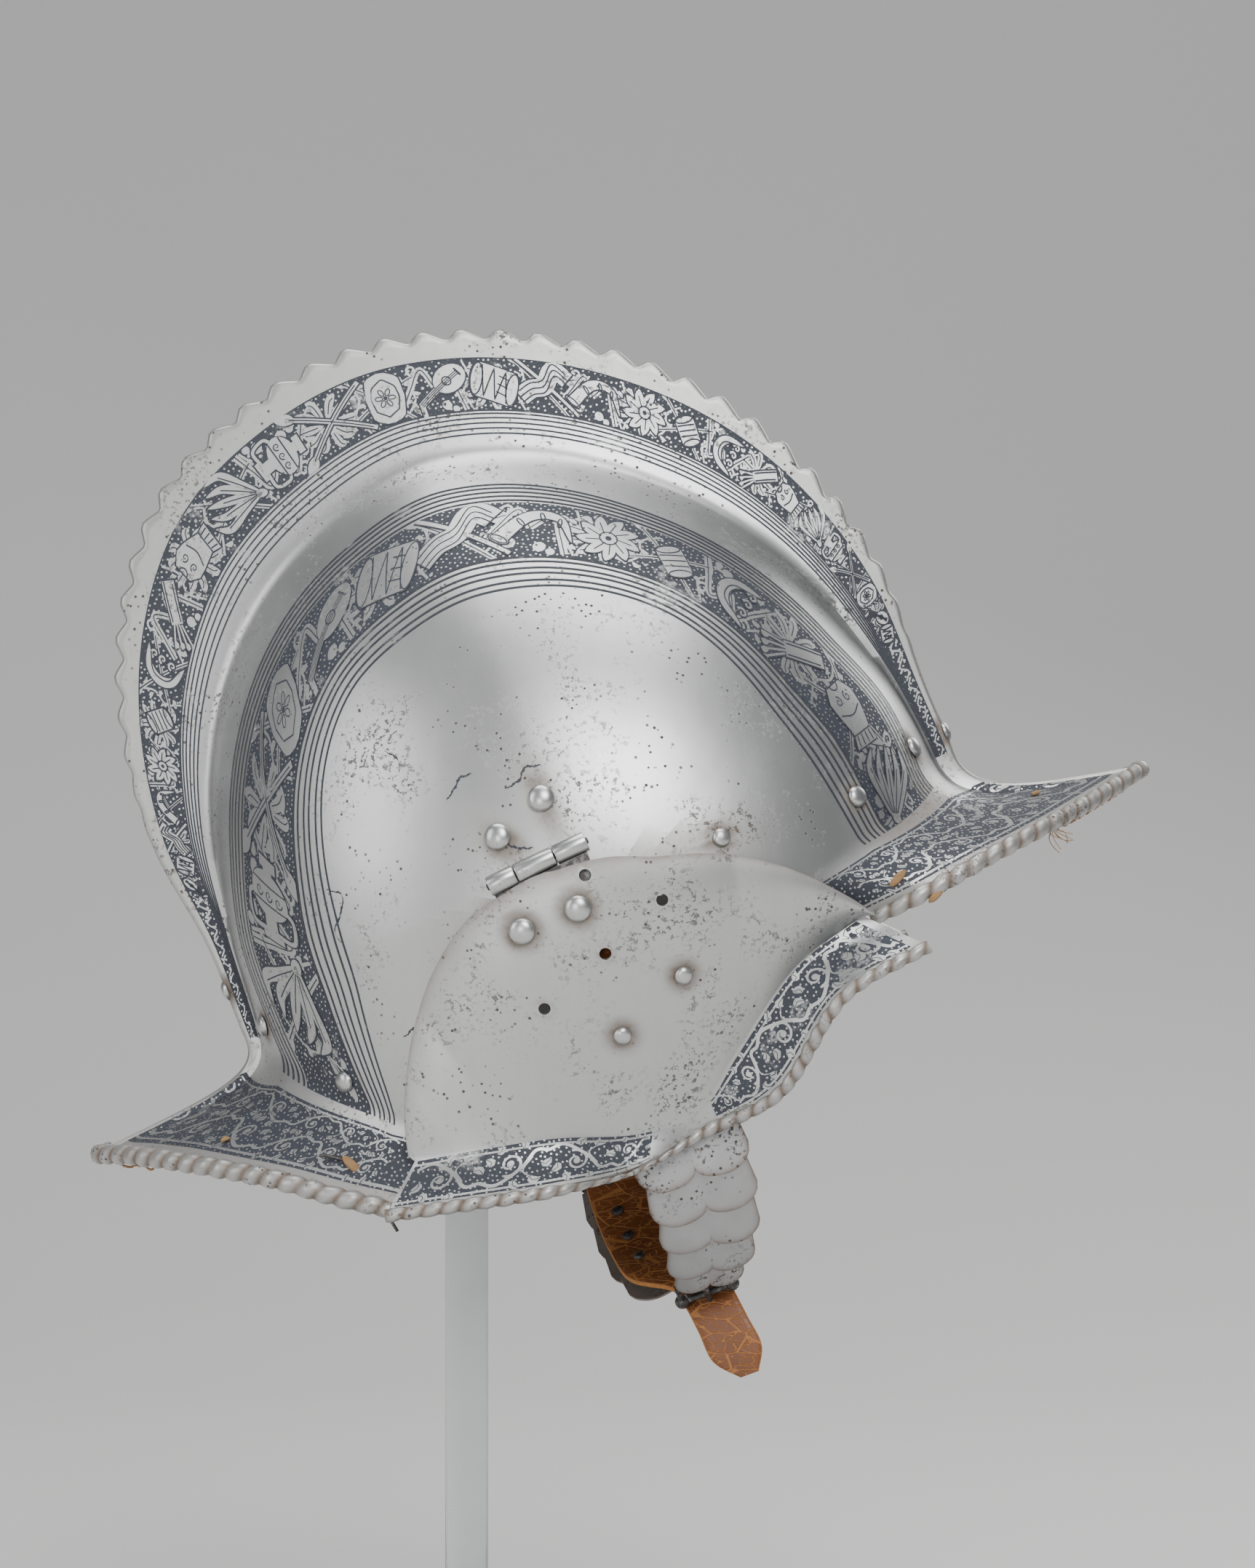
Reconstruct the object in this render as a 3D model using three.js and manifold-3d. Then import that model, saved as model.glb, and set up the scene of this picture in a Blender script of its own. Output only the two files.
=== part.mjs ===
// A steel comb morion with hinged cheekpieces and a scaled chin strap, on a plain display stand.
// The helmet is drawn level, nose towards +X and the wearer's right side towards -Y, and is then
// tilted nose-up on the stand's post. Its side view is polar about an ear point between the ears.
import * as THREE from "three";
import { mergeVertices } from "three/addons/utils/BufferGeometryUtils.js";
import Module from "manifold-3d";

const wasm = await Module();
wasm.setup();

// Driving dimensions, in millimetres and degrees
const tiltAngle = 20.3;
const brimHalfLength = 177.4;
const frontBrimDrop = 13;
const rearBrimDrop = 45.5;
const frontBrimHalfWidth = 68;
const rearBrimHalfWidth = 74;
const earHeight = 20;
const bowlHalfWidth = 94;
const bowlRadius = 150;
const combRadius = 193;
const combRimHalfThickness = 2.3;
const combFlare = 0.13;
const combSolidDepth = 7;
const scallopDepth = 1.5;
const scallopPitch = 12.2;
const skullThickness = 1.6;
const frontRopeRadius = 2.7;
const rearRopeRadius = 3.1;
const ropePitch = 8.6;
const ropeTwist = 0.16;
const earReach = 94;
const earOverlap = 5;
const cheekThickness = 1.3;
const cheekDepth = 63;
const cheekReach = 93;
const cheekHalfWidth = 88;
const cheekRopeRadius = 2.1;
const plateClearance = 1;
const pieceGap = 0.3;
const hingeLength = 33;
const hingeRadius = 3.2;
const hingePinRadius = 1.1;
const hingeSlope = 5;
const leafThickness = 1.3;
const leafHeight = 23;
const leafOverlap = 1;
const liningRivetRadius = 3.4;
const hingeRivetRadius = 4.2;
const strapRivetRadius = 2.9;
const shankRadius = 1.3;
const breathHoleRadius = 1.9;
const strapHalfWidth = 15.5;
const strapThickness = 2.2;
const strapDrop = 110;
const strapHang = 62;
const tailLength = 27;
const scaleHalfWidth = 18.5;
const scaleHeight = 17.5;
const scaleThickness = 0.7;
const scalePitch = 13;
const scaleCount = 6;
const buckleHalfWidth = 8.4;
const buckleBarRadius = 1.3;
const buckleKnobRadius = 2.4;
const prongRadius = 1;
const postWidth = 13.5;
const postBack = 49;
const padHalfWidth = 24;
const padHalfDepth = 15;
const padThickness = 10;
const baseLength = 220;
const baseWidth = 180;
const baseThickness = 14;
const baseCornerRadius = 12;
const helmetLift = 240;

// The skull's side view. Each row is a direction from the ear point, in degrees up from the front.
// comb is a share of combRadius, bowl, outer and inner are shares of bowlRadius, and ear is a share
// of earReach. outer and inner bound the ornamented band, and ear is the cheekpiece's upper outline.
const SIDE_VIEW = [
  { deg: -24, comb: 0.63, bowl: 0.81, outer: 0.77, inner: 0.6, ear: 0.9 },
  { deg: -15, comb: 0.632, bowl: 0.787, outer: 0.753, inner: 0.58, ear: 0.725 },
  { deg: 0, comb: 0.632, bowl: 0.773, outer: 0.733, inner: 0.543, ear: 0.48 },
  { deg: 15, comb: 0.65, bowl: 0.777, outer: 0.743, inner: 0.533, ear: 0.292 },
  { deg: 30, comb: 0.72, bowl: 0.797, outer: 0.747, inner: 0.547, ear: 0.215 },
  { deg: 60, comb: 0.868, bowl: 0.893, outer: 0.823, inner: 0.633, ear: 0.165 },
  { deg: 90, comb: 0.985, bowl: 1.0, outer: 0.93, inner: 0.687, ear: 0.155 },
  { deg: 105, comb: 1.0, bowl: 0.985, outer: 0.92, inner: 0.687, ear: 0.165 },
  { deg: 120, comb: 0.968, bowl: 0.95, outer: 0.887, inner: 0.673, ear: 0.187 },
  { deg: 150, comb: 0.756, bowl: 0.83, outer: 0.787, inner: 0.57, ear: 0.298 },
  { deg: 165, comb: 0.65, bowl: 0.783, outer: 0.76, inner: 0.532, ear: 0.42 },
  { deg: 180, comb: 0.622, bowl: 0.77, outer: 0.737, inner: 0.523, ear: 0.555 },
  { deg: 200, comb: 0.63, bowl: 0.833, outer: 0.745, inner: 0.573, ear: 0.787 },
  { deg: 215, comb: 0.64, bowl: 0.933, outer: 0.787, inner: 0.66, ear: 1.01 },
];

// Lines of the skull from the comb's edge to the ear opening. front and rear are the directions in
// which each line leaves the bowl for the brim, and fillet is the height of the bend there.
const SKULL_LINES = {
  edge: { front: 3, rear: 181, frontFillet: 16, rearFillet: 12.5 },
  cove: { front: 3, rear: 181.5, frontFillet: 17, rearFillet: 14 },
  outer: { front: 3.5, rear: 184, frontFillet: 17, rearFillet: 15 },
  inner: { front: -5, rear: 205, frontFillet: 6, rearFillet: 7 },
  ear: { front: -14, rear: 213, frontFillet: 3, rearFillet: 3 },
};

// The comb's edge, the lines that bound its ornament and its foot, as shares of the way from the
// comb's edge down to the bowl.
const COMB_SHARES = { edge: 0, rim: 0.18, band: 0.64, cove: 0.84 };

// The brim's edges from the point back to the ear, as shares of the half length, drop and half width.
const FRONT_EDGE = [
  { along: 1, down: 0, out: 0 },
  { along: 0.94, down: 0.13, out: 0.275 },
  { along: 0.863, down: 0.29, out: 0.52 },
  { along: 0.775, down: 0.42, out: 0.74 },
  { along: 0.673, down: 0.59, out: 0.91 },
  { along: 0.56, down: 0.83, out: 1.0 },
  { along: 0.44, down: 1.0, out: 0.965 },
];
const REAR_EDGE = [
  { along: 1, down: 0, out: 0 },
  { along: 0.94, down: 0.07, out: 0.25 },
  { along: 0.865, down: 0.2, out: 0.47 },
  { along: 0.782, down: 0.362, out: 0.66 },
  { along: 0.695, down: 0.55, out: 0.82 },
  { along: 0.608, down: 0.78, out: 0.94 },
  { along: 0.52, down: 1.0, out: 1.0 },
];

// The cheekpiece's crease and lower edge from rear to front, as shares of cheekReach, cheekDepth and
// cheekHalfWidth.
const CHEEK_EDGE = [
  { creaseX: -0.86, creaseZ: -0.54, creaseY: 0.87, edgeX: -1.01, edgeZ: -0.735, edgeY: 0.955 },
  { creaseX: -0.64, creaseZ: -0.595, creaseY: 0.9, edgeX: -0.74, edgeZ: -0.82, edgeY: 1.0 },
  { creaseX: -0.4, creaseZ: -0.67, creaseY: 0.88, edgeX: -0.46, edgeZ: -0.905, edgeY: 0.99 },
  { creaseX: -0.13, creaseZ: -0.8, creaseY: 0.79, edgeX: -0.19, edgeZ: -0.965, edgeY: 0.84 },
  { creaseX: 0.09, creaseZ: -0.8, creaseY: 0.74, edgeX: 0.08, edgeZ: -0.905, edgeY: 0.72 },
  { creaseX: 0.27, creaseZ: -0.6, creaseY: 0.77, edgeX: 0.36, edgeZ: -0.845, edgeY: 0.8 },
  { creaseX: 0.55, creaseZ: -0.3, creaseY: 0.83, edgeX: 0.66, edgeZ: -0.51, edgeY: 0.94 },
  { creaseX: 0.815, creaseZ: -0.175, creaseY: 0.81, edgeX: 0.985, edgeZ: -0.42, edgeY: 0.93 },
];

// Rivets of the right side, placed in the side view as shares of bowlRadius and mirrored to the left.
const SKULL_RIVETS = [
  { name: "skull_rivet_1", x: 0.58, z: 0.16, kind: "lining" },
  { name: "skull_rivet_2", x: 0.733, z: 0.213, kind: "lining" },
  { name: "skull_rivet_3", x: -0.617, z: -0.027, kind: "lining" },
  { name: "skull_rivet_4", x: -0.748, z: 0.137, kind: "lining" },
  { name: "skull_rivet_5", x: 0.287, z: 0.18, kind: "strap" },
  { name: "hinge_rivet_1", x: -0.14, z: 0.34, kind: "hinge" },
  { name: "hinge_rivet_2", x: -0.03, z: 0.383, kind: "hinge" },
];
const CHEEK_RIVETS = [
  { name: "cheek_rivet_1", x: -0.16, z: 0.143, kind: "hinge" },
  { name: "cheek_rivet_2", x: -0.037, z: 0.147, kind: "hinge" },
  { name: "cheek_rivet_3", x: 0.117, z: -0.057, kind: "strap" },
  { name: "cheek_rivet_4", x: -0.043, z: -0.13, kind: "strap" },
];
const BREATH_HOLES = [
  { x: 0.13, z: 0.103 },
  { x: -0.017, z: 0.04 },
  { x: -0.173, z: -0.023 },
  { x: 0.0, z: 0.205 },
];

// How finely the plates are divided
const BRIM_ROWS = 4;
const SCALLOPS_PER_ROW = 2;
const POINTS_PER_SCALLOP = 4;
const CHEEK_COLUMNS = 14;
const PLATE_ROWS = 5;
const ROPE_ANGLES = [0, 90, 180];
const ROPE_STEPS = 3;
const RIVET_SIDES = 8;
const HOLE_SIDES = 6;
const KNUCKLE_SIDES = 8;
const BAR_SIDES = 6;

// Small helpers
const rad = THREE.MathUtils.degToRad;
const mix = THREE.MathUtils.lerp;
const point = (x, y, z) => new THREE.Vector3(x, y, z);
const between = (a, b, share) => a.clone().lerp(b, share);
const range = (count) => Array.from({ length: count }, (_, i) => i);
const steps = (count) => range(count + 1).map((i) => i / count);

// A smooth curve through table rows: knots must rise.
function smooth(knots, values) {
  const last = knots.length - 1;
  const slopes = knots.map((_, i) => {
    const a = Math.max(i - 1, 0);
    const b = Math.min(i + 1, last);
    return (values[b] - values[a]) / (knots[b] - knots[a]);
  });
  return (x) => {
    if (x <= knots[0]) return values[0] + slopes[0] * (x - knots[0]);
    if (x >= knots[last]) return values[last] + slopes[last] * (x - knots[last]);
    const i = knots.findIndex((k) => k > x) - 1;
    const h = knots[i + 1] - knots[i];
    const t = (x - knots[i]) / h;
    const rise = values[i + 1] - values[i];
    const bend = (1 - t) * (slopes[i] * h - rise) - t * (slopes[i + 1] * h - rise);
    return values[i] + t * rise + t * (1 - t) * bend;
  };
}

// A smooth curve in space through points, for a share of the way from 0 to 1.
function route(points) {
  const knots = steps(points.length - 1);
  const axes = ["x", "y", "z"].map((a) => smooth(knots, points.map((p) => p[a])));
  return (share) => point(...axes.map((f) => f(share)));
}

function lengths(line) {
  const along = [0];
  for (let i = 1; i < line.length; i++) along.push(along[i - 1] + line[i].distanceTo(line[i - 1]));
  return along;
}

function resample(line, count) {
  const along = lengths(line);
  const total = along[along.length - 1];
  return steps(count).map((share) => {
    const i = Math.min(Math.max(along.findIndex((a) => a >= share * total), 1), line.length - 1);
    return between(line[i - 1], line[i], (share * total - along[i - 1]) / (along[i] - along[i - 1]));
  });
}

// A cell between two lines is split along its shorter diagonal, so both sides match as mirror images.
const splitsAcross = (a0, a1, b0, b1) => a1.distanceTo(b0) <= a0.distanceTo(b1);

const places = (line) => line.map((_, i) => i);

// Triangles between two lines that run the same way. Where their counts differ, pace tells how far
// along a line each point is.
function bridge(soup, a, b, pace = lengths) {
  if (a.length === b.length) {
    for (let i = 0; i < a.length - 1; i++) {
      if (splitsAcross(a[i], a[i + 1], b[i], b[i + 1])) {
        soup.push(a[i], b[i], a[i + 1], a[i + 1], b[i], b[i + 1]);
      } else {
        soup.push(a[i], b[i], b[i + 1], a[i], b[i + 1], a[i + 1]);
      }
    }
    return;
  }
  const la = pace(a);
  const lb = pace(b);
  let i = 0;
  let j = 0;
  while (i < a.length - 1 || j < b.length - 1) {
    const nextA = i < a.length - 1 ? la[i + 1] / la[a.length - 1] : Infinity;
    const nextB = j < b.length - 1 ? lb[j + 1] / lb[b.length - 1] : Infinity;
    if (nextA <= nextB) {
      soup.push(a[i], b[j], a[i + 1]);
      i++;
    } else {
      soup.push(a[i], b[j], b[j + 1]);
      j++;
    }
  }
}

// Two skull lines with unlike counts differ only over the bowl, so their brims are joined row by row.
function stitch(soup, a, b) {
  if (a.length === b.length) {
    bridge(soup, a, b);
    return;
  }
  bridge(soup, a.slice(0, BRIM_ROWS + 1), b.slice(0, BRIM_ROWS + 1));
  bridge(soup, a.slice(BRIM_ROWS, -BRIM_ROWS), b.slice(BRIM_ROWS, -BRIM_ROWS), places);
  bridge(soup, a.slice(-BRIM_ROWS - 1), b.slice(-BRIM_ROWS - 1));
}

function fan(soup, loop) {
  for (let i = 1; i < loop.length - 1; i++) soup.push(loop[0], loop[i], loop[i + 1]);
}

// Closes outer and inner lines into one plate. A bead is a list of lines that round off the plate
// where its lines start or end, from the outer side to the inner.
function plate(outer, inner, startBead = [], endBead = []) {
  const soup = [];
  const last = outer.length - 1;
  const ends = (lines, end) => lines.map((line) => line[end ? line.length - 1 : 0]);
  for (let k = 0; k < last; k++) {
    stitch(soup, outer[k], outer[k + 1]);
    stitch(soup, inner[k + 1], inner[k]);
  }
  bridge(soup, inner[0], outer[0]);
  bridge(soup, outer[last], inner[last]);
  const start = [ends(outer, false), ...startBead, ends(inner, false)];
  const end = [ends(outer, true), ...endBead, ends(inner, true)];
  for (let k = 0; k < start.length - 1; k++) bridge(soup, start[k], start[k + 1]);
  for (let k = end.length - 1; k > 0; k--) bridge(soup, end[k], end[k - 1]);
  const firsts = (lines) => lines.map((line) => line[0]);
  const lasts = (lines) => lines.map((line) => line[line.length - 1]);
  const turned = (loop) => [loop[0], ...loop.slice(1).reverse()];
  if (startBead.length) {
    fan(soup, turned(firsts(start)));
    fan(soup, lasts(start));
  }
  if (endBead.length) {
    fan(soup, firsts(end));
    fan(soup, turned(lasts(end)));
  }
  return solid(soup);
}

// A solid from loose triangles
function solid(soup) {
  const geometry = new THREE.BufferGeometry().setFromPoints(soup);
  return manifold(geometry);
}

function manifold(geometry) {
  const bare = new THREE.BufferGeometry();
  const flat = geometry.index ? geometry.toNonIndexed() : geometry;
  bare.setAttribute("position", flat.getAttribute("position"));
  const merged = mergeVertices(bare, 1e-3);
  const index = merged.index.array;
  const triangles = [];
  for (let i = 0; i < index.length; i += 3) {
    const [a, b, c] = [index[i], index[i + 1], index[i + 2]];
    if (a !== b && b !== c && c !== a) triangles.push(a, b, c);
  }
  return new wasm.Manifold(
    new wasm.Mesh({
      numProp: 3,
      vertProperties: merged.attributes.position.array,
      triVerts: new Uint32Array(triangles),
    }),
  );
}

function geometryOf(body) {
  const made = body.getMesh();
  const geometry = new THREE.BufferGeometry();
  geometry.setAttribute("position", new THREE.BufferAttribute(made.vertProperties, 3));
  geometry.setIndex(new THREE.BufferAttribute(made.triVerts, 1));
  geometry.computeVertexNormals();
  return geometry;
}

const mirrored = (p) => point(p.x, -p.y, p.z);
const mirroredSolid = (body) => body.scale([1, -1, 1]);

// A geometry drawn along +Y, turned so that +Y runs along direction and moved to place.
function placed(geometry, place, direction) {
  const turn = new THREE.Quaternion().setFromUnitVectors(point(0, 1, 0), direction);
  return geometry.clone().applyQuaternion(turn).translate(place.x, place.y, place.z);
}

const rodBetween = (a, b, radius, sides) =>
  placed(
    new THREE.CylinderGeometry(radius, radius, a.distanceTo(b), sides),
    between(a, b, 0.5),
    b.clone().sub(a).normalize(),
  );

// The skull's surface
const sideCurves = Object.fromEntries(
  Object.keys(SIDE_VIEW[0]).map((name) => [
    name,
    smooth(
      SIDE_VIEW.map((row) => row.deg),
      SIDE_VIEW.map((row) => row[name]),
    ),
  ]),
);
const sideScale = { comb: combRadius, bowl: bowlRadius, outer: bowlRadius, inner: bowlRadius, ear: earReach };
const sideRadius = (name, deg) => sideCurves[name](deg) * sideScale[name];

function anchorRadius(name, deg) {
  if (name in COMB_SHARES) {
    return mix(sideRadius("comb", deg), sideRadius("bowl", deg), COMB_SHARES[name]);
  }
  if (name === "ear") return sideRadius("ear", deg) - earOverlap;
  return sideRadius(name, deg);
}

// Half the skull's width at a radius and direction: a thin flared comb that runs into the bowl.
function halfWidth(radius, deg) {
  const comb = sideRadius("comb", deg);
  const bowl = sideRadius("bowl", deg);
  const steep = deg > 0 && deg < 180 ? Math.sin(rad(deg)) ** 2 : 0;
  const power = 0.5 + 0.25 * steep;
  const inside = 1 - (radius / bowl) ** 2;
  const bowlWidth = bowlHalfWidth * Math.sign(inside) * Math.abs(inside) ** power;
  const combWidth = combRimHalfThickness + combFlare * (comb - radius);
  const fillet = 1.5 + 0.2 * (comb - bowl);
  return 0.5 * (combWidth + bowlWidth + Math.hypot(combWidth - bowlWidth, fillet));
}

const onSide = (radius, deg) =>
  point(radius * Math.cos(rad(deg)), -halfWidth(radius, deg), earHeight + radius * Math.sin(rad(deg)));

// The radius a share of the way, along the surface, between two named lines
function radiusBetween(from, to, share, deg) {
  const a = anchorRadius(from, deg);
  const b = anchorRadius(to, deg);
  if (from in COMB_SHARES && to in COMB_SHARES) return mix(a, b, share);
  const radii = steps(24).map((t) => mix(a, b, t));
  const along = lengths(radii.map((r) => onSide(r, deg)));
  const goal = share * along[24];
  const i = Math.min(Math.max(along.findIndex((v) => v >= goal), 1), 24);
  return mix(radii[i - 1], radii[i], (goal - along[i - 1]) / (along[i] - along[i - 1]));
}

const lineRule = (name) => SKULL_LINES[name] ?? SKULL_LINES.edge;
const ruleBetween = (column, key) => mix(lineRule(column.from)[key], lineRule(column.to)[key], column.share);

// The lines that the skull is drawn with, from the ear opening up to the comb's edge
const COLUMNS = [
  { from: "ear", to: "inner", share: 0 },
  { from: "ear", to: "inner", share: 0.36 },
  { from: "ear", to: "inner", share: 0.7 },
  { from: "inner", to: "outer", share: 0 },
  { from: "inner", to: "outer", share: 0.3 },
  { from: "inner", to: "outer", share: 0.76 },
  { from: "outer", to: "cove", share: 0 },
  { from: "outer", to: "cove", share: 0.5 },
  { from: "cove", to: "band", share: 0 },
  { from: "cove", to: "rim", share: 0.35 },
  { from: "rim", to: "edge", share: 0 },
  { from: "edge", to: "rim", share: 0 },
];
const EDGE_COLUMN = COLUMNS.length - 1;

// Rows are evenly spaced along the comb's edge, one to each scallop.
const edgeRule = SKULL_LINES.edge;
const edgeDegrees = steps(240).map((t) => mix(edgeRule.front, edgeRule.rear, t));
const edgeAlong = lengths(edgeDegrees.map((deg) => onSide(anchorRadius("edge", deg), deg)));
const edgeLength = edgeAlong[240];
const scallopCount = SCALLOPS_PER_ROW * Math.round(edgeLength / scallopPitch / SCALLOPS_PER_ROW);
const evenShare = smooth(
  edgeAlong.map((a) => a / edgeLength),
  steps(240),
);

// A point of the bowl or comb: share runs from the front end of a line to its rear end.
function domePoint(column, share) {
  const deg = mix(ruleBetween(column, "front"), ruleBetween(column, "rear"), evenShare(share));
  return onSide(radiusBetween(column.from, column.to, column.share, deg), deg);
}

// The comb's scalloped edge, which fades out towards both ends
function edgePoint(share) {
  const deg = mix(edgeRule.front, edgeRule.rear, evenShare(share));
  const phase = 2 * Math.PI * share * scallopCount;
  const fade = Math.min(1, Math.max(0, 9 * (share - 0.06)), Math.max(0, 9 * (0.87 - share)));
  const wave = Math.cos(phase) + 0.3 * Math.sin(2 * phase);
  return onSide(anchorRadius("edge", deg) + scallopDepth * fade * wave, deg);
}

// The brim's edge curve over both sides: share runs from the right ear over the point to the left.
function edgeCurve(rows, direction, drop, width) {
  const right = rows.map((r) =>
    point(direction * r.along * brimHalfLength, -r.out * width, -r.down * drop),
  );
  return route([...right.slice().reverse(), ...right.slice(1).map(mirrored)]);
}
const BRIMS = {
  front: {
    curve: edgeCurve(FRONT_EDGE, 1, frontBrimDrop, frontBrimHalfWidth),
    rope: frontRopeRadius,
    start: 0,
    fillet: "frontFillet",
  },
  rear: {
    curve: edgeCurve(REAR_EDGE, -1, rearBrimDrop, rearBrimHalfWidth),
    rope: rearRopeRadius,
    start: 1,
    fillet: "rearFillet",
  },
};
for (const brim of Object.values(BRIMS)) {
  const roots = COLUMNS.map((column) => domePoint(column, brim.start));
  const along = lengths(roots);
  brim.shares = along.map((a) => (0.5 * a) / along[EDGE_COLUMN]);
}

// A point of the brim: t runs from the end of a skull line out to the rope.
function brimPoint(brim, k, t) {
  const column = COLUMNS[k];
  const root = domePoint(column, brim.start);
  const before = domePoint(column, Math.abs(brim.start - 0.004));
  const corner = root
    .clone()
    .sub(before)
    .normalize()
    .multiplyScalar(ruleBetween(column, brim.fillet))
    .add(root);
  const rope = brim.curve(brim.shares[k]);
  const edge = rope.clone().add(corner.clone().sub(rope).setLength(0.8 * brim.rope));
  const flat = between(corner, edge, 0.3);
  return new THREE.CubicBezierCurve3(root, corner, flat, edge).getPoint(t);
}

const brimSteps = steps(BRIM_ROWS).slice(1);

function skullLine(k, dome) {
  const front = brimSteps.map((t) => brimPoint(BRIMS.front, k, t)).reverse();
  const rear = brimSteps.map((t) => brimPoint(BRIMS.rear, k, t));
  return [...front, ...dome, ...rear];
}

// Outward normals of a grid of lines
function gridNormals(lines) {
  return lines.map((line, k) =>
    line.map((_, i) => {
      const along = line[Math.min(i + 1, line.length - 1)].clone().sub(line[Math.max(i - 1, 0)]);
      const a = lines[Math.max(k - 1, 0)][i];
      const b = lines[Math.min(k + 1, lines.length - 1)][i];
      return b.clone().sub(a).cross(along).normalize();
    }),
  );
}

const offsetLines = (lines, normals, distance) =>
  lines.map((line, k) => line.map((p, i) => p.clone().addScaledVector(normals[k][i], distance)));

// A twisted rope round a curve: lines from the plate's outer side round to its inner side.
function ropeBead(centres, normals, radius, outwards) {
  const along = lengths(centres);
  const count = centres.length;
  return ROPE_ANGLES.map((angle) =>
    centres.map((centre, i) => {
      const tangent = centres[Math.min(i + 1, count - 1)].clone().sub(centres[Math.max(i - 1, 0)]);
      const normal = normals(i / (count - 1));
      const out = tangent.cross(normal).normalize().multiplyScalar(outwards);
      const size = typeof radius === "function" ? radius(i / (count - 1)) : radius;
      const turn = (2 * Math.PI * along[i]) / ropePitch - rad(angle);
      const reach = size * (1 + ropeTwist * Math.cos(turn));
      return centre
        .clone()
        .addScaledVector(normal, reach * Math.cos(rad(angle)))
        .addScaledVector(out, reach * Math.sin(rad(angle)));
    }),
  );
}

const polyline = (points) => (share) => {
  const at = share * (points.length - 1);
  const i = Math.min(Math.floor(at), points.length - 2);
  return between(points[i], points[i + 1], at - i).normalize();
};

function brimRope(brim, edgeNormals, outwards) {
  const curve = steps(400).map((s) => brim.curve(s));
  const count = Math.round((lengths(curve)[400] / ropePitch) * ROPE_STEPS);
  return ropeBead(resample(curve, count), polyline(edgeNormals), brim.rope, outwards);
}

function skullSolid() {
  const right = skullLines;
  const rightNormals = skullNormals;
  const inner = offsetLines(right, rightNormals, -skullThickness);
  inner[EDGE_COLUMN] = right[EDGE_COLUMN].map((p, i) => {
    const share = Math.min(i, right[0].length - 1 - i) / BRIM_ROWS;
    const depth = mix(skullThickness, combSolidDepth, Math.min(1, Math.max(0, share - 1)));
    const inwards = point(0, -1, 0).cross(tangentAt(right[EDGE_COLUMN], i)).normalize();
    return p.clone().addScaledVector(inwards, depth).setY(-0.5);
  });
  const outer = right.slice();
  outer[EDGE_COLUMN] = skullLine(
    EDGE_COLUMN,
    steps(skullRows * SCALLOPS_PER_ROW * POINTS_PER_SCALLOP).map(edgePoint),
  );
  const flip = (lines) => lines.map((line) => line.map(mirrored)).reverse();
  const bothNormals = [...rightNormals, ...flip(rightNormals)];
  const front = brimRope(BRIMS.front, bothNormals.map((line) => line[0]), 1);
  const rear = brimRope(BRIMS.rear, bothNormals.map((line) => line[line.length - 1]), -1);
  const body = plate([...outer, ...flip(outer)], [...inner, ...flip(inner)], front, rear);
  return body.subtract(rivetHoles("skull")).subtract(hingeNotches());
}

const tangentAt = (line, i) =>
  line[Math.min(i + 1, line.length - 1)].clone().sub(line[Math.max(i - 1, 0)]).normalize();

// The place on a plate's facets that a side view shows at x and z, with its outward normal
function facetAt(lines, normals, x, z) {
  for (let k = 0; k < lines.length - 1; k++) {
    for (let i = 0; i < lines[k].length - 1; i++) {
      const cell = [lines[k][i], lines[k][i + 1], lines[k + 1][i], lines[k + 1][i + 1]];
      const [a, b, c, d] = [[k, i], [k, i + 1], [k + 1, i], [k + 1, i + 1]];
      for (const corners of splitsAcross(...cell) ? [[a, c, b], [b, c, d]] : [[a, c, d], [a, d, b]]) {
        const [p, q, r] = corners.map(([m, n]) => lines[m][n]);
        const area = (q.x - p.x) * (r.z - p.z) - (r.x - p.x) * (q.z - p.z);
        const u = ((x - p.x) * (r.z - p.z) - (r.x - p.x) * (z - p.z)) / area;
        const v = ((q.x - p.x) * (z - p.z) - (x - p.x) * (q.z - p.z)) / area;
        if (u < 0 || v < 0 || u + v > 1) continue;
        const blend = (first, second, third) =>
          first
            .clone()
            .multiplyScalar(1 - u - v)
            .addScaledVector(second, u)
            .addScaledVector(third, v);
        const normal = blend(...corners.map(([m, n]) => normals[m][n])).normalize();
        if (normal.y > 0) normal.negate();
        return { place: blend(p, q, r), normal };
      }
    }
  }
  throw new Error(`no plate at ${x.toFixed(1)}, ${z.toFixed(1)}`);
}

const skullRows = Math.round(scallopCount / SCALLOPS_PER_ROW);
const skullLines = COLUMNS.map((column, k) =>
  skullLine(k, steps(skullRows).map((s) => domePoint(column, s))),
);
const skullNormals = gridNormals(skullLines);
const skullAt = (x, z) => facetAt(skullLines, skullNormals, x, z);

// The skull's smooth surface, beyond its plate too
function smoothSkullAt(x, z) {
  const width = (u, w) =>
    halfWidth(Math.hypot(u, w - earHeight), THREE.MathUtils.radToDeg(turnOf(u, w - earHeight)));
  const step = 0.5;
  const slopeX = (width(x + step, z) - width(x - step, z)) / (2 * step);
  const slopeZ = (width(x, z + step) - width(x, z - step)) / (2 * step);
  return { place: point(x, -width(x, z), z), normal: point(-slopeX, -1, -slopeZ).normalize() };
}

// An angle that runs on past 180 degrees at the rear instead of jumping
function turnOf(x, z) {
  const angle = Math.atan2(z, x);
  return angle < -Math.PI / 2 ? angle + 2 * Math.PI : angle;
}

// The cheekpiece, from its upper outline over the crease to the roped edge
const cheekTable = Object.fromEntries(
  Object.keys(CHEEK_EDGE[0]).map((name) => [
    name,
    smooth(
      steps(CHEEK_EDGE.length - 1),
      CHEEK_EDGE.map((row) => row[name]),
    ),
  ]),
);
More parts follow.
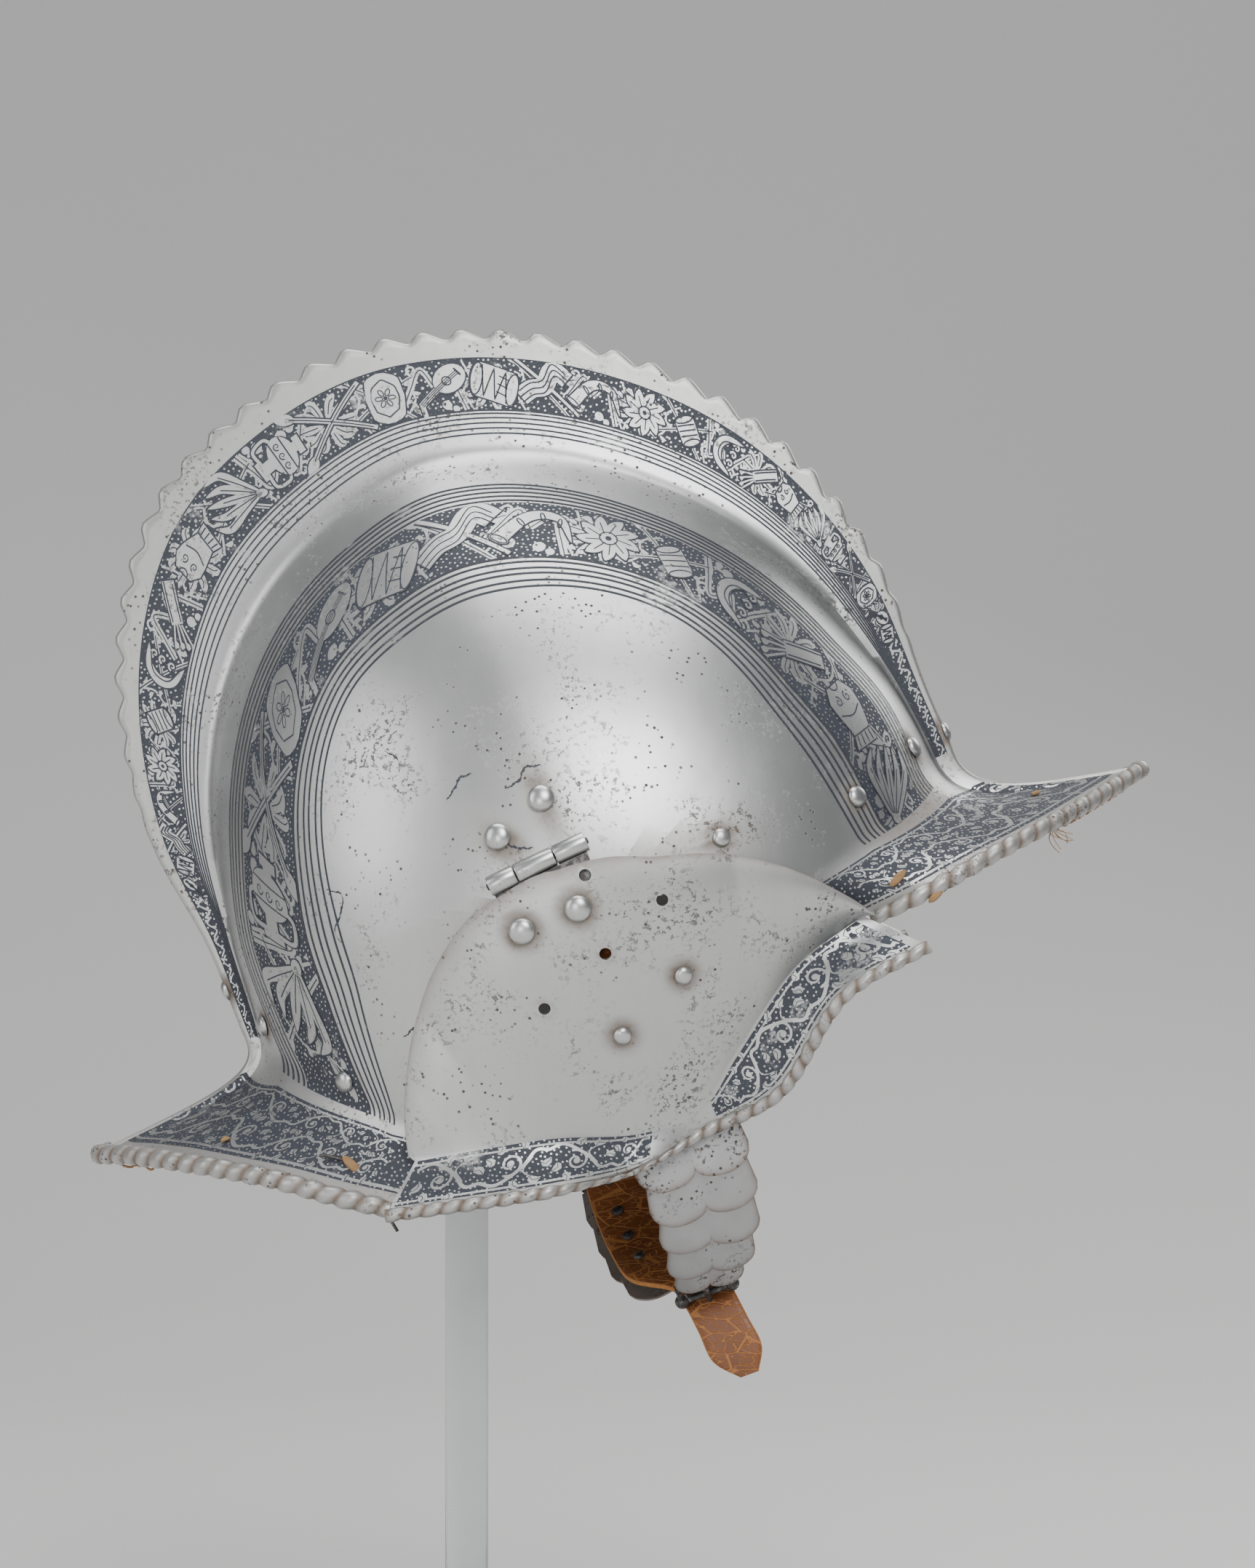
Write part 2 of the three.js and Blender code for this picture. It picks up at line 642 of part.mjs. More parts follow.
// The rope fades into a plain edge at the chin, which lies this far along from the front end.
const CHIN_PLACE = 0.39;
const CHIN_SPREAD = 0.11;
const cheekEdgePoint = (name, u) =>
  point(
    cheekTable[name + "X"](u) * cheekReach,
    -cheekTable[name + "Y"](u) * cheekHalfWidth,
    cheekTable[name + "Z"](u) * cheekDepth,
  );

function cheekTop() {
  const line = steps(120).map((t) => {
    const nearEnd = Math.max(0, 1 - 10 * Math.min(t, 1 - t));
    const lift = cheekThickness + plateClearance + 1.6 * nearEnd * rearRopeRadius;
    const deg = mix(213.5, -22.5, t);
    const radius = sideRadius("ear", deg);
    const { place, normal } = smoothSkullAt(
      radius * Math.cos(rad(deg)),
      earHeight + radius * Math.sin(rad(deg)),
    );
    return place.addScaledVector(normal, lift);
  });
  return resample(line, CHEEK_COLUMNS);
}
const cheekTops = cheekTop();

function cheekLine(k) {
  const u = k / CHEEK_COLUMNS;
  const top = cheekTops[k];
  const crease = cheekEdgePoint("crease", u);
  const edge = cheekEdgePoint("edge", u);
  const beyond = top.clone().sub(crease).setY(0).normalize().multiplyScalar(2);
  const skullY = (p) => smoothSkullAt(p.x, p.z).place.y;
  const skullRise = skullY(top) - skullY(top.clone().add(beyond));
  const span = Math.hypot(top.x - crease.x, top.z - crease.z);
  const topSlope = (skullRise / 2) * span;
  const creaseSlope = (crease.y - top.y) * 1.6;
  const rows = steps(PLATE_ROWS).map((t) => {
    const p = between(top, crease, t);
    const rise = crease.y - top.y;
    const bend = (1 - t) * (topSlope - rise) - t * (creaseSlope - rise);
    p.y = top.y + t * rise + t * (1 - t) * bend;
    return p;
  });
  const rope = edge.clone().add(crease.clone().sub(edge).setLength(0.8 * cheekRopeRadius));
  const flange = between(crease, rope, 0.5);
  flange.y += 0.12 * crease.distanceTo(rope) * Math.min(1, Math.abs(edge.y - crease.y) / 8);
  return [...rows, flange, rope];
}

function cheekSolid() {
  const outer = range(CHEEK_COLUMNS + 1).reverse().map(cheekLine);
  const normals = gridNormals(outer);
  const inner = offsetLines(outer, normals, -cheekThickness);
  const edge = steps(200).map((u) => cheekEdgePoint("edge", 1 - u));
  const count = Math.round((lengths(edge)[200] / ropePitch) * ROPE_STEPS);
  const edgeNormals = normals.map((line) => line[line.length - 1]);
  const chin = (u) => Math.exp(-(((u - CHIN_PLACE) / CHIN_SPREAD) ** 4));
  const radius = (u) => mix(cheekRopeRadius, 0.75 * cheekThickness, chin(u));
  const bead = ropeBead(resample(edge, count), polyline(edgeNormals), radius, -1);
  return plate(outer, inner, [], bead).subtract(rivetHoles("cheek")).subtract(breathHoles());
}

const cheekLines = range(CHEEK_COLUMNS + 1).map(cheekLine);
const cheekAt = (x, z) => facetAt(cheekLines, gridNormals(cheekLines), x, z);

// Rivets: a domed head outside, a shank, and a plain hammered end inside
const RIVET_RADIUS = { lining: liningRivetRadius, hinge: hingeRivetRadius, strap: strapRivetRadius };
const stackOf = (kind, thickness) =>
  thickness + pieceGap + (kind === "hinge" ? leafThickness + pieceGap : 0);

function rivetGeometry(kind, stack) {
  const r = RIVET_RADIUS[kind];
  const crownHeight = 0.62 * r;
  const profile = [
    [0, -stack - shankRadius],
    [shankRadius, -stack - shankRadius],
    [shankRadius, 1.5 * pieceGap],
    [r, 1.5 * pieceGap],
    [0.72 * r, pieceGap + 0.72 * crownHeight],
    [0, pieceGap + crownHeight],
  ];
  return new THREE.LatheGeometry(
    profile.map(([x, y]) => new THREE.Vector2(x, y)),
    RIVET_SIDES,
  );
}

const rivetSeat = (plateName, rivet) =>
  (plateName === "skull" ? skullAt : cheekAt)(rivet.x * bowlRadius, rivet.z * bowlRadius);
const strapStack = strapThickness + 2 * pieceGap;

function rivetPieces() {
  const made = [];
  for (const [plateName, list, thickness] of [
    ["skull", SKULL_RIVETS, skullThickness],
    ["cheek", CHEEK_RIVETS, cheekThickness],
  ]) {
    for (const rivet of list) {
      const seat = rivetSeat(plateName, rivet);
      let stack = stackOf(rivet.kind, thickness);
      if (rivet.name === "cheek_rivet_3" || rivet.name === "cheek_rivet_4") stack += strapStack;
      const body = manifold(placed(rivetGeometry(rivet.kind, stack), seat.place, seat.normal));
      made.push([rivet.name, body]);
    }
  }
  return made;
}

// The two rivets on the comb's foot, front and rear, stand in the middle plane.
function ridgeRivet(deg, direction) {
  const place = onSide(anchorRadius("edge", deg), deg).setY(0);
  return { place, normal: point(direction, 0, 0) };
}
const RIDGE_RIVETS = [
  { name: "front_ridge_rivet", seat: ridgeRivet(6, 1) },
  { name: "rear_ridge_rivet", seat: ridgeRivet(173, -1) },
];

function holeThrough(seat, radius, depth) {
  const a = seat.place.clone().addScaledVector(seat.normal, depth);
  const b = seat.place.clone().addScaledVector(seat.normal, -depth);
  return manifold(rodBetween(a, b, radius, HOLE_SIDES));
}

function rivetHoles(plateName) {
  const list = plateName === "skull" ? SKULL_RIVETS : CHEEK_RIVETS;
  const depth = plateName === "skull" ? 4 : 5;
  const right = list.map((rivet) =>
    holeThrough(rivetSeat(plateName, rivet), shankRadius + pieceGap, depth),
  );
  const both = plateName === "skull" ? [...right, ...right.map(mirroredSolid)] : right;
  const ridge = RIDGE_RIVETS.map(({ seat }) => holeThrough(seat, shankRadius + pieceGap, 9));
  return wasm.Manifold.union(plateName === "skull" ? [...both, ...ridge] : both);
}

const breathHoles = () =>
  wasm.Manifold.union(
    BREATH_HOLES.map((h) => holeThrough(cheekAt(h.x * bowlRadius, h.z * bowlRadius), breathHoleRadius, 5)),
  );

// The hinge: three knuckles on a pin, with both leaves inside the plates
const hingeCentre = point(-0.0833 * bowlRadius, 0, 0.26 * bowlRadius);
hingeCentre.y = skullAt(hingeCentre.x, hingeCentre.z).place.y + 0.2;
const hingeAxis = point(Math.cos(rad(hingeSlope)), 0, Math.sin(rad(hingeSlope)));
const alongHinge = (share) => hingeCentre.clone().addScaledVector(hingeAxis, (share - 0.5) * hingeLength);
const KNUCKLES = { upper: [[0, 0.27], [0.68, 1]], lower: [[0.28, 0.67]] };

function knuckles(spans) {
  return spans.map(([a, b]) => manifold(rodBetween(alongHinge(a), alongHinge(b), hingeRadius, KNUCKLE_SIDES)));
}

function hingeNotch() {
  const margin = 2;
  const box = new THREE.BoxGeometry(hingeLength + 2 * margin, 24, 2 * hingeRadius + 12);
  box.translate(0, 0, hingeRadius + pieceGap + 0.4 - (hingeRadius + 6));
  box.rotateY(-rad(hingeSlope));
  box.translate(hingeCentre.x, hingeCentre.y, hingeCentre.z);
  return manifold(box);
}
const hingeNotches = () => wasm.Manifold.union([hingeNotch(), mirroredSolid(hingeNotch())]);

// A leaf lies against the inside of its plate: seatAt gives the plate's outer surface.
function leaf(seatAt, thickness, low, high) {
  const back = thickness + pieceGap;
  const outer = steps(3).map((u) =>
    steps(2).map((v) => {
      const x = hingeCentre.x + (u - 0.5) * (hingeLength - 2);
      const z = mix(low, high, v) + (x - hingeCentre.x) * Math.tan(rad(hingeSlope));
      const { place, normal } = seatAt(x, z);
      return place.addScaledVector(normal, -back);
    }),
  );
  const inner = outer.map((line) => line.map((p) => p.clone().add(point(0, leafThickness, 0))));
  return plate(outer, inner);
}

function clearOf(spans, low, high) {
  const boxes = spans.map(([a, b]) => {
    const from = (a - 0.5) * hingeLength - pieceGap;
    const to = (b - 0.5) * hingeLength + pieceGap;
    const box = new THREE.BoxGeometry(to - from, 30, high - low);
    box.translate((from + to) / 2, 0, (high + low) / 2 - hingeCentre.z);
    box.rotateY(-rad(hingeSlope));
    box.translate(hingeCentre.x, hingeCentre.y, hingeCentre.z);
    return manifold(box);
  });
  return wasm.Manifold.union(boxes);
}

function hingePieces() {
  const bore = manifold(
    rodBetween(alongHinge(-0.1), alongHinge(1.1), hingePinRadius + pieceGap, HOLE_SIDES),
  );
  const z = hingeCentre.z;
  const reach = hingeRadius + pieceGap;
  const upperLeaf = leaf(skullAt, skullThickness, z - leafOverlap, z + leafHeight);
  const upper = wasm.Manifold.union([upperLeaf, ...knuckles(KNUCKLES.upper)])
    .subtract(clearOf(KNUCKLES.lower, z - 0.5 * leafHeight, z + reach))
    .subtract(bore)
    .subtract(leafHoles(SKULL_RIVETS, "skull"));
  const lowerLeaf = leaf(cheekOrSkull, cheekThickness, z - leafHeight, z + leafOverlap);
  const lower = wasm.Manifold.union([lowerLeaf, ...knuckles(KNUCKLES.lower)])
    .subtract(clearOf(KNUCKLES.upper, z - reach, z + 0.5 * leafHeight))
    .subtract(bore)
    .subtract(leafHoles(CHEEK_RIVETS, "cheek"))
    .subtract(breathHoles());
  const pin = manifold(rodBetween(alongHinge(-0.01), alongHinge(1.01), hingePinRadius, HOLE_SIDES));
  return [
    ["hinge_upper_leaf", upper],
    ["hinge_lower_leaf", lower],
    ["hinge_pin", pin],
  ];
}

// Above the cheekpiece's own outline, its surface is the skull's, moved out.
function cheekOrSkull(x, z) {
  const deg = THREE.MathUtils.radToDeg(turnOf(x, z - earHeight));
  const above = Math.hypot(x, z - earHeight) > sideRadius("ear", deg) - 2;
  if (!above) return cheekAt(x, z);
  const seat = smoothSkullAt(x, z);
  return { place: seat.place.addScaledVector(seat.normal, cheekThickness + plateClearance), normal: seat.normal };
}

const leafHoles = (list, plateName) =>
  wasm.Manifold.union(
    list
      .filter((rivet) => rivet.kind === "hinge")
      .map((rivet) => holeThrough(rivetSeat(plateName, rivet), shankRadius + pieceGap, 8)),
  );

// The chin strap: two leather straps riveted inside the cheekpieces, each with a row of overlapping
// scales outside, that meet at a buckle below the chin. The right one carries the buckle, and the
// left one runs through it and ends in a free tail.
// Under the cheekpiece: x and z are shares of bowlRadius, and depth is from the plate's outer face.
const STRAP_SEATS = {
  right: [
    { x: 0.037, z: 0.035, depth: 5.2, half: 1 },
    { x: 0.037, z: -0.095, depth: 5.2, half: 1 },
    { x: 0.027, z: -0.225, depth: 8, half: 1 },
    { x: 0.02, z: -0.32, depth: 10.4, half: 1 },
  ],
  left: [
    { x: 0.04, z: 0.035, depth: 5.2, half: 1 },
    { x: 0.035, z: -0.09, depth: 5.2, half: 1 },
    { x: -0.035, z: -0.225, depth: 7.4, half: 1 },
    { x: -0.11, z: -0.32, depth: 8.2, half: 1 },
  ],
};
// Below the cheekpiece: x and y are shares of strapHang, z of strapDrop, half of strapHalfWidth.
const STRAP_HANG = {
  right: [
    { x: 0, y: -0.868, z: -0.595, half: 0.97 },
    { x: -0.02, y: -0.72, z: -0.725, half: 0.92 },
    { x: -0.08, y: -0.5, z: -0.845, half: 0.78 },
    { x: -0.15, y: -0.27, z: -0.932, half: 0.62 },
  ],
  left: [
    { x: -0.335, y: 0.9, z: -0.575, half: 1 },
    { x: -0.35, y: 0.76, z: -0.7, half: 1 },
    { x: -0.33, y: 0.5, z: -0.815, half: 1 },
    { x: -0.275, y: 0.24, z: -0.89, half: 1 },
    { x: -0.2, y: 0.06, z: -0.948, half: 0.56 },
    { x: -0.17, y: -0.095, z: -1.003, half: 0.53 },
  ],
};
// The tail below the buckle: x and y are shares of strapHang, drop of tailLength.
const TAIL = [
  { x: -0.15, y: -0.15, drop: 0.35, half: 0.53 },
  { x: -0.132, y: -0.18, drop: 0.72, half: 0.53 },
  { x: -0.11, y: -0.19, drop: 1, half: 0.2 },
];
const SCALE_HALVES = { right: [0.62, 0.78, 0.88, 0.95, 1, 1], left: [0.95, 1, 1, 1, 1, 1] };
const SCALE_START = { right: 3.5, left: 6 };
// How many piece gaps each scale's lower edge stands off the scale below
const SCALE_GAPS = { right: 5, left: 3.5 };

function strapSections(side) {
  const flip = side === "left" ? mirrored : (p) => p;
  const seats = STRAP_SEATS[side].map((row) => {
    const { place, normal } = cheekAt(row.x * bowlRadius, row.z * bowlRadius);
    return { place: flip(place.addScaledVector(normal, -row.depth)), half: row.half };
  });
  const hang = STRAP_HANG[side].map((row) => ({
    place: point(row.x * strapHang, row.y * strapHang, row.z * strapDrop),
    half: row.half,
  }));
  const tail = TAIL.map((row) => ({
    place: point(row.x * strapHang, row.y * strapHang, -strapDrop - row.drop * tailLength),
    half: row.half,
  }));
  return [...seats, ...hang, ...(side === "left" ? tail : [])];
}

// A strap's middle line and half width, for a share of the way down
function strapPath(side) {
  const rows = strapSections(side);
  const knots = steps(rows.length - 1);
  const half = smooth(knots, rows.map((row) => row.half * strapHalfWidth));
  const curve = route(rows.map((row) => row.place));
  const fine = steps(160);
  const along = lengths(fine.map(curve));
  const shareAt = smooth(along, fine);
  const shareAlong = smooth(fine, along);
  return { curve, half, shareAt, shareAlong, length: along[160], count: rows.length };
}
const STRAPS = { right: strapPath("right"), left: strapPath("left") };

// Directions on a strap: down its length, and out from its face away from the head
function strapAxes(side, share) {
  const { curve } = STRAPS[side];
  const down = curve(Math.min(share + 0.01, 1)).sub(curve(Math.max(share - 0.01, 0))).normalize();
  const out = down.clone().cross(point(side === "left" ? -1 : 1, 0, 0)).normalize();
  return { down, out };
}

function strapSolid(side) {
  const { curve, half, count } = STRAPS[side];
  const corners = [
    [-1, 0.5],
    [1, 0.5],
    [1, -0.5],
    [-1, -0.5],
  ];
  const lines = corners.map(([a, b]) =>
    steps(2 * count).map((share) =>
      curve(share)
        .addScaledVector(strapAxes(side, share).out, b * strapThickness)
        .add(point(a * half(share), 0, 0)),
    ),
  );
  const soup = [];
  lines.forEach((line, k) => bridge(soup, lines[(k + 1) % 4], line));
  fan(soup, lines.map((line) => line[0]));
  fan(soup, lines.map((line) => line[line.length - 1]).reverse());
  const leather = side === "left" ? solid(turnedOver(soup)) : solid(soup);
  const rivets = CHEEK_RIVETS.filter((rivet) => rivet.kind === "strap").map((rivet) =>
    holeThrough(rivetSeat("cheek", rivet), shankRadius + pieceGap, 12),
  );
  const holes = side === "left" ? rivets.map(mirroredSolid) : rivets;
  return leather.subtract(wasm.Manifold.union(holes));
}

function turnedOver(soup) {
  return range(soup.length).map((i) => soup[i % 3 === 0 ? i : i % 3 === 1 ? i + 1 : i - 1]);
}

// One scale: a thin plate with two lobes at its lower edge
function scaleGeometry(half) {
  const top = scaleHeight / 2;
  const low = -scaleHeight / 2;
  const lobe = half / 2;
  const outline = new THREE.Shape();
  outline.moveTo(-0.93 * half, top);
  outline.lineTo(-half, low + lobe);
  outline.quadraticCurveTo(-half, low, -lobe, low);
  outline.quadraticCurveTo(-0.2 * lobe, low, 0, low + 0.35 * lobe);
  outline.quadraticCurveTo(0.2 * lobe, low, lobe, low);
  outline.quadraticCurveTo(half, low, half, low + lobe);
  outline.lineTo(0.93 * half, top);
  return new THREE.ExtrudeGeometry(outline, {
    depth: scaleThickness,
    bevelEnabled: false,
    curveSegments: 3,
  });
}

// Scales are counted from the buckle up, and each hangs over the one below.
function scaleSolid(side, index) {
  const strap = STRAPS[side];
  const tail = side === "left" ? strap.length - strapEndLength() : strap.length;
  const share = strap.shareAt(tail + SCALE_START[side] - scaleHeight / 2 - index * scalePitch);
  const { down, out } = strapAxes(side, share);
  const lean = (scaleThickness + SCALE_GAPS[side] * pieceGap) / scalePitch;
  const up = down.clone().negate().addScaledVector(out, -lean).normalize();
  const across = up.clone().cross(out).normalize();
  const face = across.clone().cross(up);
  const middle = strap.curve(share);
  const under = steps(8).map((t) => {
    const spot = strap.shareAt(strap.shareAlong(share) + (t - 0.5) * scaleHeight);
    return strap.curve(Math.min(spot, 1)).sub(middle).dot(face);
  });
  const lift = Math.max(...under) + strapThickness / 2 + 3 * pieceGap;
  const place = middle.addScaledVector(face, lift);
  const geometry = scaleGeometry(SCALE_HALVES[side][index] * scaleHalfWidth);
  geometry.applyMatrix4(new THREE.Matrix4().makeBasis(across, up, face).setPosition(place));
  return manifold(geometry);
}

// The part of the left strap that is narrow: from its shoulder to the tail's tip
function strapEndLength() {
  const { shareAt, length, count } = STRAPS.left;
  const shoulder = (STRAP_SEATS.left.length + 3) / (count - 1);
  const along = steps(100).map((t) => t * length);
  return length - along.find((a) => shareAt(a) >= shoulder);
}

// The buckle: a frame of round bars with a knob at each end of its lower bar, and a prong over it
function bucklePieces() {
  const under = STRAP_HANG.left[STRAP_HANG.left.length - 1];
  const tongue = point(under.x * strapHang, under.y * strapHang, under.z * strapDrop);
  const share = (STRAP_SEATS.left.length + STRAP_HANG.left.length - 1) / (STRAPS.left.count - 1);
  const { out } = strapAxes("left", share);
  const standOff = strapThickness / 2 + 3 * pieceGap + buckleBarRadius;
  const low = tongue.clone().addScaledVector(out, -standOff);
  const strapEnd = STRAPS.right.curve(1);
  const high = strapEnd.clone().addScaledVector(
    strapAxes("right", 1).down,
    pieceGap + buckleBarRadius + 0.2,
  );
  high.x = low.x;
  const corner = (centre, direction) =>
    centre.clone().add(point(direction * buckleHalfWidth, 0, 0));
  const bars = [
    rodBetween(corner(low, -1), corner(low, 1), buckleBarRadius, BAR_SIDES),
    rodBetween(corner(high, -1), corner(high, 1), buckleBarRadius, BAR_SIDES),
    rodBetween(corner(low, -1), corner(high, -1), 0.8 * buckleBarRadius, BAR_SIDES),
    rodBetween(corner(low, 1), corner(high, 1), 0.8 * buckleBarRadius, BAR_SIDES),
  ];
  const knobs = [-1, 1].map((direction) => {
    const knob = new THREE.SphereGeometry(buckleKnobRadius, 8, 5);
    const place = corner(low, direction);
    return knob.translate(place.x, place.y, place.z);
  });
  const frame = wasm.Manifold.union([...bars, ...knobs].map(manifold));
  const lift = buckleBarRadius + prongRadius + pieceGap;
  const side = high.clone().sub(low).cross(point(-1, 0, 0)).normalize();
  if (side.y > 0) side.negate();
  const reach = high.clone().sub(low).normalize().multiplyScalar(0.5 * prongRadius);
  const prong = manifold(
    rodBetween(
      low.clone().addScaledVector(side, lift).sub(reach),
      high.clone().addScaledVector(side, lift).sub(reach),
      prongRadius,
      BAR_SIDES,
    ),
  );
  return [
    ["buckle_frame", frame],
    ["buckle_prong", prong],
  ];
}

// The stand: a clear base and square post in one, and a pad under the helmet's crown
const helmetTurn = new THREE.Matrix4()
  .makeRotationY(-rad(tiltAngle))
  .setPosition(postBack, 0, helmetLift);
const onStand = (p) => p.clone().applyMatrix4(helmetTurn);

// The room inside the bowl, a small gap clear of the plate, closed to a point at the ear height
function headRoom() {
  const rows = steps(skullRows);
  const bowl = COLUMNS.slice(0, 9).map((column) => rows.map((s) => domePoint(column, s)));
  const inner = offsetLines(bowl, gridNormals(bowl), -skullThickness - pieceGap);
  const lines = [...inner, ...inner.map((line) => line.map(mirrored)).reverse()];
  const centre = point(0, 0, earHeight);
  const soup = [];
  for (let k = 0; k < lines.length - 1; k++) bridge(soup, lines[k], lines[k + 1]);
  const rim = [
    ...lines[0].slice().reverse(),
    ...lines.slice(1, -1).map((line) => line[0]),
    ...lines[lines.length - 1],
    ...lines
      .slice(1, -1)
      .map((line) => line[line.length - 1])
      .reverse(),
  ];
  rim.forEach((p, i) => soup.push(p, centre, rim[(i + 1) % rim.length]));
  return solid(soup.map(onStand));
}

function standPieces() {
  const corner = baseCornerRadius;
  const [x, y] = [baseLength / 2, baseWidth / 2];
  const outline = new THREE.Shape();
  outline.absarc(x - corner, y - corner, corner, 0, Math.PI / 2);
  outline.absarc(corner - x, y - corner, corner, Math.PI / 2, Math.PI);
  outline.absarc(corner - x, corner - y, corner, Math.PI, 1.5 * Math.PI);
  outline.absarc(x - corner, corner - y, corner, 1.5 * Math.PI, 2 * Math.PI);
  const base = new THREE.ExtrudeGeometry(outline, {
    depth: baseThickness,
    bevelEnabled: false,
    curveSegments: 4,
  });
  const room = headRoom();
  const crown = crownHeight(room);
  const postTop = crown - padThickness - pieceGap;
  const post = new THREE.BoxGeometry(postWidth, postWidth, postTop - baseThickness / 2);
  post.translate(0, 0, (postTop + baseThickness / 2) / 2);
  const pad = new THREE.BoxGeometry(2 * padHalfWidth, 2 * padHalfDepth, padThickness);
  pad.translate(0, 0, crown - padThickness / 2);
  return [
    ["stand", manifold(base).add(manifold(post))],
    ["stand_pad", manifold(pad).intersect(room)],
  ];
}

// The height over the post at which the room inside the bowl narrows to the post's width
function crownHeight(room) {
  const slab = 1;
  const top = helmetLift + combRadius + earHeight;
  const heights = steps(120).map((t) => mix(helmetLift, top, t));
  return heights.reverse().find((height) => {
    const probe = new THREE.BoxGeometry(postWidth, 1.5 * postWidth, slab);
    probe.translate(0, 0, height);
    const body = manifold(probe);
    return body.intersect(room).volume() > 0.99 * body.volume();
  });
}

// Finishes
const finish = (color, roughness, metalness) =>
  new THREE.MeshStandardMaterial({ color, roughness, metalness });
const FINISHES = {
  steel: finish(0xb9bbba, 0.34, 1),
  darkSteel: finish(0x4a4440, 0.45, 1),
  leather: finish(0x74401c, 0.6, 0),
  acrylic: finish(0xc4cbc9, 0.15, 0),
  felt: finish(0x6d6b68, 0.95, 0),
};

const helmet = new THREE.Group();
helmet.rotation.y = -rad(tiltAngle);
helmet.position.set(postBack, 0, helmetLift);
const stand = new THREE.Group();
const group = new THREE.Group();
group.add(helmet, stand);

function addPiece(parent, name, body, material) {
  const mesh = new THREE.Mesh(geometryOf(body), material);
  mesh.name = name;
  parent.add(mesh);
}

function addPair(name, body, material) {
  addPiece(helmet, "right_" + name, body, material);
  addPiece(helmet, "left_" + name, mirroredSolid(body), material);
}

addPiece(helmet, "skull", skullSolid(), FINISHES.steel);
addPair("cheekpiece", cheekSolid(), FINISHES.steel);
for (const [name, body] of hingePieces()) addPair(name, body, FINISHES.steel);
for (const [name, body] of rivetPieces()) addPair(name, body, FINISHES.steel);
for (const { name, seat } of RIDGE_RIVETS) {
  const body = manifold(placed(rivetGeometry("lining", skullThickness), seat.place, seat.normal));
  addPiece(helmet, name, body, FINISHES.steel);
}
for (const side of ["right", "left"]) {
  addPiece(helmet, side + "_strap", strapSolid(side), FINISHES.leather);
  for (const i of range(scaleCount)) {
    addPiece(helmet, `${side}_scale_${i + 1}`, scaleSolid(side, i), FINISHES.steel);
  }
}
for (const [name, body] of bucklePieces()) addPiece(helmet, name, body, FINISHES.darkSteel);
const standFinishes = { stand: FINISHES.acrylic, stand_pad: FINISHES.felt };
for (const [name, body] of standPieces()) addPiece(stand, name, body, standFinishes[name]);

export default group;
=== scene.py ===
"""An etched comb morion on a clear display stand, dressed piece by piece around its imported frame."""

import math

import bmesh
import bpy
import numpy as np
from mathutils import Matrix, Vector


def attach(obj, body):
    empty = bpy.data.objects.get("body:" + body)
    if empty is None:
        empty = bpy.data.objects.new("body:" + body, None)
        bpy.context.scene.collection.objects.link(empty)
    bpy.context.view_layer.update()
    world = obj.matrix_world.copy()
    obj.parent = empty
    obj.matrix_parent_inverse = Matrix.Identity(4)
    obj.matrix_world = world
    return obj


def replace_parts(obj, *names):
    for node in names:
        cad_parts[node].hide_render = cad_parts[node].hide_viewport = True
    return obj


bl_info = {
    "name": "Etched comb morion",
    "version": (1, 0, 0),
    "blender": (4, 5, 0),
    "location": "3D View > Sidebar > Morion",
    "description": "Builds the finished surfaces of an etched comb morion around its packed frame",
    "category": "Object",
}

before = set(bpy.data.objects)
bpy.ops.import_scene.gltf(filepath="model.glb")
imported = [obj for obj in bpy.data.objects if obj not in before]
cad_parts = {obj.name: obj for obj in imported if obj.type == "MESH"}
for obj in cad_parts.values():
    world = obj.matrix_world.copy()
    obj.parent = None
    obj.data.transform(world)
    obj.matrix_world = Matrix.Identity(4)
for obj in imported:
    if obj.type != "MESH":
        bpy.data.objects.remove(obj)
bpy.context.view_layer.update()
BODY = "root"

# The helmet is drawn level in millimetres and stands tilted on the post, as its solids do.
MM = 0.001
TILT = math.radians(20.3)
HELMET_PLACE = (49.0, 0.0, 240.0)

# The helmet's driving sizes in millimetres
BRIM_HALF_LENGTH = 177.4
EAR_HEIGHT = 20.0
BOWL_HALF_WIDTH = 94.0
BOWL_RADIUS = 150.0
COMB_RADIUS = 193.0
COMB_RIM_HALF_THICKNESS = 2.3
COMB_FLARE = 0.13
SCALLOP_DEPTH = 1.5
SCALLOP_PITCH = 12.2
# The scallops fade out towards these shares of the comb's edge
SCALLOP_ENDS = (0.06, 0.87)
SCALLOP_FADE = 9
SCALLOP_RIPPLE = 0.18
SKULL_THICKNESS = 1.6
EAR_REACH = 94.0
EAR_OVERLAP = 5.0
CHEEK_THICKNESS = 1.3
CHEEK_DEPTH = 63.0
CHEEK_REACH = 93.0
CHEEK_HALF_WIDTH = 88.0
CHEEK_ROPE_RADIUS = 2.1
PLATE_CLEARANCE = 1.0
PIECE_GAP = 0.3
HINGE_LENGTH = 33.0
HINGE_RADIUS = 3.2
HINGE_SLOPE = math.radians(5)
LEAF_THICKNESS = 1.3
LEAF_HEIGHT = 23.0
RIVET_RADIUS = {"lining": 3.4, "hinge": 4.2, "strap": 2.9}
SHANK_RADIUS = 1.3
BREATH_HOLE_RADIUS = 1.9
STRAP_HALF_WIDTH = 15.5
STRAP_THICKNESS = 2.2
STRAP_DROP = 110.0
STRAP_HANG = 62.0
TAIL_LENGTH = 27.0
SCALE_HALF_WIDTH = 18.5
SCALE_HEIGHT = 17.5
SCALE_THICKNESS = 0.7
SCALE_PITCH = 13.0
SCALE_COUNT = 6
BUCKLE_HALF_WIDTH = 8.4
BUCKLE_BAR_RADIUS = 1.3
BUCKLE_KNOB_RADIUS = 2.4
PRONG_RADIUS = 1.0

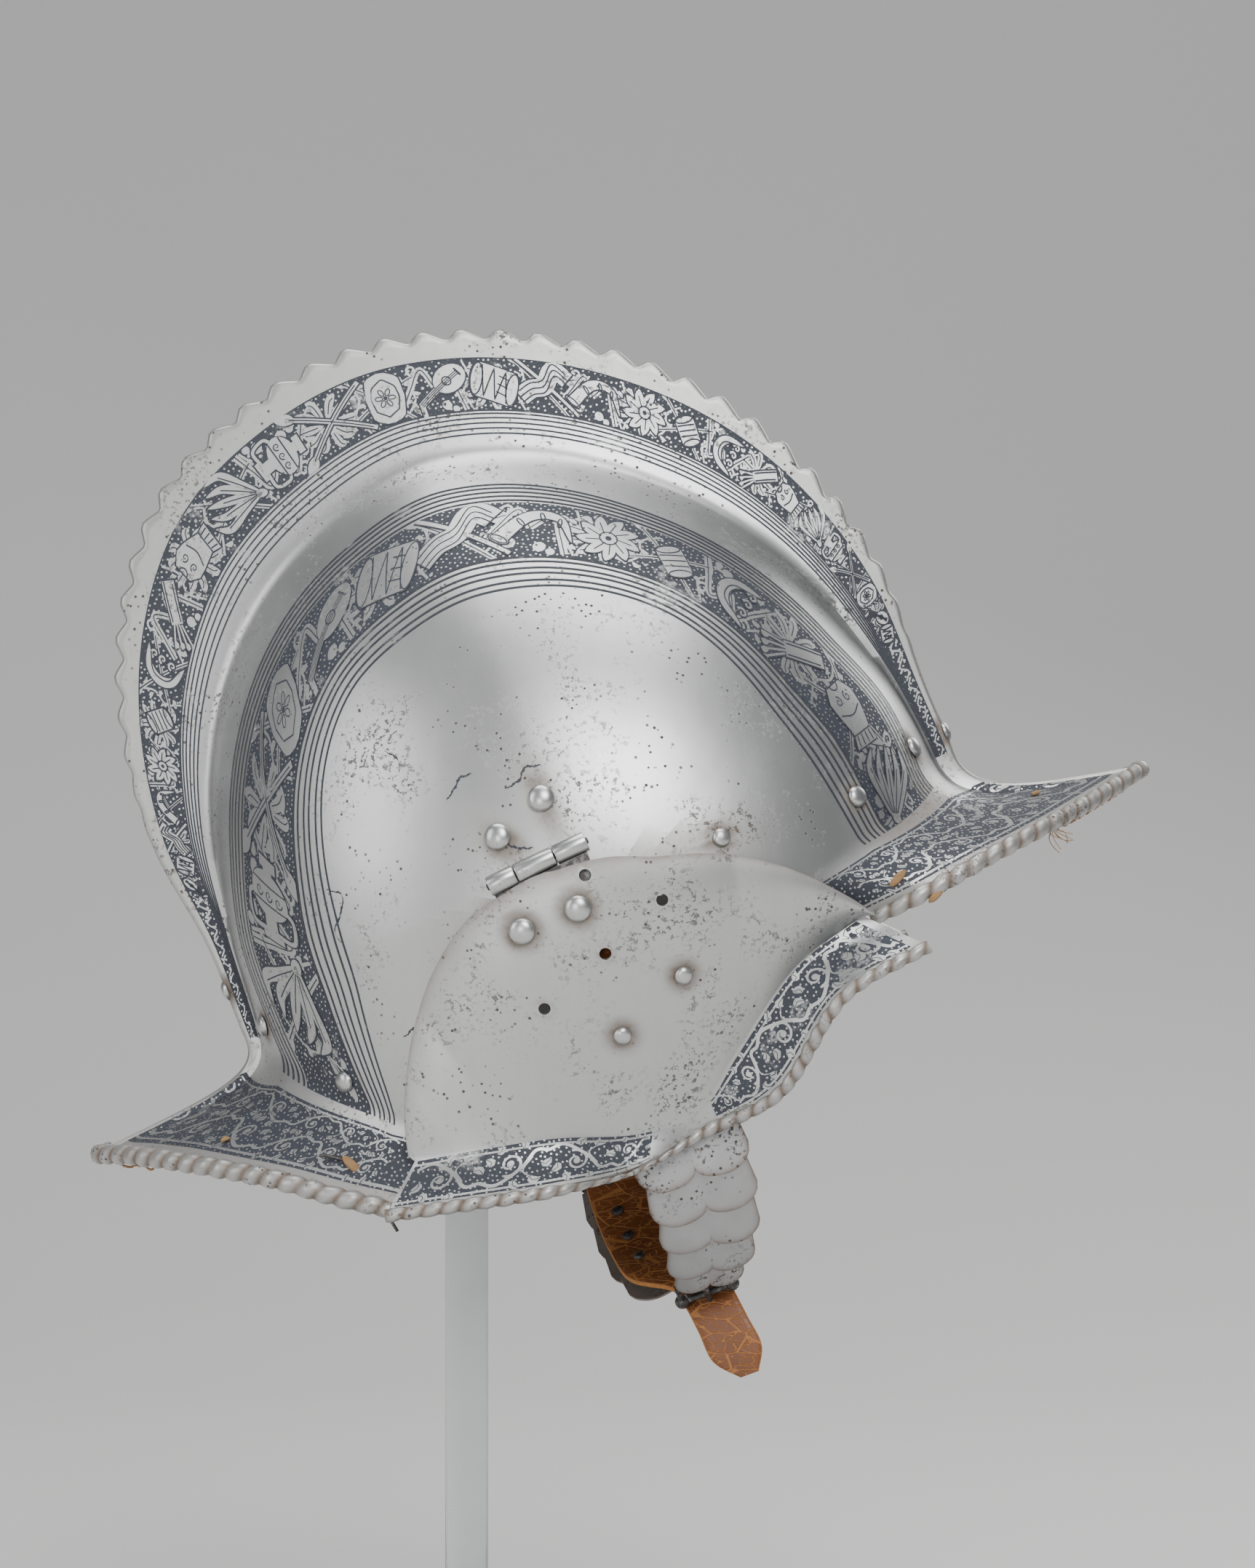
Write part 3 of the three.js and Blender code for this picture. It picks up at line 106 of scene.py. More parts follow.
# The skull's side view: a direction in degrees up from the front, then shares of each radius
SIDE_COLUMNS = ("deg", "comb", "bowl", "outer", "inner", "ear")
SIDE_VIEW = (
    (-24, 0.63, 0.81, 0.77, 0.6, 0.9),
    (-15, 0.632, 0.787, 0.753, 0.58, 0.725),
    (0, 0.632, 0.773, 0.733, 0.543, 0.48),
    (15, 0.65, 0.777, 0.743, 0.533, 0.292),
    (30, 0.72, 0.797, 0.747, 0.547, 0.215),
    (60, 0.868, 0.893, 0.823, 0.633, 0.165),
    (90, 0.985, 1.0, 0.93, 0.687, 0.155),
    (105, 1.0, 0.985, 0.92, 0.687, 0.165),
    (120, 0.968, 0.95, 0.887, 0.673, 0.187),
    (150, 0.756, 0.83, 0.787, 0.57, 0.298),
    (165, 0.65, 0.783, 0.76, 0.532, 0.42),
    (180, 0.622, 0.77, 0.737, 0.523, 0.555),
    (200, 0.63, 0.833, 0.745, 0.573, 0.787),
    (215, 0.64, 0.933, 0.787, 0.66, 1.01),
)
SIDE_SCALE = dict.fromkeys(SIDE_COLUMNS[1:], BOWL_RADIUS) | {"comb": COMB_RADIUS, "ear": EAR_REACH}

# Lines from the ear opening up to the comb's edge, where each leaves the bowl, and its bend there
LINES = ("ear", "inner", "outer", "cove", "band", "rim", "edge")
LINE_RULES = {
    "ear": {"front": -14, "rear": 213, "front_fillet": 3, "rear_fillet": 3},
    "inner": {"front": -5, "rear": 205, "front_fillet": 6, "rear_fillet": 7},
    "outer": {"front": 3.5, "rear": 184, "front_fillet": 17, "rear_fillet": 15},
    "cove": {"front": 3, "rear": 181.5, "front_fillet": 17, "rear_fillet": 14},
    "edge": {"front": 3, "rear": 181, "front_fillet": 16, "rear_fillet": 12.5},
}
COMB_SHARES = {"edge": 0.0, "rim": 0.18, "band": 0.64, "cove": 0.84}
FIRST_COMB_LINE = LINES.index("cove")

# How finely the plates and ropes are cut, and how finely their curves are measured
CELLS_BETWEEN_LINES = (9, 15, 10, 4, 8, 4)
CELLS_A_SCALLOP = 8
BRIM_CELLS = 24
ROPE_SIDES = 14
BRIM_ROPE_STEP = 0.85
CHEEK_ROPE_STEP = 0.8
EDGE_SAMPLES = 241
CROSSING_SAMPLES = 25
STRAP_SAMPLES = 161
ROOT_STEP = 0.004

# The brim's edge from the point back to the ear: shares of half length, drop and half width
FRONT_EDGE = ((1, 0, 0), (0.94, 0.13, 0.275), (0.863, 0.29, 0.52), (0.775, 0.42, 0.74))
FRONT_EDGE += ((0.673, 0.59, 0.91), (0.56, 0.83, 1), (0.44, 1, 0.965))
REAR_EDGE = ((1, 0, 0), (0.94, 0.07, 0.25), (0.865, 0.2, 0.47), (0.782, 0.362, 0.66))
REAR_EDGE += ((0.695, 0.55, 0.82), (0.608, 0.78, 0.94), (0.52, 1, 1))
BRIMS = {
    "front": {"direction": 1, "drop": 13.0, "half_width": 68.0, "rope": 2.7, "edge": FRONT_EDGE},
    "rear": {"direction": -1, "drop": 45.5, "half_width": 74.0, "rope": 3.1, "edge": REAR_EDGE},
}

# The cheekpiece's crease and lower edge from rear to front, as shares of its reach, depth and width
CHEEK_EDGE = (
    ((-0.86, 0.87, -0.54), (-1.01, 0.955, -0.735)),
    ((-0.64, 0.9, -0.595), (-0.74, 1.0, -0.82)),
    ((-0.4, 0.88, -0.67), (-0.46, 0.99, -0.905)),
    ((-0.13, 0.79, -0.8), (-0.19, 0.84, -0.965)),
    ((0.09, 0.74, -0.8), (0.08, 0.72, -0.905)),
    ((0.27, 0.77, -0.6), (0.36, 0.8, -0.845)),
    ((0.55, 0.83, -0.3), (0.66, 0.94, -0.51)),
    ((0.815, 0.81, -0.175), (0.985, 0.93, -0.42)),
)
CHIN_PLACE = 0.39
CHIN_SPREAD = 0.11
CHEEK_COLUMNS = 132
CHEEK_ROWS = 36
FLANGE_ROWS = 10
CHEEK_TOP_TURN = (213.5, -22.5)
CHEEK_BANDS = ((0.015, 0.46), (0.6, 0.985))

# Rivets of the right side, in the side view, as shares of the bowl's radius
SKULL_RIVETS = (
    ("skull_rivet_1", 0.58, 0.16, "lining"),
    ("skull_rivet_2", 0.733, 0.213, "lining"),
    ("skull_rivet_3", -0.617, -0.027, "lining"),
    ("skull_rivet_4", -0.748, 0.137, "lining"),
    ("skull_rivet_5", 0.287, 0.18, "strap"),
    ("hinge_rivet_1", -0.14, 0.34, "hinge"),
    ("hinge_rivet_2", -0.03, 0.383, "hinge"),
)
CHEEK_RIVETS = (
    ("cheek_rivet_1", -0.16, 0.143, "hinge"),
    ("cheek_rivet_2", -0.037, 0.147, "hinge"),
    ("cheek_rivet_3", 0.117, -0.057, "strap"),
    ("cheek_rivet_4", -0.043, -0.13, "strap"),
)
RIDGE_RIVETS = (("front_ridge_rivet", 6, 1), ("rear_ridge_rivet", 173, -1))
BREATH_HOLES = ((0.13, 0.103), (-0.017, 0.04), (-0.173, -0.023), (0.0, 0.205))
HINGE_PLACE = (-12.5, 39.0)
KNUCKLES = {"upper": ((0.0, 0.27), (0.68, 1.0)), "lower": ((0.28, 0.67),)}

# The straps: seats under the cheekpiece (x, z as shares of the bowl's radius, and the depth),
# then points below it (x and y as shares of the hang, z of the drop, half width)
STRAP_SEATS = {
    "right": ((0.037, 0.035, 5.2), (0.037, -0.095, 5.2), (0.027, -0.225, 8), (0.02, -0.32, 10.4)),
    "left": ((0.04, 0.035, 5.2), (0.035, -0.09, 5.2), (-0.035, -0.225, 7.4), (-0.11, -0.32, 8.2)),
}
STRAP_POINTS = {
    "right": (
        (0, -0.868, -0.595, 0.97),
        (-0.02, -0.72, -0.725, 0.92),
        (-0.08, -0.5, -0.845, 0.78),
        (-0.15, -0.27, -0.932, 0.62),
    ),
    "left": (
        (-0.335, 0.9, -0.575, 1),
        (-0.35, 0.76, -0.7, 1),
        (-0.33, 0.5, -0.815, 1),
        (-0.275, 0.24, -0.89, 1),
        (-0.2, 0.06, -0.948, 0.56),
        (-0.17, -0.095, -1.003, 0.53),
    ),
}
TAIL_POINTS = ((-0.15, -0.15, 0.35, 0.53), (-0.132, -0.18, 0.72, 0.53), (-0.11, -0.19, 1, 0.2))
SCALE_HALVES = {"right": (0.62, 0.78, 0.88, 0.95, 1, 1), "left": (0.95, 1, 1, 1, 1, 1)}
SCALE_START = {"right": 3.5, "left": 6.0}
SCALE_GAPS = {"right": 5.0, "left": 3.5}


def length_prop(name, description, default):
    return bpy.props.FloatProperty(
        name=name, description=description, default=default, unit="LENGTH", precision=5
    )


def colour_prop(name, description, default):
    return bpy.props.FloatVectorProperty(
        name=name, description=description, default=default, subtype="COLOR", size=3, min=0.0, max=1.0
    )


class MorionSizes(bpy.types.PropertyGroup):
    rope_pitch: length_prop("Rope pitch", "Length of one twist of the brim's rope", 0.0068)
    hair_line: length_prop("Hair line", "Width of the finest etched line", 0.00050)
    guard_line: length_prop("Guard line", "Width of the lines that run beside the bands", 0.00066)
    stipple_pitch: length_prop("Stipple pitch", "Least distance between two dots of the ground", 0.00135)
    stipple_radius: length_prop("Stipple radius", "Radius of a dot of the ground", 0.00036)
    etch_lift: length_prop("Etch lift", "Height of the etched ground over the plate", 0.00009)
    layer_lift: length_prop("Layer lift", "Height of one layer of the figures over the ground", 0.00004)
    strap_spot: length_prop("Strap spot", "Radius of a rivet end inside the strap", 0.002)
    stand_bevel: length_prop("Stand bevel", "Polished chamfer of the stand's edges", 0.0009)


class MorionColours(bpy.types.PropertyGroup):
    steel: colour_prop("Steel", "Polished plate", (0.57, 0.58, 0.57))
    scale_steel: colour_prop("Scale steel", "The strap's scales", (0.50, 0.505, 0.51))
    pits: colour_prop("Pits", "Old pitting in the plate", (0.07, 0.065, 0.06))
    # Also the colour of the painted shade along the scales' edges.
    rust_and_shade: colour_prop("Rust", "Brown patina round rivets and edges", (0.13, 0.085, 0.052))
    etch: colour_prop("Etching", "Blackened etched ground", (0.03, 0.035, 0.048))
    leather: colour_prop("Leather", "The chin strap", (0.20, 0.065, 0.017))
    leather_edge: colour_prop("Leather edge", "Raw edge of the strap", (0.58, 0.25, 0.065))
    iron: colour_prop("Iron", "Buckle and rivet ends", (0.075, 0.07, 0.065))
    lining: colour_prop("Lining", "Remains of the lining's leather and thread", (0.34, 0.20, 0.09))
    acrylic: colour_prop("Acrylic", "The stand", (0.78, 0.82, 0.81))
    felt: colour_prop("Felt", "Pad on the post", (0.16, 0.155, 0.15))
    floor: colour_prop("Floor", "The studio's floor", (0.72, 0.71, 0.70))


def sizes():
    return bpy.context.scene.morion_sizes


def colours():
    return bpy.context.scene.morion_colours


# Curves and grids


def smooth(knots, values):
    """A smooth curve through values at rising knots, straight beyond both ends."""
    knots = np.asarray(knots, float)
    values = np.asarray(values, float)
    last = len(knots) - 1
    before = np.maximum(np.arange(last + 1) - 1, 0)
    after = np.minimum(np.arange(last + 1) + 1, last)
    slopes = ((values[after] - values[before]).T / (knots[after] - knots[before])).T

    def curve(x):
        x = np.asarray(x, float)
        i = np.clip(np.searchsorted(knots, x, side="right") - 1, 0, last - 1)
        h = knots[i + 1] - knots[i]
        t = (x - knots[i]) / h
        if values.ndim > 1:
            h = h[..., None]
            t = t[..., None]
        inside = np.clip(t, 0, 1)
        rise = values[i + 1] - values[i]
        bend = (1 - inside) * (slopes[i] * h - rise) - inside * (slopes[i + 1] * h - rise)
        beyond = np.minimum(t, 0) * h * slopes[i] + np.maximum(t - 1, 0) * h * slopes[i + 1]
        return values[i] + inside * rise + inside * (1 - inside) * bend + beyond

    return curve


def route(points):
    return smooth(np.linspace(0, 1, len(points)), points)


def unit(vectors):
    return vectors / np.maximum(np.linalg.norm(vectors, axis=-1, keepdims=True), 1e-12)


def lengths(points):
    steps = np.linalg.norm(np.diff(points, axis=-2), axis=-1)
    return np.concatenate([np.zeros(steps.shape[:-1] + (1,)), np.cumsum(steps, axis=-1)], axis=-1)


def resample(points, count):
    along = lengths(points)
    goal = np.linspace(0, along[-1], count + 1)
    return np.stack([np.interp(goal, along, points[:, axis]) for axis in range(points.shape[1])], axis=1)


def mirrored(points):
    return points * np.array([1.0, -1.0, 1.0])


def grid_normals(grid, outwards):
    """Unit normals of a grid of points, all turned to the side that outwards names at its middle."""
    across = np.gradient(grid, axis=0)
    along = np.gradient(grid, axis=1)
    normals = unit(np.cross(across, along))
    middle = normals[grid.shape[0] // 2, grid.shape[1] // 2]
    return normals if np.dot(middle, outwards) > 0 else -normals


def grid_faces(rows, columns, first=0, turned=False):
    """Four-sided faces of a grid whose points are counted along its columns, row by row."""
    corner = (first + np.arange(rows - 1)[:, None] * columns + np.arange(columns - 1)[None, :]).ravel()
    faces = np.stack([corner, corner + 1, corner + columns + 1, corner + columns], axis=1)
    return faces[:, ::-1] if turned else faces


def in_frame(points):
    """Level millimetres of the helmet as metres of the frame."""
    x, y, z = points[..., 0], points[..., 1], points[..., 2]
    turned = (
        HELMET_PLACE[0] + x * math.cos(TILT) - z * math.sin(TILT),
        HELMET_PLACE[1] + y,
        HELMET_PLACE[2] + x * math.sin(TILT) + z * math.cos(TILT),
    )
    return np.stack(turned, axis=-1) * MM


# The skull's surface

SIDE_ROWS = np.array(SIDE_VIEW, float)
SIDE_CURVES = {name: smooth(SIDE_ROWS[:, 0], SIDE_ROWS[:, i]) for i, name in enumerate(SIDE_COLUMNS) if i}


def side_radius(name, deg):
    return SIDE_CURVES[name](deg) * SIDE_SCALE[name]


def anchor_radius(name, deg):
    if name in COMB_SHARES:
        comb = side_radius("comb", deg)
        return comb + (side_radius("bowl", deg) - comb) * COMB_SHARES[name]
    return side_radius(name, deg) - (EAR_OVERLAP if name == "ear" else 0)


def half_width(radius, deg):
    """Half the skull's width at a radius and direction: a thin flared comb that runs into the bowl."""
    comb = side_radius("comb", deg)
    bowl = side_radius("bowl", deg)
    steep = np.where((deg > 0) & (deg < 180), np.sin(np.radians(deg)) ** 2, 0)
    inside = 1 - (radius / bowl) ** 2
    bowl_width = BOWL_HALF_WIDTH * np.sign(inside) * np.abs(inside) ** (0.5 + 0.25 * steep)
    comb_width = COMB_RIM_HALF_THICKNESS + COMB_FLARE * (comb - radius)
    fillet = 1.5 + 0.2 * (comb - bowl)
    return 0.5 * (comb_width + bowl_width + np.hypot(comb_width - bowl_width, fillet))


def on_side(radius, deg):
    turn = np.radians(deg)
    return np.stack(
        [radius * np.cos(turn), -half_width(radius, deg), EAR_HEIGHT + radius * np.sin(turn)], axis=-1
    )


def column_rule(column, key):
    i = min(int(column), len(LINES) - 2)
    a, b = (LINE_RULES.get(name, LINE_RULES["edge"])[key] for name in LINES[i : i + 2])
    return a + (b - a) * (column - i)


def column_radius(column, deg):
    i = min(int(column), len(LINES) - 2)
    share = column - i
    a = anchor_radius(LINES[i], deg)
    b = anchor_radius(LINES[i + 1], deg)
    if i >= FIRST_COMB_LINE:
        return a + (b - a) * share
    radii = a[:, None] + (b - a)[:, None] * np.linspace(0, 1, CROSSING_SAMPLES)
    along = lengths(on_side(radii, deg[:, None] + np.zeros(CROSSING_SAMPLES)))
    return np.array([np.interp(share * row[-1], row, r) for row, r in zip(along, radii)])


EDGE_TURN = np.linspace(LINE_RULES["edge"]["front"], LINE_RULES["edge"]["rear"], EDGE_SAMPLES)
EDGE_ALONG = lengths(on_side(anchor_radius("edge", EDGE_TURN), EDGE_TURN))
SCALLOP_COUNT = 2 * round(EDGE_ALONG[-1] / SCALLOP_PITCH / 2)


def even_share(share):
    return np.interp(share, EDGE_ALONG / EDGE_ALONG[-1], np.linspace(0, 1, EDGE_SAMPLES))


def dome_line(column, shares, scallops=0.0):
    """A line over the bowl or the comb, with its share of the comb's scallops."""
    front = column_rule(column, "front")
    deg = front + (column_rule(column, "rear") - front) * even_share(shares)
    phase = 2 * np.pi * shares * SCALLOP_COUNT
    first, last = SCALLOP_ENDS
    fade = np.clip(SCALLOP_FADE * np.minimum(shares - first, last - shares), 0, 1)
    wave = scallops * SCALLOP_DEPTH * fade * (np.cos(phase) + SCALLOP_RIPPLE * np.sin(2 * phase))
    return on_side(column_radius(column, deg) + wave, deg)


def brim_curve(brim):
    rows = np.array(brim["edge"], float)
    right = np.stack(
        [
            brim["direction"] * rows[:, 0] * BRIM_HALF_LENGTH,
            -rows[:, 2] * brim["half_width"],
            -rows[:, 1] * brim["drop"],
        ],
        axis=1,
    )
    return route(np.concatenate([right[::-1], mirrored(right[1:])]))


LINE_STEPS = [np.linspace(i, i + 1, cells + 1) for i, cells in enumerate(CELLS_BETWEEN_LINES)]
COLUMNS = np.unique(np.concatenate(LINE_STEPS).round(9))
DOME_SHARES = np.linspace(0, 1, CELLS_A_SCALLOP * SCALLOP_COUNT + 1)


def brim_lines(name):
    """Lines of the right half of a brim, one for each column, from the bowl out to the rope."""
    brim = BRIMS[name]
    start = 0.0 if name == "front" else 1.0
    ends = np.array([start, abs(start - ROOT_STEP)])
    pairs = np.array([dome_line(column, ends) for column in COLUMNS])
    roots = pairs[:, 0]
    fillets = np.array([column_rule(column, name + "_fillet") for column in COLUMNS])
    corners = roots + unit(roots - pairs[:, 1]) * fillets[:, None]
    along = lengths(roots)
    ropes = brim_curve(brim)(0.5 * along / along[-1])
    edges = ropes + unit(corners - ropes) * 0.8 * brim["rope"]
    flats = corners + (edges - corners) * 0.3
    t = np.linspace(0, 1, BRIM_CELLS + 1)[None, 1:, None]
    return (
        (1 - t) ** 3 * roots[:, None]
        + 3 * (1 - t) ** 2 * t * corners[:, None]
        + 3 * (1 - t) * t**2 * flats[:, None]
        + t**3 * edges[:, None]
    )


def skull_grid():
    """The right side of the skull: one row for each column, from the front brim over to the rear one."""
    scallop = np.clip(COLUMNS - LINES.index("rim"), 0, 1) ** 2
    dome = np.array([dome_line(c, DOME_SHARES, s) for c, s in zip(COLUMNS, scallop)])
    return np.concatenate([brim_lines("front")[:, ::-1], dome, brim_lines("rear")], axis=1)


SKULL = skull_grid()
SKULL_NORMALS = grid_normals(SKULL, (0, -1, 0))


def turn_of(x, z):
    angle = np.degrees(np.arctan2(z, x))
    return np.where(angle < -90, angle + 360, angle)


def skull_seat(x, z):
    """Place and outward normal of the skull's right side where the side view shows x and z."""

    def width(u, w):
        return half_width(np.hypot(u, w - EAR_HEIGHT), turn_of(u, w - EAR_HEIGHT))

    x = np.asarray(x, float)
    z = np.asarray(z, float)
    slope_x = width(x + 0.5, z) - width(x - 0.5, z)
    slope_z = width(x, z + 0.5) - width(x, z - 0.5)
    normal = unit(np.stack([-slope_x, -np.ones_like(x), -slope_z], axis=-1))
    return np.stack([x, -width(x, z), z], axis=-1), normal


def grid_seat(grid, normals, x, z):
    """The same for any grid: the nearest point of the side view, moved to x and z along the facet."""
    flat = grid.reshape(-1, 3)
    i = np.argmin(np.hypot(flat[:, 0] - x, flat[:, 2] - z))
    place = flat[i].copy()
    normal = normals.reshape(-1, 3)[i]
    place[1] -= (normal[0] * (x - place[0]) + normal[2] * (z - place[2])) / normal[1]
    place[0] = x
    place[2] = z
    return place, normal


# The cheekpiece's surface


def cheek_tops():
    """The cheekpiece's upper edge, just outside the skull and clear of the ropes at both ends."""
    rear, front = CHEEK_TOP_TURN
    t = np.linspace(0, 1, EDGE_SAMPLES)
    near_end = np.maximum(0, 1 - 10 * np.minimum(t, 1 - t))
    lift = CHEEK_THICKNESS + PLATE_CLEARANCE + 1.6 * near_end * BRIMS["rear"]["rope"]
    deg = rear + (front - rear) * t
    radius = side_radius("ear", deg)
    turn = np.radians(deg)
    place, normal = skull_seat(radius * np.cos(turn), EAR_HEIGHT + radius * np.sin(turn))
    return resample(place + normal * lift[:, None], CHEEK_COLUMNS)


CHEEK_SHAPE = np.array(CHEEK_EDGE, float) * np.array([CHEEK_REACH, -CHEEK_HALF_WIDTH, CHEEK_DEPTH])
CHEEK_CREASE = route(CHEEK_SHAPE[:, 0])
CHEEK_ROPE = route(CHEEK_SHAPE[:, 1])


def cheek_grid():
    """The right cheekpiece: one row for each column from rear to front, from its top to the rope."""
    u = np.linspace(0, 1, CHEEK_COLUMNS + 1)
    top = cheek_tops()
    crease = CHEEK_CREASE(u)
    edge = CHEEK_ROPE(u)
    beyond = top - crease
    beyond[:, 1] = 0
    beyond = 2 * unit(beyond)
    low, _ = skull_seat(top[:, 0], top[:, 2])
    high, _ = skull_seat(top[:, 0] + beyond[:, 0], top[:, 2] + beyond[:, 2])
    span = np.hypot(top[:, 0] - crease[:, 0], top[:, 2] - crease[:, 2])
    top_slope = (low[:, 1] - high[:, 1]) / 2 * span
    rise = crease[:, 1] - top[:, 1]
    t = np.linspace(0, 1, CHEEK_ROWS + 1)[None, :]
    plate = top[:, None] + (crease - top)[:, None] * t[..., None]
    bend = (1 - t) * (top_slope - rise)[:, None] - t * (0.6 * rise)[:, None]
    plate[..., 1] = top[:, 1:2] + t * rise[:, None] + t * (1 - t) * bend
    rope = edge + unit(crease - edge) * 0.8 * CHEEK_ROPE_RADIUS
    middle = crease + (rope - crease) * 0.5
    steep = np.minimum(1, np.abs(edge[:, 1] - crease[:, 1]) / 8)
    middle[:, 1] += 0.24 * np.linalg.norm(crease - rope, axis=1) * steep
    s = np.linspace(0, 1, FLANGE_ROWS + 1)[None, 1:, None]
    flange = (1 - s) ** 2 * crease[:, None] + 2 * s * (1 - s) * middle[:, None] + s**2 * rope[:, None]
    return np.concatenate([plate, flange], axis=1)


CHEEK = cheek_grid()
CHEEK_NORMALS = grid_normals(CHEEK, (0, -1, 0))


def cheek_seat(x, z):
    return grid_seat(CHEEK, CHEEK_NORMALS, x, z)


def chin_share(u):
    return np.exp(-(((u - CHIN_PLACE) / CHIN_SPREAD) ** 4))


# Meshes in the frame


def on_sides(points, faces, side):
    """A mesh of the right side as it is, mirrored to the left, or on both sides."""
    if side == "right":
        return points, faces
    twin = mirrored(points)
    turned = [tuple(reversed(face)) for face in faces]
    if side == "left":
        return twin, turned
    count = len(points)
    return np.concatenate([points, twin]), faces + [tuple(i + count for i in face) for face in turned]


def facing(points, faces, outwards, sample=0):
    """Faces turned so that the sample face looks outwards."""
    a, b, c = (points[i] for i in faces[sample][:3])
    return faces if np.dot(np.cross(b - a, c - a), outwards) > 0 else [face[::-1] for face in faces]


def new_piece(name, points, faces, finishes, slot, kinds=None, marks=None, sharp=55, side="right"):
    """A piece from level millimetres. A kind tells which of its finishes a face has."""
    points, faces = on_sides(points, faces, side)
    mesh = bpy.data.meshes.new(name)
    mesh.from_pydata(in_frame(points).tolist(), [], [tuple(map(int, face)) for face in faces])
    for finish in finishes.split():
        mesh.materials.append(finish_of(finish))
    if kinds is not None:
        mesh.polygons.foreach_set("material_index", np.asarray(kinds, np.int32))
    for key, values in (marks or {}).items():
        mesh.attributes.new(key, "FLOAT", "POINT").data.foreach_set("value", np.asarray(values, np.float32))
    return finished(name, mesh, sharp)


def finished(name, mesh, sharp=55):
    mesh.shade_smooth()
    mesh.set_sharp_from_angle(angle=math.radians(sharp))
    piece = bare_object(name, mesh)
    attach(piece, BODY)
    return piece


def plate_faces(rows, columns):
    """Faces of a closed plate: an outer grid, an inner grid after it, and the four walls between."""
    count = rows * columns
    outer = grid_faces(rows, columns)
    inner = grid_faces(rows, columns, count, True)
    top = np.arange(columns)
    side = np.arange(rows) * columns
    walls = []
    for line, turned in (
        (top, False),
        (top + (rows - 1) * columns, True),
        (side, True),
        (side + columns - 1, False),
    ):
        a, b = line[:-1], line[1:]
        wall = np.stack([b, a, a + count, b + count], axis=1)
        walls.append(wall[:, ::-1] if turned else wall)
    return np.concatenate([outer, inner, *walls])


def sleeve_faces(rows, columns):
    """Four-sided faces round a sleeve whose rows are closed rings."""
    faces = []
    for i in range(rows - 1):
        for k in range(columns):
            a, b = i * columns + k, i * columns + (k + 1) % columns
            faces.append((a, a + columns, b + columns, b))
    return faces


def tube(centres, radii, sides, turn=None):
    """A closed tube round centres. Its radius is one number, or one a centre, or one a centre and side."""
    radii = np.asarray(radii, float)
    if radii.ndim < 2:
        radii = radii[..., None] * np.ones((len(centres), 1))
    tangent = unit(np.gradient(centres, axis=0))
    up = np.array([0.0, 0.0, 1.0]) if turn is None else turn
    across = unit(np.cross(tangent, up))
    out = np.cross(across, tangent)
    angle = np.linspace(0, 2 * np.pi, sides, endpoint=False)
    ring = across[:, None] * np.cos(angle)[None, :, None] + out[:, None] * np.sin(angle)[None, :, None]
    points = centres[:, None] + ring * radii[..., None]
    count = len(centres)
    faces = sleeve_faces(count, sides)
    flat = points.reshape(-1, 3)
    ends = np.stack([centres[0], centres[-1]])
    first = count * sides
    for k in range(sides):
        after = (k + 1) % sides
        faces.append((first, k, after))
        faces.append((first + 1, first - sides + after, first - sides + k))
    return np.concatenate([flat, ends]), faces


def rope_tube(centres, radius, pitch):
    """A twisted rope of a radius that may change along it, and the stain in its grooves."""
    along = lengths(centres)
    angle = np.linspace(0, 2 * np.pi, ROPE_SIDES, endpoint=False)
    twist = np.abs(np.sin(np.pi * along[:, None] / pitch - angle[None, :] / 2)) ** 0.7
    knock = 1 + 0.05 * np.sin(along * 0.9) * np.sin(along * 0.37 + 1)
    radii = radius[:, None] * (0.74 + 0.32 * twist) * knock[:, None]
    groove = np.minimum(1.1 * (1 - twist) ** 1.1 + 0.22, 1.0)
    return tube(centres, radii, ROPE_SIDES), np.concatenate([groove.ravel(), [0.3, 0.3]])


def merged(parts):
    """Several meshes as one, with a kind for each face."""
    points, faces, kinds, first = [], [], [], 0
    for kind, (part_points, part_faces) in parts:
        points.append(part_points)
        faces += [tuple(int(i) + first for i in face) for face in part_faces]
        kinds += [kind] * len(part_faces)
        first += len(part_points)
    return np.concatenate(points), faces, kinds


def joined(meshes):
    return merged([(0, mesh) for mesh in meshes])[:2]


# Every tree ends in real geometry with a finish on it
END_NODES = (
    ("start", "NodeGroupInput", {}, {}),
    ("end", "NodeGroupOutput", {}, {}),
    ("real", "GeometryNodeRealizeInstances", {}, {}),
    ("paint", "GeometryNodeSetMaterial", {}, {}),
)
END_LINKS = (
    ("real", "Geometry", "paint", "Geometry"),
    ("start", "Finish", "paint", "Material"),
    ("paint", "Geometry", "end", "Geometry"),
)


def node_geometry(name, inputs, nodes, links):
    """A Geometry Nodes tree from its inputs, its nodes and the links between their sockets."""
    tree = bpy.data.node_groups.new(name, "GeometryNodeTree")
    tree.interface.new_socket("Geometry", in_out="OUTPUT", socket_type="NodeSocketGeometry")
    for label, kind in {"Geometry": "Geometry", **inputs, "Finish": "Material"}.items():
        tree.interface.new_socket(label, in_out="INPUT", socket_type="NodeSocket" + kind)
    made = {}
    for key, kind, settings, values in (*END_NODES, *nodes):
        made[key] = tree.nodes.new(kind)
        for setting, value in settings.items():
            setattr(made[key], setting, value)
        for socket, value in values.items():
            made[key].inputs[socket].default_value = value
    for source, output, sink, socket in (*links, *END_LINKS):
        tree.links.new(made[source].outputs[output], made[sink].inputs[socket])
    return tree


def modified_mesh(source, modifier):
    """The mesh that a modifier makes of an object, which then loses the modifier."""
    bpy.context.view_layer.update()
    evaluated = source.evaluated_get(bpy.context.evaluated_depsgraph_get())
    mesh = bpy.data.meshes.new_from_object(evaluated)
    source.modifiers.remove(modifier)
    return mesh


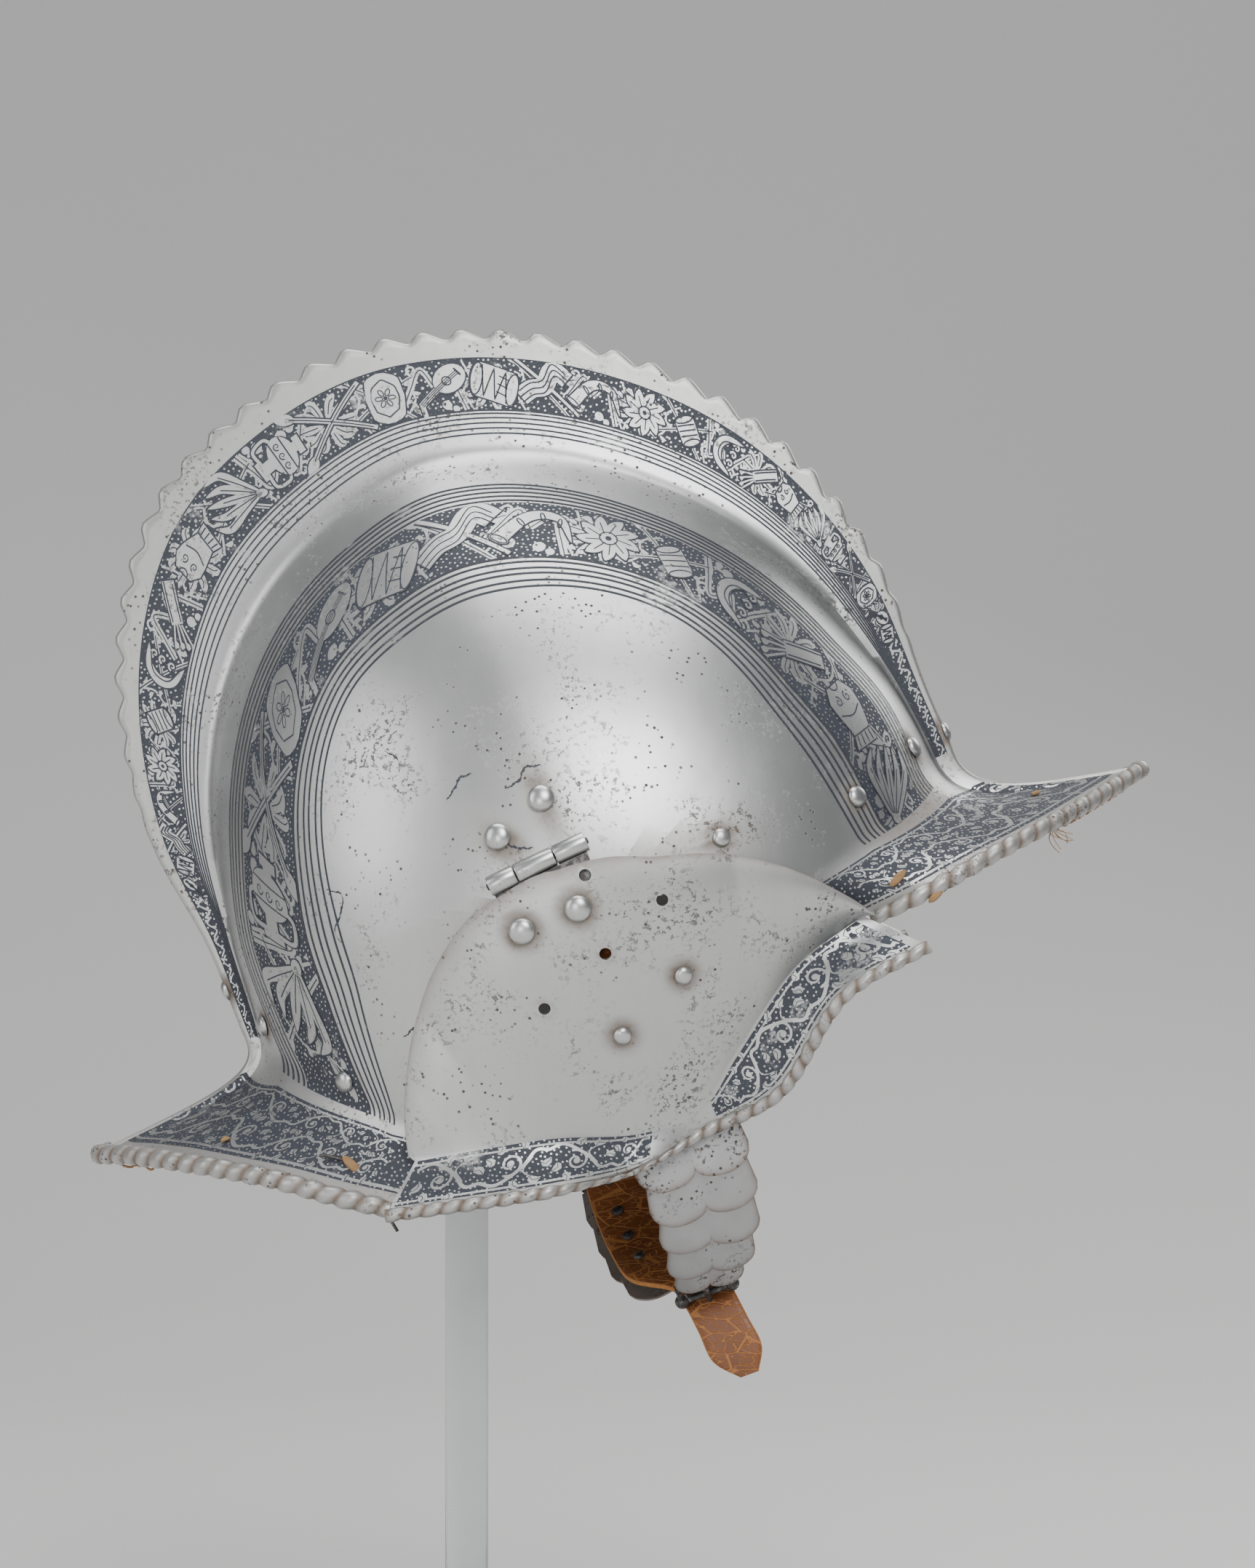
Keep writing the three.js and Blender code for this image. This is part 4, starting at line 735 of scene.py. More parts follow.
def grown(source, tree, values, name, sharp=55):
    """The mesh that a tree makes from a source object, as a piece of its own."""
    modifier = source.modifiers.new(name, "NODES")
    modifier.node_group = tree
    for item in tree.interface.items_tree:
        if item.item_type == "SOCKET" and item.in_out == "INPUT" and item.name in values:
            modifier[item.identifier] = values[item.name]
    mesh = modified_mesh(source, modifier)
    bpy.data.objects.remove(source)
    mesh.name = name
    return finished(name, mesh, sharp)


def bare_object(name, mesh):
    source = bpy.data.objects.new(name, mesh)
    bpy.context.scene.collection.objects.link(source)
    return source


# Finishes


class Shade:
    """A socket of a finish's nodes, for shader maths written as Python expressions."""

    def __init__(self, finish, socket):
        self.finish = finish
        self.socket = socket

    def __add__(self, other):
        return self.finish.maths("ADD", self, other)

    def __sub__(self, other):
        return self.finish.maths("SUBTRACT", self, other)

    def __rsub__(self, other):
        return self.finish.maths("SUBTRACT", other, self)

    def __mul__(self, other):
        return self.finish.maths("MULTIPLY", self, other)

    def __truediv__(self, other):
        return self.finish.maths("DIVIDE", self, other)

    __radd__ = __add__
    __rmul__ = __mul__

    def above(self, low, high):
        """0 below low, 1 above high, and smooth between."""
        return self.finish.add(
            "ShaderNodeMapRange",
            {"interpolation_type": "SMOOTHSTEP"},
            {"Value": self, "From Min": low, "From Max": high},
        )


class Finish:
    """One procedural material on the piece's own object coordinates."""

    def __init__(self, name):
        self.material = bpy.data.materials.new(name)
        self.material.use_nodes = True
        self.tree = self.material.node_tree
        self.tree.nodes.clear()
        self.shader = self.tree.nodes.new("ShaderNodeBsdfPrincipled")
        output = self.tree.nodes.new("ShaderNodeOutputMaterial")
        self.tree.links.new(self.shader.outputs[0], output.inputs[0])
        self.place = self.add("ShaderNodeTexCoord", output="Object")

    def add(self, kind, settings=None, values=None, output=0):
        node = self.tree.nodes.new(kind)
        for key, value in (settings or {}).items():
            setattr(node, key, value)
        for key, value in (values or {}).items():
            self.feed(node.inputs[key], value)
        return Shade(self, node.outputs[output])

    def feed(self, socket, value):
        if isinstance(value, Shade):
            self.tree.links.new(value.socket, socket)
        else:
            socket.default_value = value

    def maths(self, operation, a, b):
        return self.add("ShaderNodeMath", {"operation": operation}, {0: a, 1: b})

    def noise(self, scale, detail=3.0, roughness=0.55, place=None):
        values = {"Vector": place or self.place, "Scale": scale, "Detail": detail, "Roughness": roughness}
        return self.add("ShaderNodeTexNoise", {}, values, "Fac")

    def cells(self, scale, feature="F1", place=None):
        values = {"Vector": place or self.place, "Scale": scale}
        return self.add("ShaderNodeTexVoronoi", {"feature": feature}, values, "Distance")

    def stretched(self, scale):
        return self.add("ShaderNodeMapping", {}, {"Vector": self.place, "Scale": scale})

    def mark(self, name):
        return self.add("ShaderNodeAttribute", {"attribute_name": name}, output="Fac")

    def mix(self, share, a, b):
        settings = {"data_type": "RGBA"}
        return self.add("ShaderNodeMix", settings, {0: share, 6: opaque(a), 7: opaque(b)}, 2)

    def bump(self, height, distance, strength=1.0):
        return self.add("ShaderNodeBump", {}, {"Height": height, "Distance": distance, "Strength": strength})

    def set(self, **values):
        for key, value in values.items():
            self.feed(self.shader.inputs[key.replace("_", " ").title()], opaque(value))
        return self.material


def opaque(value):
    """Colour properties hold three numbers and colour sockets four."""
    if isinstance(value, Shade) or not hasattr(value, "__len__") or len(value) != 3:
        return value
    return (*value, 1.0)


def pitted_steel(finish, tone, roughness, wear=1.0, reads_patina_and_shade=True):
    """Old polished plate: soft hammering, fine scratches, pits in clusters and brown patina, which on the
    scales also carries painted shade.
    """
    tint = colours()
    cloud = finish.noise(14, 4)
    grain = finish.noise(1500, 2)
    scratch = finish.noise(260, 3, 0.6, finish.stretched((1.0, 0.35, 0.08)))
    clusters = finish.noise(38, 5, 0.62).above(0.49, 0.66)
    fine_pits = finish.noise(620, 3, 0.7).above(0.54, 0.60) * clusters
    specks = (1 - finish.cells(430).above(0.14, 0.26)) * finish.noise(55, 4).above(0.50, 0.60)
    pits = finish.maths("MINIMUM", (fine_pits * 0.85 + specks) * wear, 1.0)
    steel = finish.mix(cloud, scaled(tone, 0.90), scaled(tone, 1.06))
    steel = finish.mix(scratch * 0.28, steel, scaled(tone, 0.72))
    colour = finish.mix(pits, steel, tint.pits)
    shine = roughness + cloud * 0.10 + grain * 0.06 + pits * 0.35
    cover = pits * 0.8
    # The mark tints the plate towards rust. On the plates and ropes it is patina; along the scales' edges it
    # is painted shade.
    if reads_patina_and_shade:
        patina_and_shade = finish.mark("patina_and_shade") * (0.45 + finish.noise(170, 5, 0.7) * 0.9)
        patina_and_shade = finish.maths("MINIMUM", patina_and_shade, 0.92)
        colour = finish.mix(patina_and_shade, colour, tint.rust_and_shade)
        shine = shine + patina_and_shade * 0.25
        cover = finish.maths("MAXIMUM", cover, patina_and_shade * 0.85)
    height = finish.noise(42, 2) * 1.0 + scratch * 0.04 - pits * 0.16
    return finish.set(
        base_color=colour,
        metallic=1.0 - cover,
        roughness=shine,
        normal=finish.bump(height, 0.00035, 0.55),
    )


def scaled(colour, share):
    return tuple(min(1.0, channel * share) for channel in colour)


def etched_ground(finish, tint):
    """The blackened ground, worn through to steel in patches."""
    worn = finish.noise(46, 5, 0.66).above(0.60, 0.68) * finish.noise(420, 3, 0.7).above(0.40, 0.56)
    flecks = finish.noise(1300, 2, 0.6).above(0.64, 0.72)
    worn = finish.maths("MINIMUM", worn * 0.75 + flecks * 0.35, 1.0)
    return finish.set(
        base_color=finish.mix(worn, tint.etch, scaled(tint.steel, 0.8)),
        metallic=worn * 0.9,
        roughness=0.56 + finish.noise(900, 2) * 0.12,
        normal=finish.bump(finish.noise(1600, 2), 0.00006, 0.5),
    )


def old_leather(finish, tint):
    """Cognac leather with pale crackle, darker rubbed bands and a raw orange edge."""
    wide = finish.stretched((0.7, 1.0, 1.7))
    warp = finish.noise(320, 3)
    crackle = 1 - finish.cells(330, "DISTANCE_TO_EDGE", wide).above(0.015, 0.075)
    broad = 1 - finish.cells(120, "DISTANCE_TO_EDGE", wide).above(0.01, 0.05)
    cracks = finish.maths("MINIMUM", crackle * warp.above(0.35, 0.6) + broad * 0.8, 1.0)
    shade = finish.mix(finish.noise(60, 4), scaled(tint.leather, 0.45), scaled(tint.leather, 1.35))
    surface = finish.mix(cracks * 0.55, shade, tint.leather_edge)
    edge = finish.mark("raw_edge")
    raw = finish.mix(finish.noise(900, 3), scaled(tint.leather_edge, 0.6), tint.leather_edge)
    return finish.set(
        base_color=finish.mix(edge, surface, raw),
        roughness=0.42 + edge * 0.4 + cracks * 0.25,
        normal=finish.bump(warp * 0.5 - cracks * 0.9, 0.00025, 0.8),
    )


def dark_iron(finish, tint):
    rough = finish.noise(420, 4, 0.65)
    return finish.set(
        base_color=finish.mix(rough.above(0.45, 0.7), tint.iron, scaled(tint.steel, 0.42)),
        metallic=0.85,
        roughness=0.42 + rough * 0.2,
        normal=finish.bump(rough, 0.0002, 0.6),
    )


def lining_fibre(finish, tint):
    strands = finish.noise(700, 3, 0.6, finish.stretched((0.3, 1.0, 1.0)))
    return finish.set(
        base_color=finish.mix(strands, scaled(tint.lining, 0.5), scaled(tint.lining, 1.3)),
        roughness=0.85,
        normal=finish.bump(strands, 0.0003, 0.8),
    )


def hazed_acrylic(finish, tint):
    """A clear stand whose faces are faintly hazed and dusty."""
    haze = finish.noise(35, 4)
    finish.shader.inputs["Transmission Weight"].default_value = 0.72
    finish.shader.inputs["IOR"].default_value = 1.49
    return finish.set(
        base_color=finish.mix(haze, scaled(tint.acrylic, 0.92), tint.acrylic),
        roughness=0.16 + haze * 0.14,
        normal=finish.bump(finish.noise(900, 2), 0.00002, 0.3),
    )


def pad_felt(finish, tint):
    wool = finish.noise(1100, 4, 0.7)
    return finish.set(
        base_color=finish.mix(wool, scaled(tint.felt, 0.7), scaled(tint.felt, 1.4)),
        roughness=0.95,
        normal=finish.bump(wool, 0.0004, 0.8),
    )


def studio_paint(finish, tint):
    cloud = finish.noise(2, 2)
    return finish.set(base_color=finish.mix(cloud, scaled(tint.floor, 0.99), tint.floor), roughness=0.8)


FINISH_MAKERS = {
    "plate_steel": lambda finish, tint: pitted_steel(finish, tint.steel, 0.31),
    "figure_steel": lambda finish, tint: pitted_steel(finish, scaled(tint.steel, 0.93), 0.34, 0.9, False),
    "rivet_head_steel": lambda finish, tint: pitted_steel(finish, tint.steel, 0.26, 0.4, False),
    "scale_plate_steel": lambda finish, tint: pitted_steel(finish, tint.scale_steel, 0.40, 1.3),
    "etched_ground": etched_ground,
    "old_leather": old_leather,
    "dark_iron": dark_iron,
    "lining_fibre": lining_fibre,
    "hazed_acrylic": hazed_acrylic,
    "pad_felt": pad_felt,
    "studio_paint": studio_paint,
}


def finish_of(name):
    """The material of that name, made when it is first asked for."""
    return bpy.data.materials.get(name) or FINISH_MAKERS[name](Finish(name), colours())


# Rivets and stains


def ridge_seat(deg, direction):
    place = on_side(anchor_radius("edge", np.array(float(deg))), np.array(float(deg)))
    return np.array([place[0], 0.0, place[2]]), np.array([float(direction), 0.0, 0.0])


def rivet_rows():
    """Name, place, normal, kind and grip of every rivet, both sides."""
    rows = []
    for plate, seat, listed, thickness in (
        ("skull", skull_seat, SKULL_RIVETS, SKULL_THICKNESS),
        ("cheek", cheek_seat, CHEEK_RIVETS, CHEEK_THICKNESS),
    ):
        for name, x, z, kind in listed:
            place, normal = seat(x * BOWL_RADIUS, z * BOWL_RADIUS)
            grip = thickness + PIECE_GAP
            if kind == "hinge":
                grip += LEAF_THICKNESS + PIECE_GAP
            if plate == "cheek" and kind == "strap":
                grip += STRAP_THICKNESS + 2 * PIECE_GAP
            rows.append(("right_" + name, place, normal, kind, grip))
            rows.append(("left_" + name, mirrored(place), mirrored(normal), kind, grip))
    for name, deg, direction in RIDGE_RIVETS:
        place, normal = ridge_seat(deg, direction)
        rows.append((name, place, normal, "lining", SKULL_THICKNESS + PIECE_GAP))
    return rows


RIVETS = rivet_rows()


def halo(points, centre, radius, spread):
    distance = np.linalg.norm(points - centre, axis=-1)
    return np.exp(-(np.maximum(distance - radius, 0) ** 2) / (2 * spread**2))


def rivet_stain(points, side):
    patina_and_shade = np.zeros(points.shape[:-1])
    for name, place, _, kind, _ in RIVETS:
        if name.startswith(side) or "ridge" in name:
            near = place if side == "right" else mirrored(place)
            patina_and_shade = np.maximum(patina_and_shade, 0.9 * halo(points, near, RIVET_RADIUS[kind], 1.9))
    return patina_and_shade


# Etching: strokes drawn on bands of the plates

GROUND, BRIGHT, DARK = 0, 1, 2
PATH_STEP = 1.1
SHEET_STEP = 2.2
LEAST_WIDTH = 0.004


class Band:
    """A strip of a plate. u runs along it in millimetres and v across it from -1 to 1."""

    def __init__(self, points, normals):
        self.points = points
        self.normals = normals
        middle = points[:, points.shape[1] // 2]
        self.along = lengths(middle)
        self.length = self.along[-1]
        self.half = 0.5 * lengths(points)[:, -1]

    def half_at(self, u):
        return float(np.interp(u, self.along, self.half))

    def place(self, uv, lift):
        rows, columns = self.points.shape[:2]
        i = np.interp(uv[..., 0], self.along, np.arange(rows))
        j = (np.clip(uv[..., 1], -1, 1) + 1) / 2 * (columns - 1)
        i0 = np.minimum(i.astype(int), rows - 2)
        j0 = np.minimum(j.astype(int), columns - 2)
        s = (i - i0)[..., None]
        t = (j - j0)[..., None]

        def blend(grid):
            low = grid[i0, j0] * (1 - s) + grid[i0 + 1, j0] * s
            high = grid[i0, j0 + 1] * (1 - s) + grid[i0 + 1, j0 + 1] * s
            return low * (1 - t) + high * t

        return blend(self.points) + unit(blend(self.normals)) * lift


def slice_band(points, normals, low, high, count):
    """The part of a wide band from share low to share high across it."""
    at = np.linspace(low, high, count) * (points.shape[1] - 1)
    i = np.minimum(at.astype(int), points.shape[1] - 2)
    t = (at - i)[None, :, None]
    places, leans = (grid[:, i] * (1 - t) + grid[:, i + 1] * t for grid in (points, normals))
    return Band(places, unit(leans))


class Etching:
    """Collects the strokes of one or more bands as thin layers over the plate."""

    def __init__(self):
        self.parts = []
        self.ground_parts = []
        self.lift = sizes().etch_lift / MM
        self.layer = sizes().layer_lift / MM
        self.hair = sizes().hair_line / MM

    def sheet(self, band, grid, kind, level=0):
        lift = self.lift + self.layer * (kind + level)
        points = band.place(grid, lift)
        a = points[1, 0] - points[0, 0]
        b = points[0, 1] - points[0, 0]
        above = band.place(grid[:1, :1], lift + 1)[0, 0] - points[0, 0]
        faces = grid_faces(*points.shape[:2], turned=bool(np.dot(np.cross(b, a), above) < 0))
        self.parts.append((kind, (points.reshape(-1, 3), faces)))

    def ground(self, band):
        v = np.linspace(-1, 1, band.points.shape[1])
        self.sheet(band, np.stack(np.meshgrid(band.along, v, indexing="ij"), axis=-1), GROUND)
        self.ground_parts.append(self.parts[-1])

    def stroke(self, pen, kind, path, widths):
        """A ribbon along a path of local points, at the pen's place, turn and size."""
        path = np.asarray(path, float)
        widths = np.broadcast_to(np.asarray(widths, float), (len(path),))
        side = np.gradient(path, axis=0)
        side = unit(np.stack([-side[:, 1], side[:, 0]], axis=1))
        count = max(2, int(np.ceil(widths.max() * pen.unit / SHEET_STEP)) + 1)
        across = np.linspace(-0.5, 0.5, count)
        grid = path[:, None] + side[:, None] * (widths[:, None] * across)[..., None]
        self.sheet(pen.band, pen.to_band(grid), kind, level=pen.level)
        if kind == BRIGHT and pen.level:
            self.outline(pen, path, side, widths, across)

    def outline(self, pen, path, side, widths, across):
        """A dark rim round a bright stroke, which parts it from the figures behind."""
        rim = 1.1 * pen.hair
        path = path.copy()
        path[0] -= unit(path[1] - path[0]) * rim
        path[-1] += unit(path[-1] - path[-2]) * rim
        grid = path[:, None] + side[:, None] * ((widths + 2 * rim)[:, None] * across)[..., None]
        self.sheet(pen.band, pen.to_band(grid), DARK, level=pen.level - 2)

    def long_lines(self, band, places, width, kind=DARK):
        """Lines along the whole band, at places across it."""
        edge = 0.5 * width / band.half
        for v in places:
            sides = [np.stack([band.along, v + side * edge], axis=1) for side in (-1, 1)]
            self.sheet(band, np.stack(sides, axis=1), kind)


class Pen:
    """Draws a motif at a place of a band. Its unit is the band's half width there."""

    def __init__(self, etching, band, u, turn=0.0, size=1.0, flip=1.0, across=0.0, level=0):
        self.etching = etching
        self.band = band
        self.u = u
        self.unit = band.half_at(u) * size
        self.size = size
        self.turn = math.radians(turn)
        self.flip = flip
        self.across = across
        self.level = level
        self.hair = etching.hair / self.unit

    def to_band(self, grid):
        x = grid[..., 0] * math.cos(self.turn) - grid[..., 1] * math.sin(self.turn)
        y = grid[..., 0] * math.sin(self.turn) + grid[..., 1] * math.cos(self.turn)
        return np.stack([self.u + x * self.unit, self.across + y * self.size * self.flip], axis=-1)

    def pieces(self, points):
        """A path through points, with a step of about a millimetre."""
        points = np.asarray(points, float)
        return points, max(2, int(np.ceil(lengths(points)[-1] * self.unit / PATH_STEP)))

    def turned(self, x, y, along, across, degrees):
        """Places along and across an axis through x and y, which is turned by degrees."""
        c, s = math.cos(math.radians(degrees)), math.sin(math.radians(degrees))
        return np.stack([x + along * c - across * s, y + along * s + across * c], axis=1)

    def line(self, kind, points, width):
        points, count = self.pieces(points)
        self.etching.stroke(self, kind, resample(points, count), width)

    def curve(self, kind, points, width, taper=0):
        """A smooth stroke, tapered to a point at its end, or at both ends when taper is 2."""
        points, count = self.pieces(points)
        t = np.linspace(0, 1, count + 1)
        shape = (np.ones_like(t), (1 - t) ** 0.6, np.sin(np.pi * t) ** 0.7)[taper]
        self.etching.stroke(self, kind, route(points)(t), np.maximum(width * shape, LEAST_WIDTH))

    def bar(self, points, width):
        self.line(BRIGHT, points, width)

    def crease(self, points, hairs=1.0):
        self.line(DARK, points, hairs * self.hair)

    def stem(self, points, width):
        self.curve(BRIGHT, points, width)

    def leaf(self, points, width):
        self.curve(BRIGHT, points, width, 2)

    def vein(self, points, hairs=1.0):
        self.curve(DARK, points, hairs * self.hair)

    def bead(self, x, y, rx, ry, turn=0.0):
        self.oval(BRIGHT, x, y, rx, ry, turn)

    def oval(self, kind, x, y, rx, ry, turn=0.0):
        count = max(8, int(2 * rx * self.unit / PATH_STEP))
        s = -np.cos(np.linspace(0, np.pi, count + 1))
        path = self.turned(x, y, rx * s, 0 * s, turn)
        self.etching.stroke(self, kind, path, np.maximum(2 * ry * np.sqrt(1 - s**2), LEAST_WIDTH))

    def ring(self, kind, x, y, rx, ry, width, turn=0.0, start=0.0, end=360.0):
        count = max(12, int(6.3 * max(rx, ry) * self.unit))
        a = np.radians(np.linspace(start, end, count + 1))
        self.etching.stroke(self, kind, self.turned(x, y, rx * np.cos(a), ry * np.sin(a), turn), width)

    def spiral(self, kind, x, y, radius, turns, width, start=0.0, hand=1.0):
        count = max(16, int(6.3 * radius * turns * self.unit / 1.2))
        t = np.linspace(0, 1, count + 1)
        a = np.radians(start) + hand * 2 * np.pi * turns * t
        r = radius * (1 - 0.86 * t)
        path = np.stack([x + r * np.cos(a), y + r * np.sin(a)], axis=1)
        self.etching.stroke(self, kind, path, width * (1 - 0.45 * t))
def drum(pen):
    pen.bar([(-0.62, 0), (0.62, 0)], 1.25)
    for x in (-0.62, 0.62):
        pen.bead(x, 0, 0.625, 0.2, 90)
        pen.ring(DARK, x, 0, 0.2, 0.6, pen.hair)
    pen.bead(0.62, 0, 0.5, 0.13, 90)
    zigzag = [(-0.5 + 0.2 * i, 0.58 if i % 2 else -0.58) for i in range(6)]
    pen.crease(zigzag)
    for y in (-0.3, 0.0, 0.3):
        pen.crease([(-0.46, y), (-0.1, y + 0.05)])


def small_drum(pen):
    pen.bar([(-0.45, 0), (0.45, 0)], 0.8)
    for x in (-0.45, 0.45):
        pen.bead(x, 0, 0.4, 0.13, 90)
        pen.ring(DARK, x, 0, 0.13, 0.38, pen.hair)
    for x in (-0.2, 0.0, 0.2):
        pen.crease([(x, -0.38), (x + 0.06, 0.38)])


def shield(pen):
    heights = np.linspace(-0.85, 0.85, 17)
    half = np.interp(np.abs(heights), [0, 0.5, 0.7, 0.85], [0.62, 0.55, 0.5, 0.12])
    pen.etching.stroke(pen, BRIGHT, np.stack([np.zeros(17), heights], axis=1), 2 * half)
    right = [(0, -0.85), (0.5, -0.55), (0.62, 0.0), (0.5, 0.5), (0, 0.85)]
    left = [(-x, y) for x, y in right[-2::-1]]
    pen.crease([(0.74 * x, 0.76 * y) for x, y in right + left])
    rosette(pen, 0.34)


def rosette(pen, size=0.5):
    for k in range(6):
        angle = math.radians(60 * k)
        x, y = 0.62 * size * math.cos(angle), 0.62 * size * math.sin(angle)
        pen.ring(DARK, x, y, 0.36 * size, 0.2 * size, 0.8 * pen.hair, 60 * k)
    pen.oval(DARK, 0, 0, 0.2 * size, 0.2 * size)


def vase(pen):
    pen.bead(0, -0.05, 0.6, 0.42)
    pen.bar([(0, 0.3), (0, 0.72)], 0.36)
    pen.bar([(-0.3, 0.74), (0.3, 0.74)], 0.12)
    pen.bar([(-0.28, -0.62), (0.28, -0.62)], 0.2)
    pen.bar([(0, -0.4), (0, -0.62)], 0.3)
    for y in (0.14, -0.22):
        pen.crease([(-0.54, y), (0.54, y)])
    for x in (-0.32, 0.0, 0.32):
        pen.spiral(DARK, x, -0.04, 0.12, 1.2, pen.hair)
    for side in (-1, 1):
        handle = [(side * 0.15, 0.62), (side * 0.62, 0.62), (side * 0.72, 0.2), (side * 0.55, 0.05)]
        pen.stem(handle, 0.09)


def lute(pen):
    pen.bead(-0.45, 0, 0.62, 0.44)
    pen.bar([(0.0, 0), (1.0, 0)], 0.2)
    pen.bar([(0.95, 0.0), (1.2, 0.36)], 0.16)
    pen.ring(DARK, -0.32, 0, 0.15, 0.15, pen.hair)
    for y in (-0.06, 0.0, 0.06):
        pen.crease([(-0.85, y), (0.98, y)], 0.7)
    pen.crease([(-0.84, -0.16), (-0.84, 0.16)], 1.4)


def crossed_poles(pen):
    for side in (-1, 1):
        pen.bar([(-1.2, side * 0.8), (1.2, -side * 0.8)], 0.13)
        pen.crease([(-1.1, side * 0.74), (1.1, -side * 0.74)], 0.8)
        pen.leaf([(0.95, -side * 0.62), (1.2, -side * 0.82), (1.5, -side * 0.98)], 0.34)


def horn(pen):
    pen.curve(BRIGHT, [(0.8, 0.55), (0.3, -0.35), (-0.4, -0.5), (-0.95, 0.2)], 0.42, 1)
    pen.bead(0.82, 0.58, 0.28, 0.12, -20)
    pen.ring(DARK, 0.82, 0.58, 0.25, 0.09, pen.hair, -20)
    for x, y in ((0.45, -0.08), (0.0, -0.42), (-0.45, -0.36)):
        pen.ring(DARK, x, y, 0.05, 0.16, pen.hair, 30 + 40 * x)


def quiver(pen):
    pen.bar([(-0.85, -0.25), (0.35, 0.12)], 0.44)
    pen.crease([(-0.8, -0.4), (0.32, -0.05)])
    pen.crease([(-0.8, -0.08), (0.26, 0.25)])
    for k in range(4):
        start = (0.34, 0.0 + 0.09 * k)
        tip = (1.1, 0.0 + 0.26 * k)
        pen.bar([start, tip], 0.06)
        pen.leaf([(0.85, 0.02 + 0.2 * k), (1.0, 0.05 + 0.23 * k), tip], 0.18)


def plume(pen):
    for k in range(5):
        lean = -0.5 + 0.25 * k
        tip = (0.85 - 0.1 * abs(lean), lean * 1.2)
        pen.leaf([(-0.9, 0), (-0.3, lean * 0.7), (0.3, lean * 1.5), tip], 0.24)
        pen.vein([(-0.7, lean * 0.15), (-0.2, lean * 0.8), (0.35, lean * 1.45)], 0.8)
    pen.bead(-0.85, 0, 0.2, 0.12)


def banner(pen):
    pen.bar([(-1.2, -0.75), (1.1, 0.85)], 0.1)
    wave = [(-0.7, 0.45), (-0.2, 0.7), (0.1, 0.05), (0.55, -0.15), (0.95, -0.5)]
    pen.stem(wave, 0.62)
    for shift in (-0.2, 0.0, 0.2):
        pen.vein([(x + 0.3 * shift, y + shift) for x, y in wave])


def cuirass(pen):
    heights = np.linspace(-0.72, 0.75, 15)
    half = np.interp(heights, [-0.72, -0.4, 0.1, 0.45, 0.75], [0.42, 0.33, 0.48, 0.52, 0.3])
    pen.etching.stroke(pen, BRIGHT, np.stack([np.zeros(15), heights], axis=1), 2 * half)
    pen.ring(DARK, 0, 0.78, 0.16, 0.16, pen.hair, 0, 180, 360)
    pen.vein([(-0.4, 0.1), (0, -0.02), (0.4, 0.1)])
    pen.crease([(-0.34, -0.42), (0.34, -0.42)])
    for x in (-0.24, -0.08, 0.08, 0.24):
        pen.crease([(x, -0.45), (1.2 * x, -0.7)])
    for side in (-1, 1):
        pen.spiral(DARK, side * 0.2, 0.38, 0.13, 1.3, pen.hair, 90, side)


def leaf_mask(pen):
    """A round tuft of acanthus leaves that turn outwards."""
    for k in range(9):
        angle = math.radians(40 * k + 10)
        c, s = math.cos(angle), math.sin(angle)
        middle = (0.5 * c - 0.1 * s, 0.5 * s + 0.1 * c)
        tip = (0.82 * c - 0.3 * s, 0.82 * s + 0.3 * c)
        pen.leaf([(0.15 * c, 0.15 * s), middle, tip], 0.34)
        vein = [(0.2 * c, 0.2 * s), (0.62 * c - 0.14 * s, 0.62 * s + 0.14 * c)]
        pen.vein(vein, 0.8)
    pen.bead(0, 0, 0.32, 0.32)
    pen.ring(DARK, 0, 0, 0.24, 0.24, pen.hair)
    pen.oval(DARK, 0, 0, 0.09, 0.09)


def crescent(pen):
    pen.leaf([(-0.5, 0.75), (0.2, 0.5), (0.45, 0.0), (0.2, -0.5), (-0.5, -0.75)], 0.36)
    pen.vein([(-0.3, 0.6), (0.25, 0.36), (0.38, 0), (0.25, -0.36), (-0.3, -0.6)])
    for y in (-0.3, 0.1, 0.45):
        pen.spiral(BRIGHT, -0.3, y, 0.16, 1.1, 0.08)


def sprig(pen):
    """A small leafy shoot that fills the ground between two trophies."""
    pen.stem([(-0.3, -0.9), (0.1, -0.3), (-0.1, 0.3), (0.2, 0.9)], 0.07)
    for k in range(5):
        y = -0.7 + 0.34 * k
        side = 1 if k % 2 else -1
        pen.leaf([(0.0, y), (side * 0.16, y + 0.1), (side * 0.3, y + 0.05)], 0.16)
        pen.bead(side * 0.38, y - 0.12, 0.05, 0.05)


TROPHIES = (drum, lute, shield, crossed_poles, vase, plume, cuirass, quiver, crescent, small_drum)
TROPHIES += (leaf_mask, horn, banner)
TROPHY_TURNS = (20, -35, 8, 0, -90, 30, -80, -20, 10, 55, 0, 15, 5)


def leaf_fan(pen):
    """Long leaves that spread from behind a trophy to both sides."""
    for side in (-1, 1):
        for k in range(5):
            angle = math.radians(-64 + 32 * k)
            x, y = side * math.cos(angle), math.sin(angle)
            pen.leaf([(0.1 * x, 0.1 * y), (0.6 * x, 0.75 * y), (1.05 * x, 0.9 * y + 0.12)], 0.27)
            pen.vein([(0.3 * x, 0.35 * y), (0.6 * x, 0.75 * y), (0.9 * x, 0.86 * y)], 0.8)


def ribbons(pen):
    """A fluttering ribbon with curled ends and fruit in its bends."""
    for side in (-1, 1):
        wave = [(0.0, 0.0), (side * 0.45, 0.62), (side * 0.8, -0.05), (side * 1.1, -0.7)]
        pen.stem(wave, 0.2)
        pen.spiral(BRIGHT, side * 0.72, 0.6, 0.24, 1.2, 0.1, 200)
        pen.bead(side * 0.4, -0.62, 0.17, 0.17)
        pen.bead(side * 0.72, -0.72, 0.12, 0.12)
        pen.vein(wave, 0.8)


BACKDROPS = (crossed_poles, leaf_fan, ribbons)


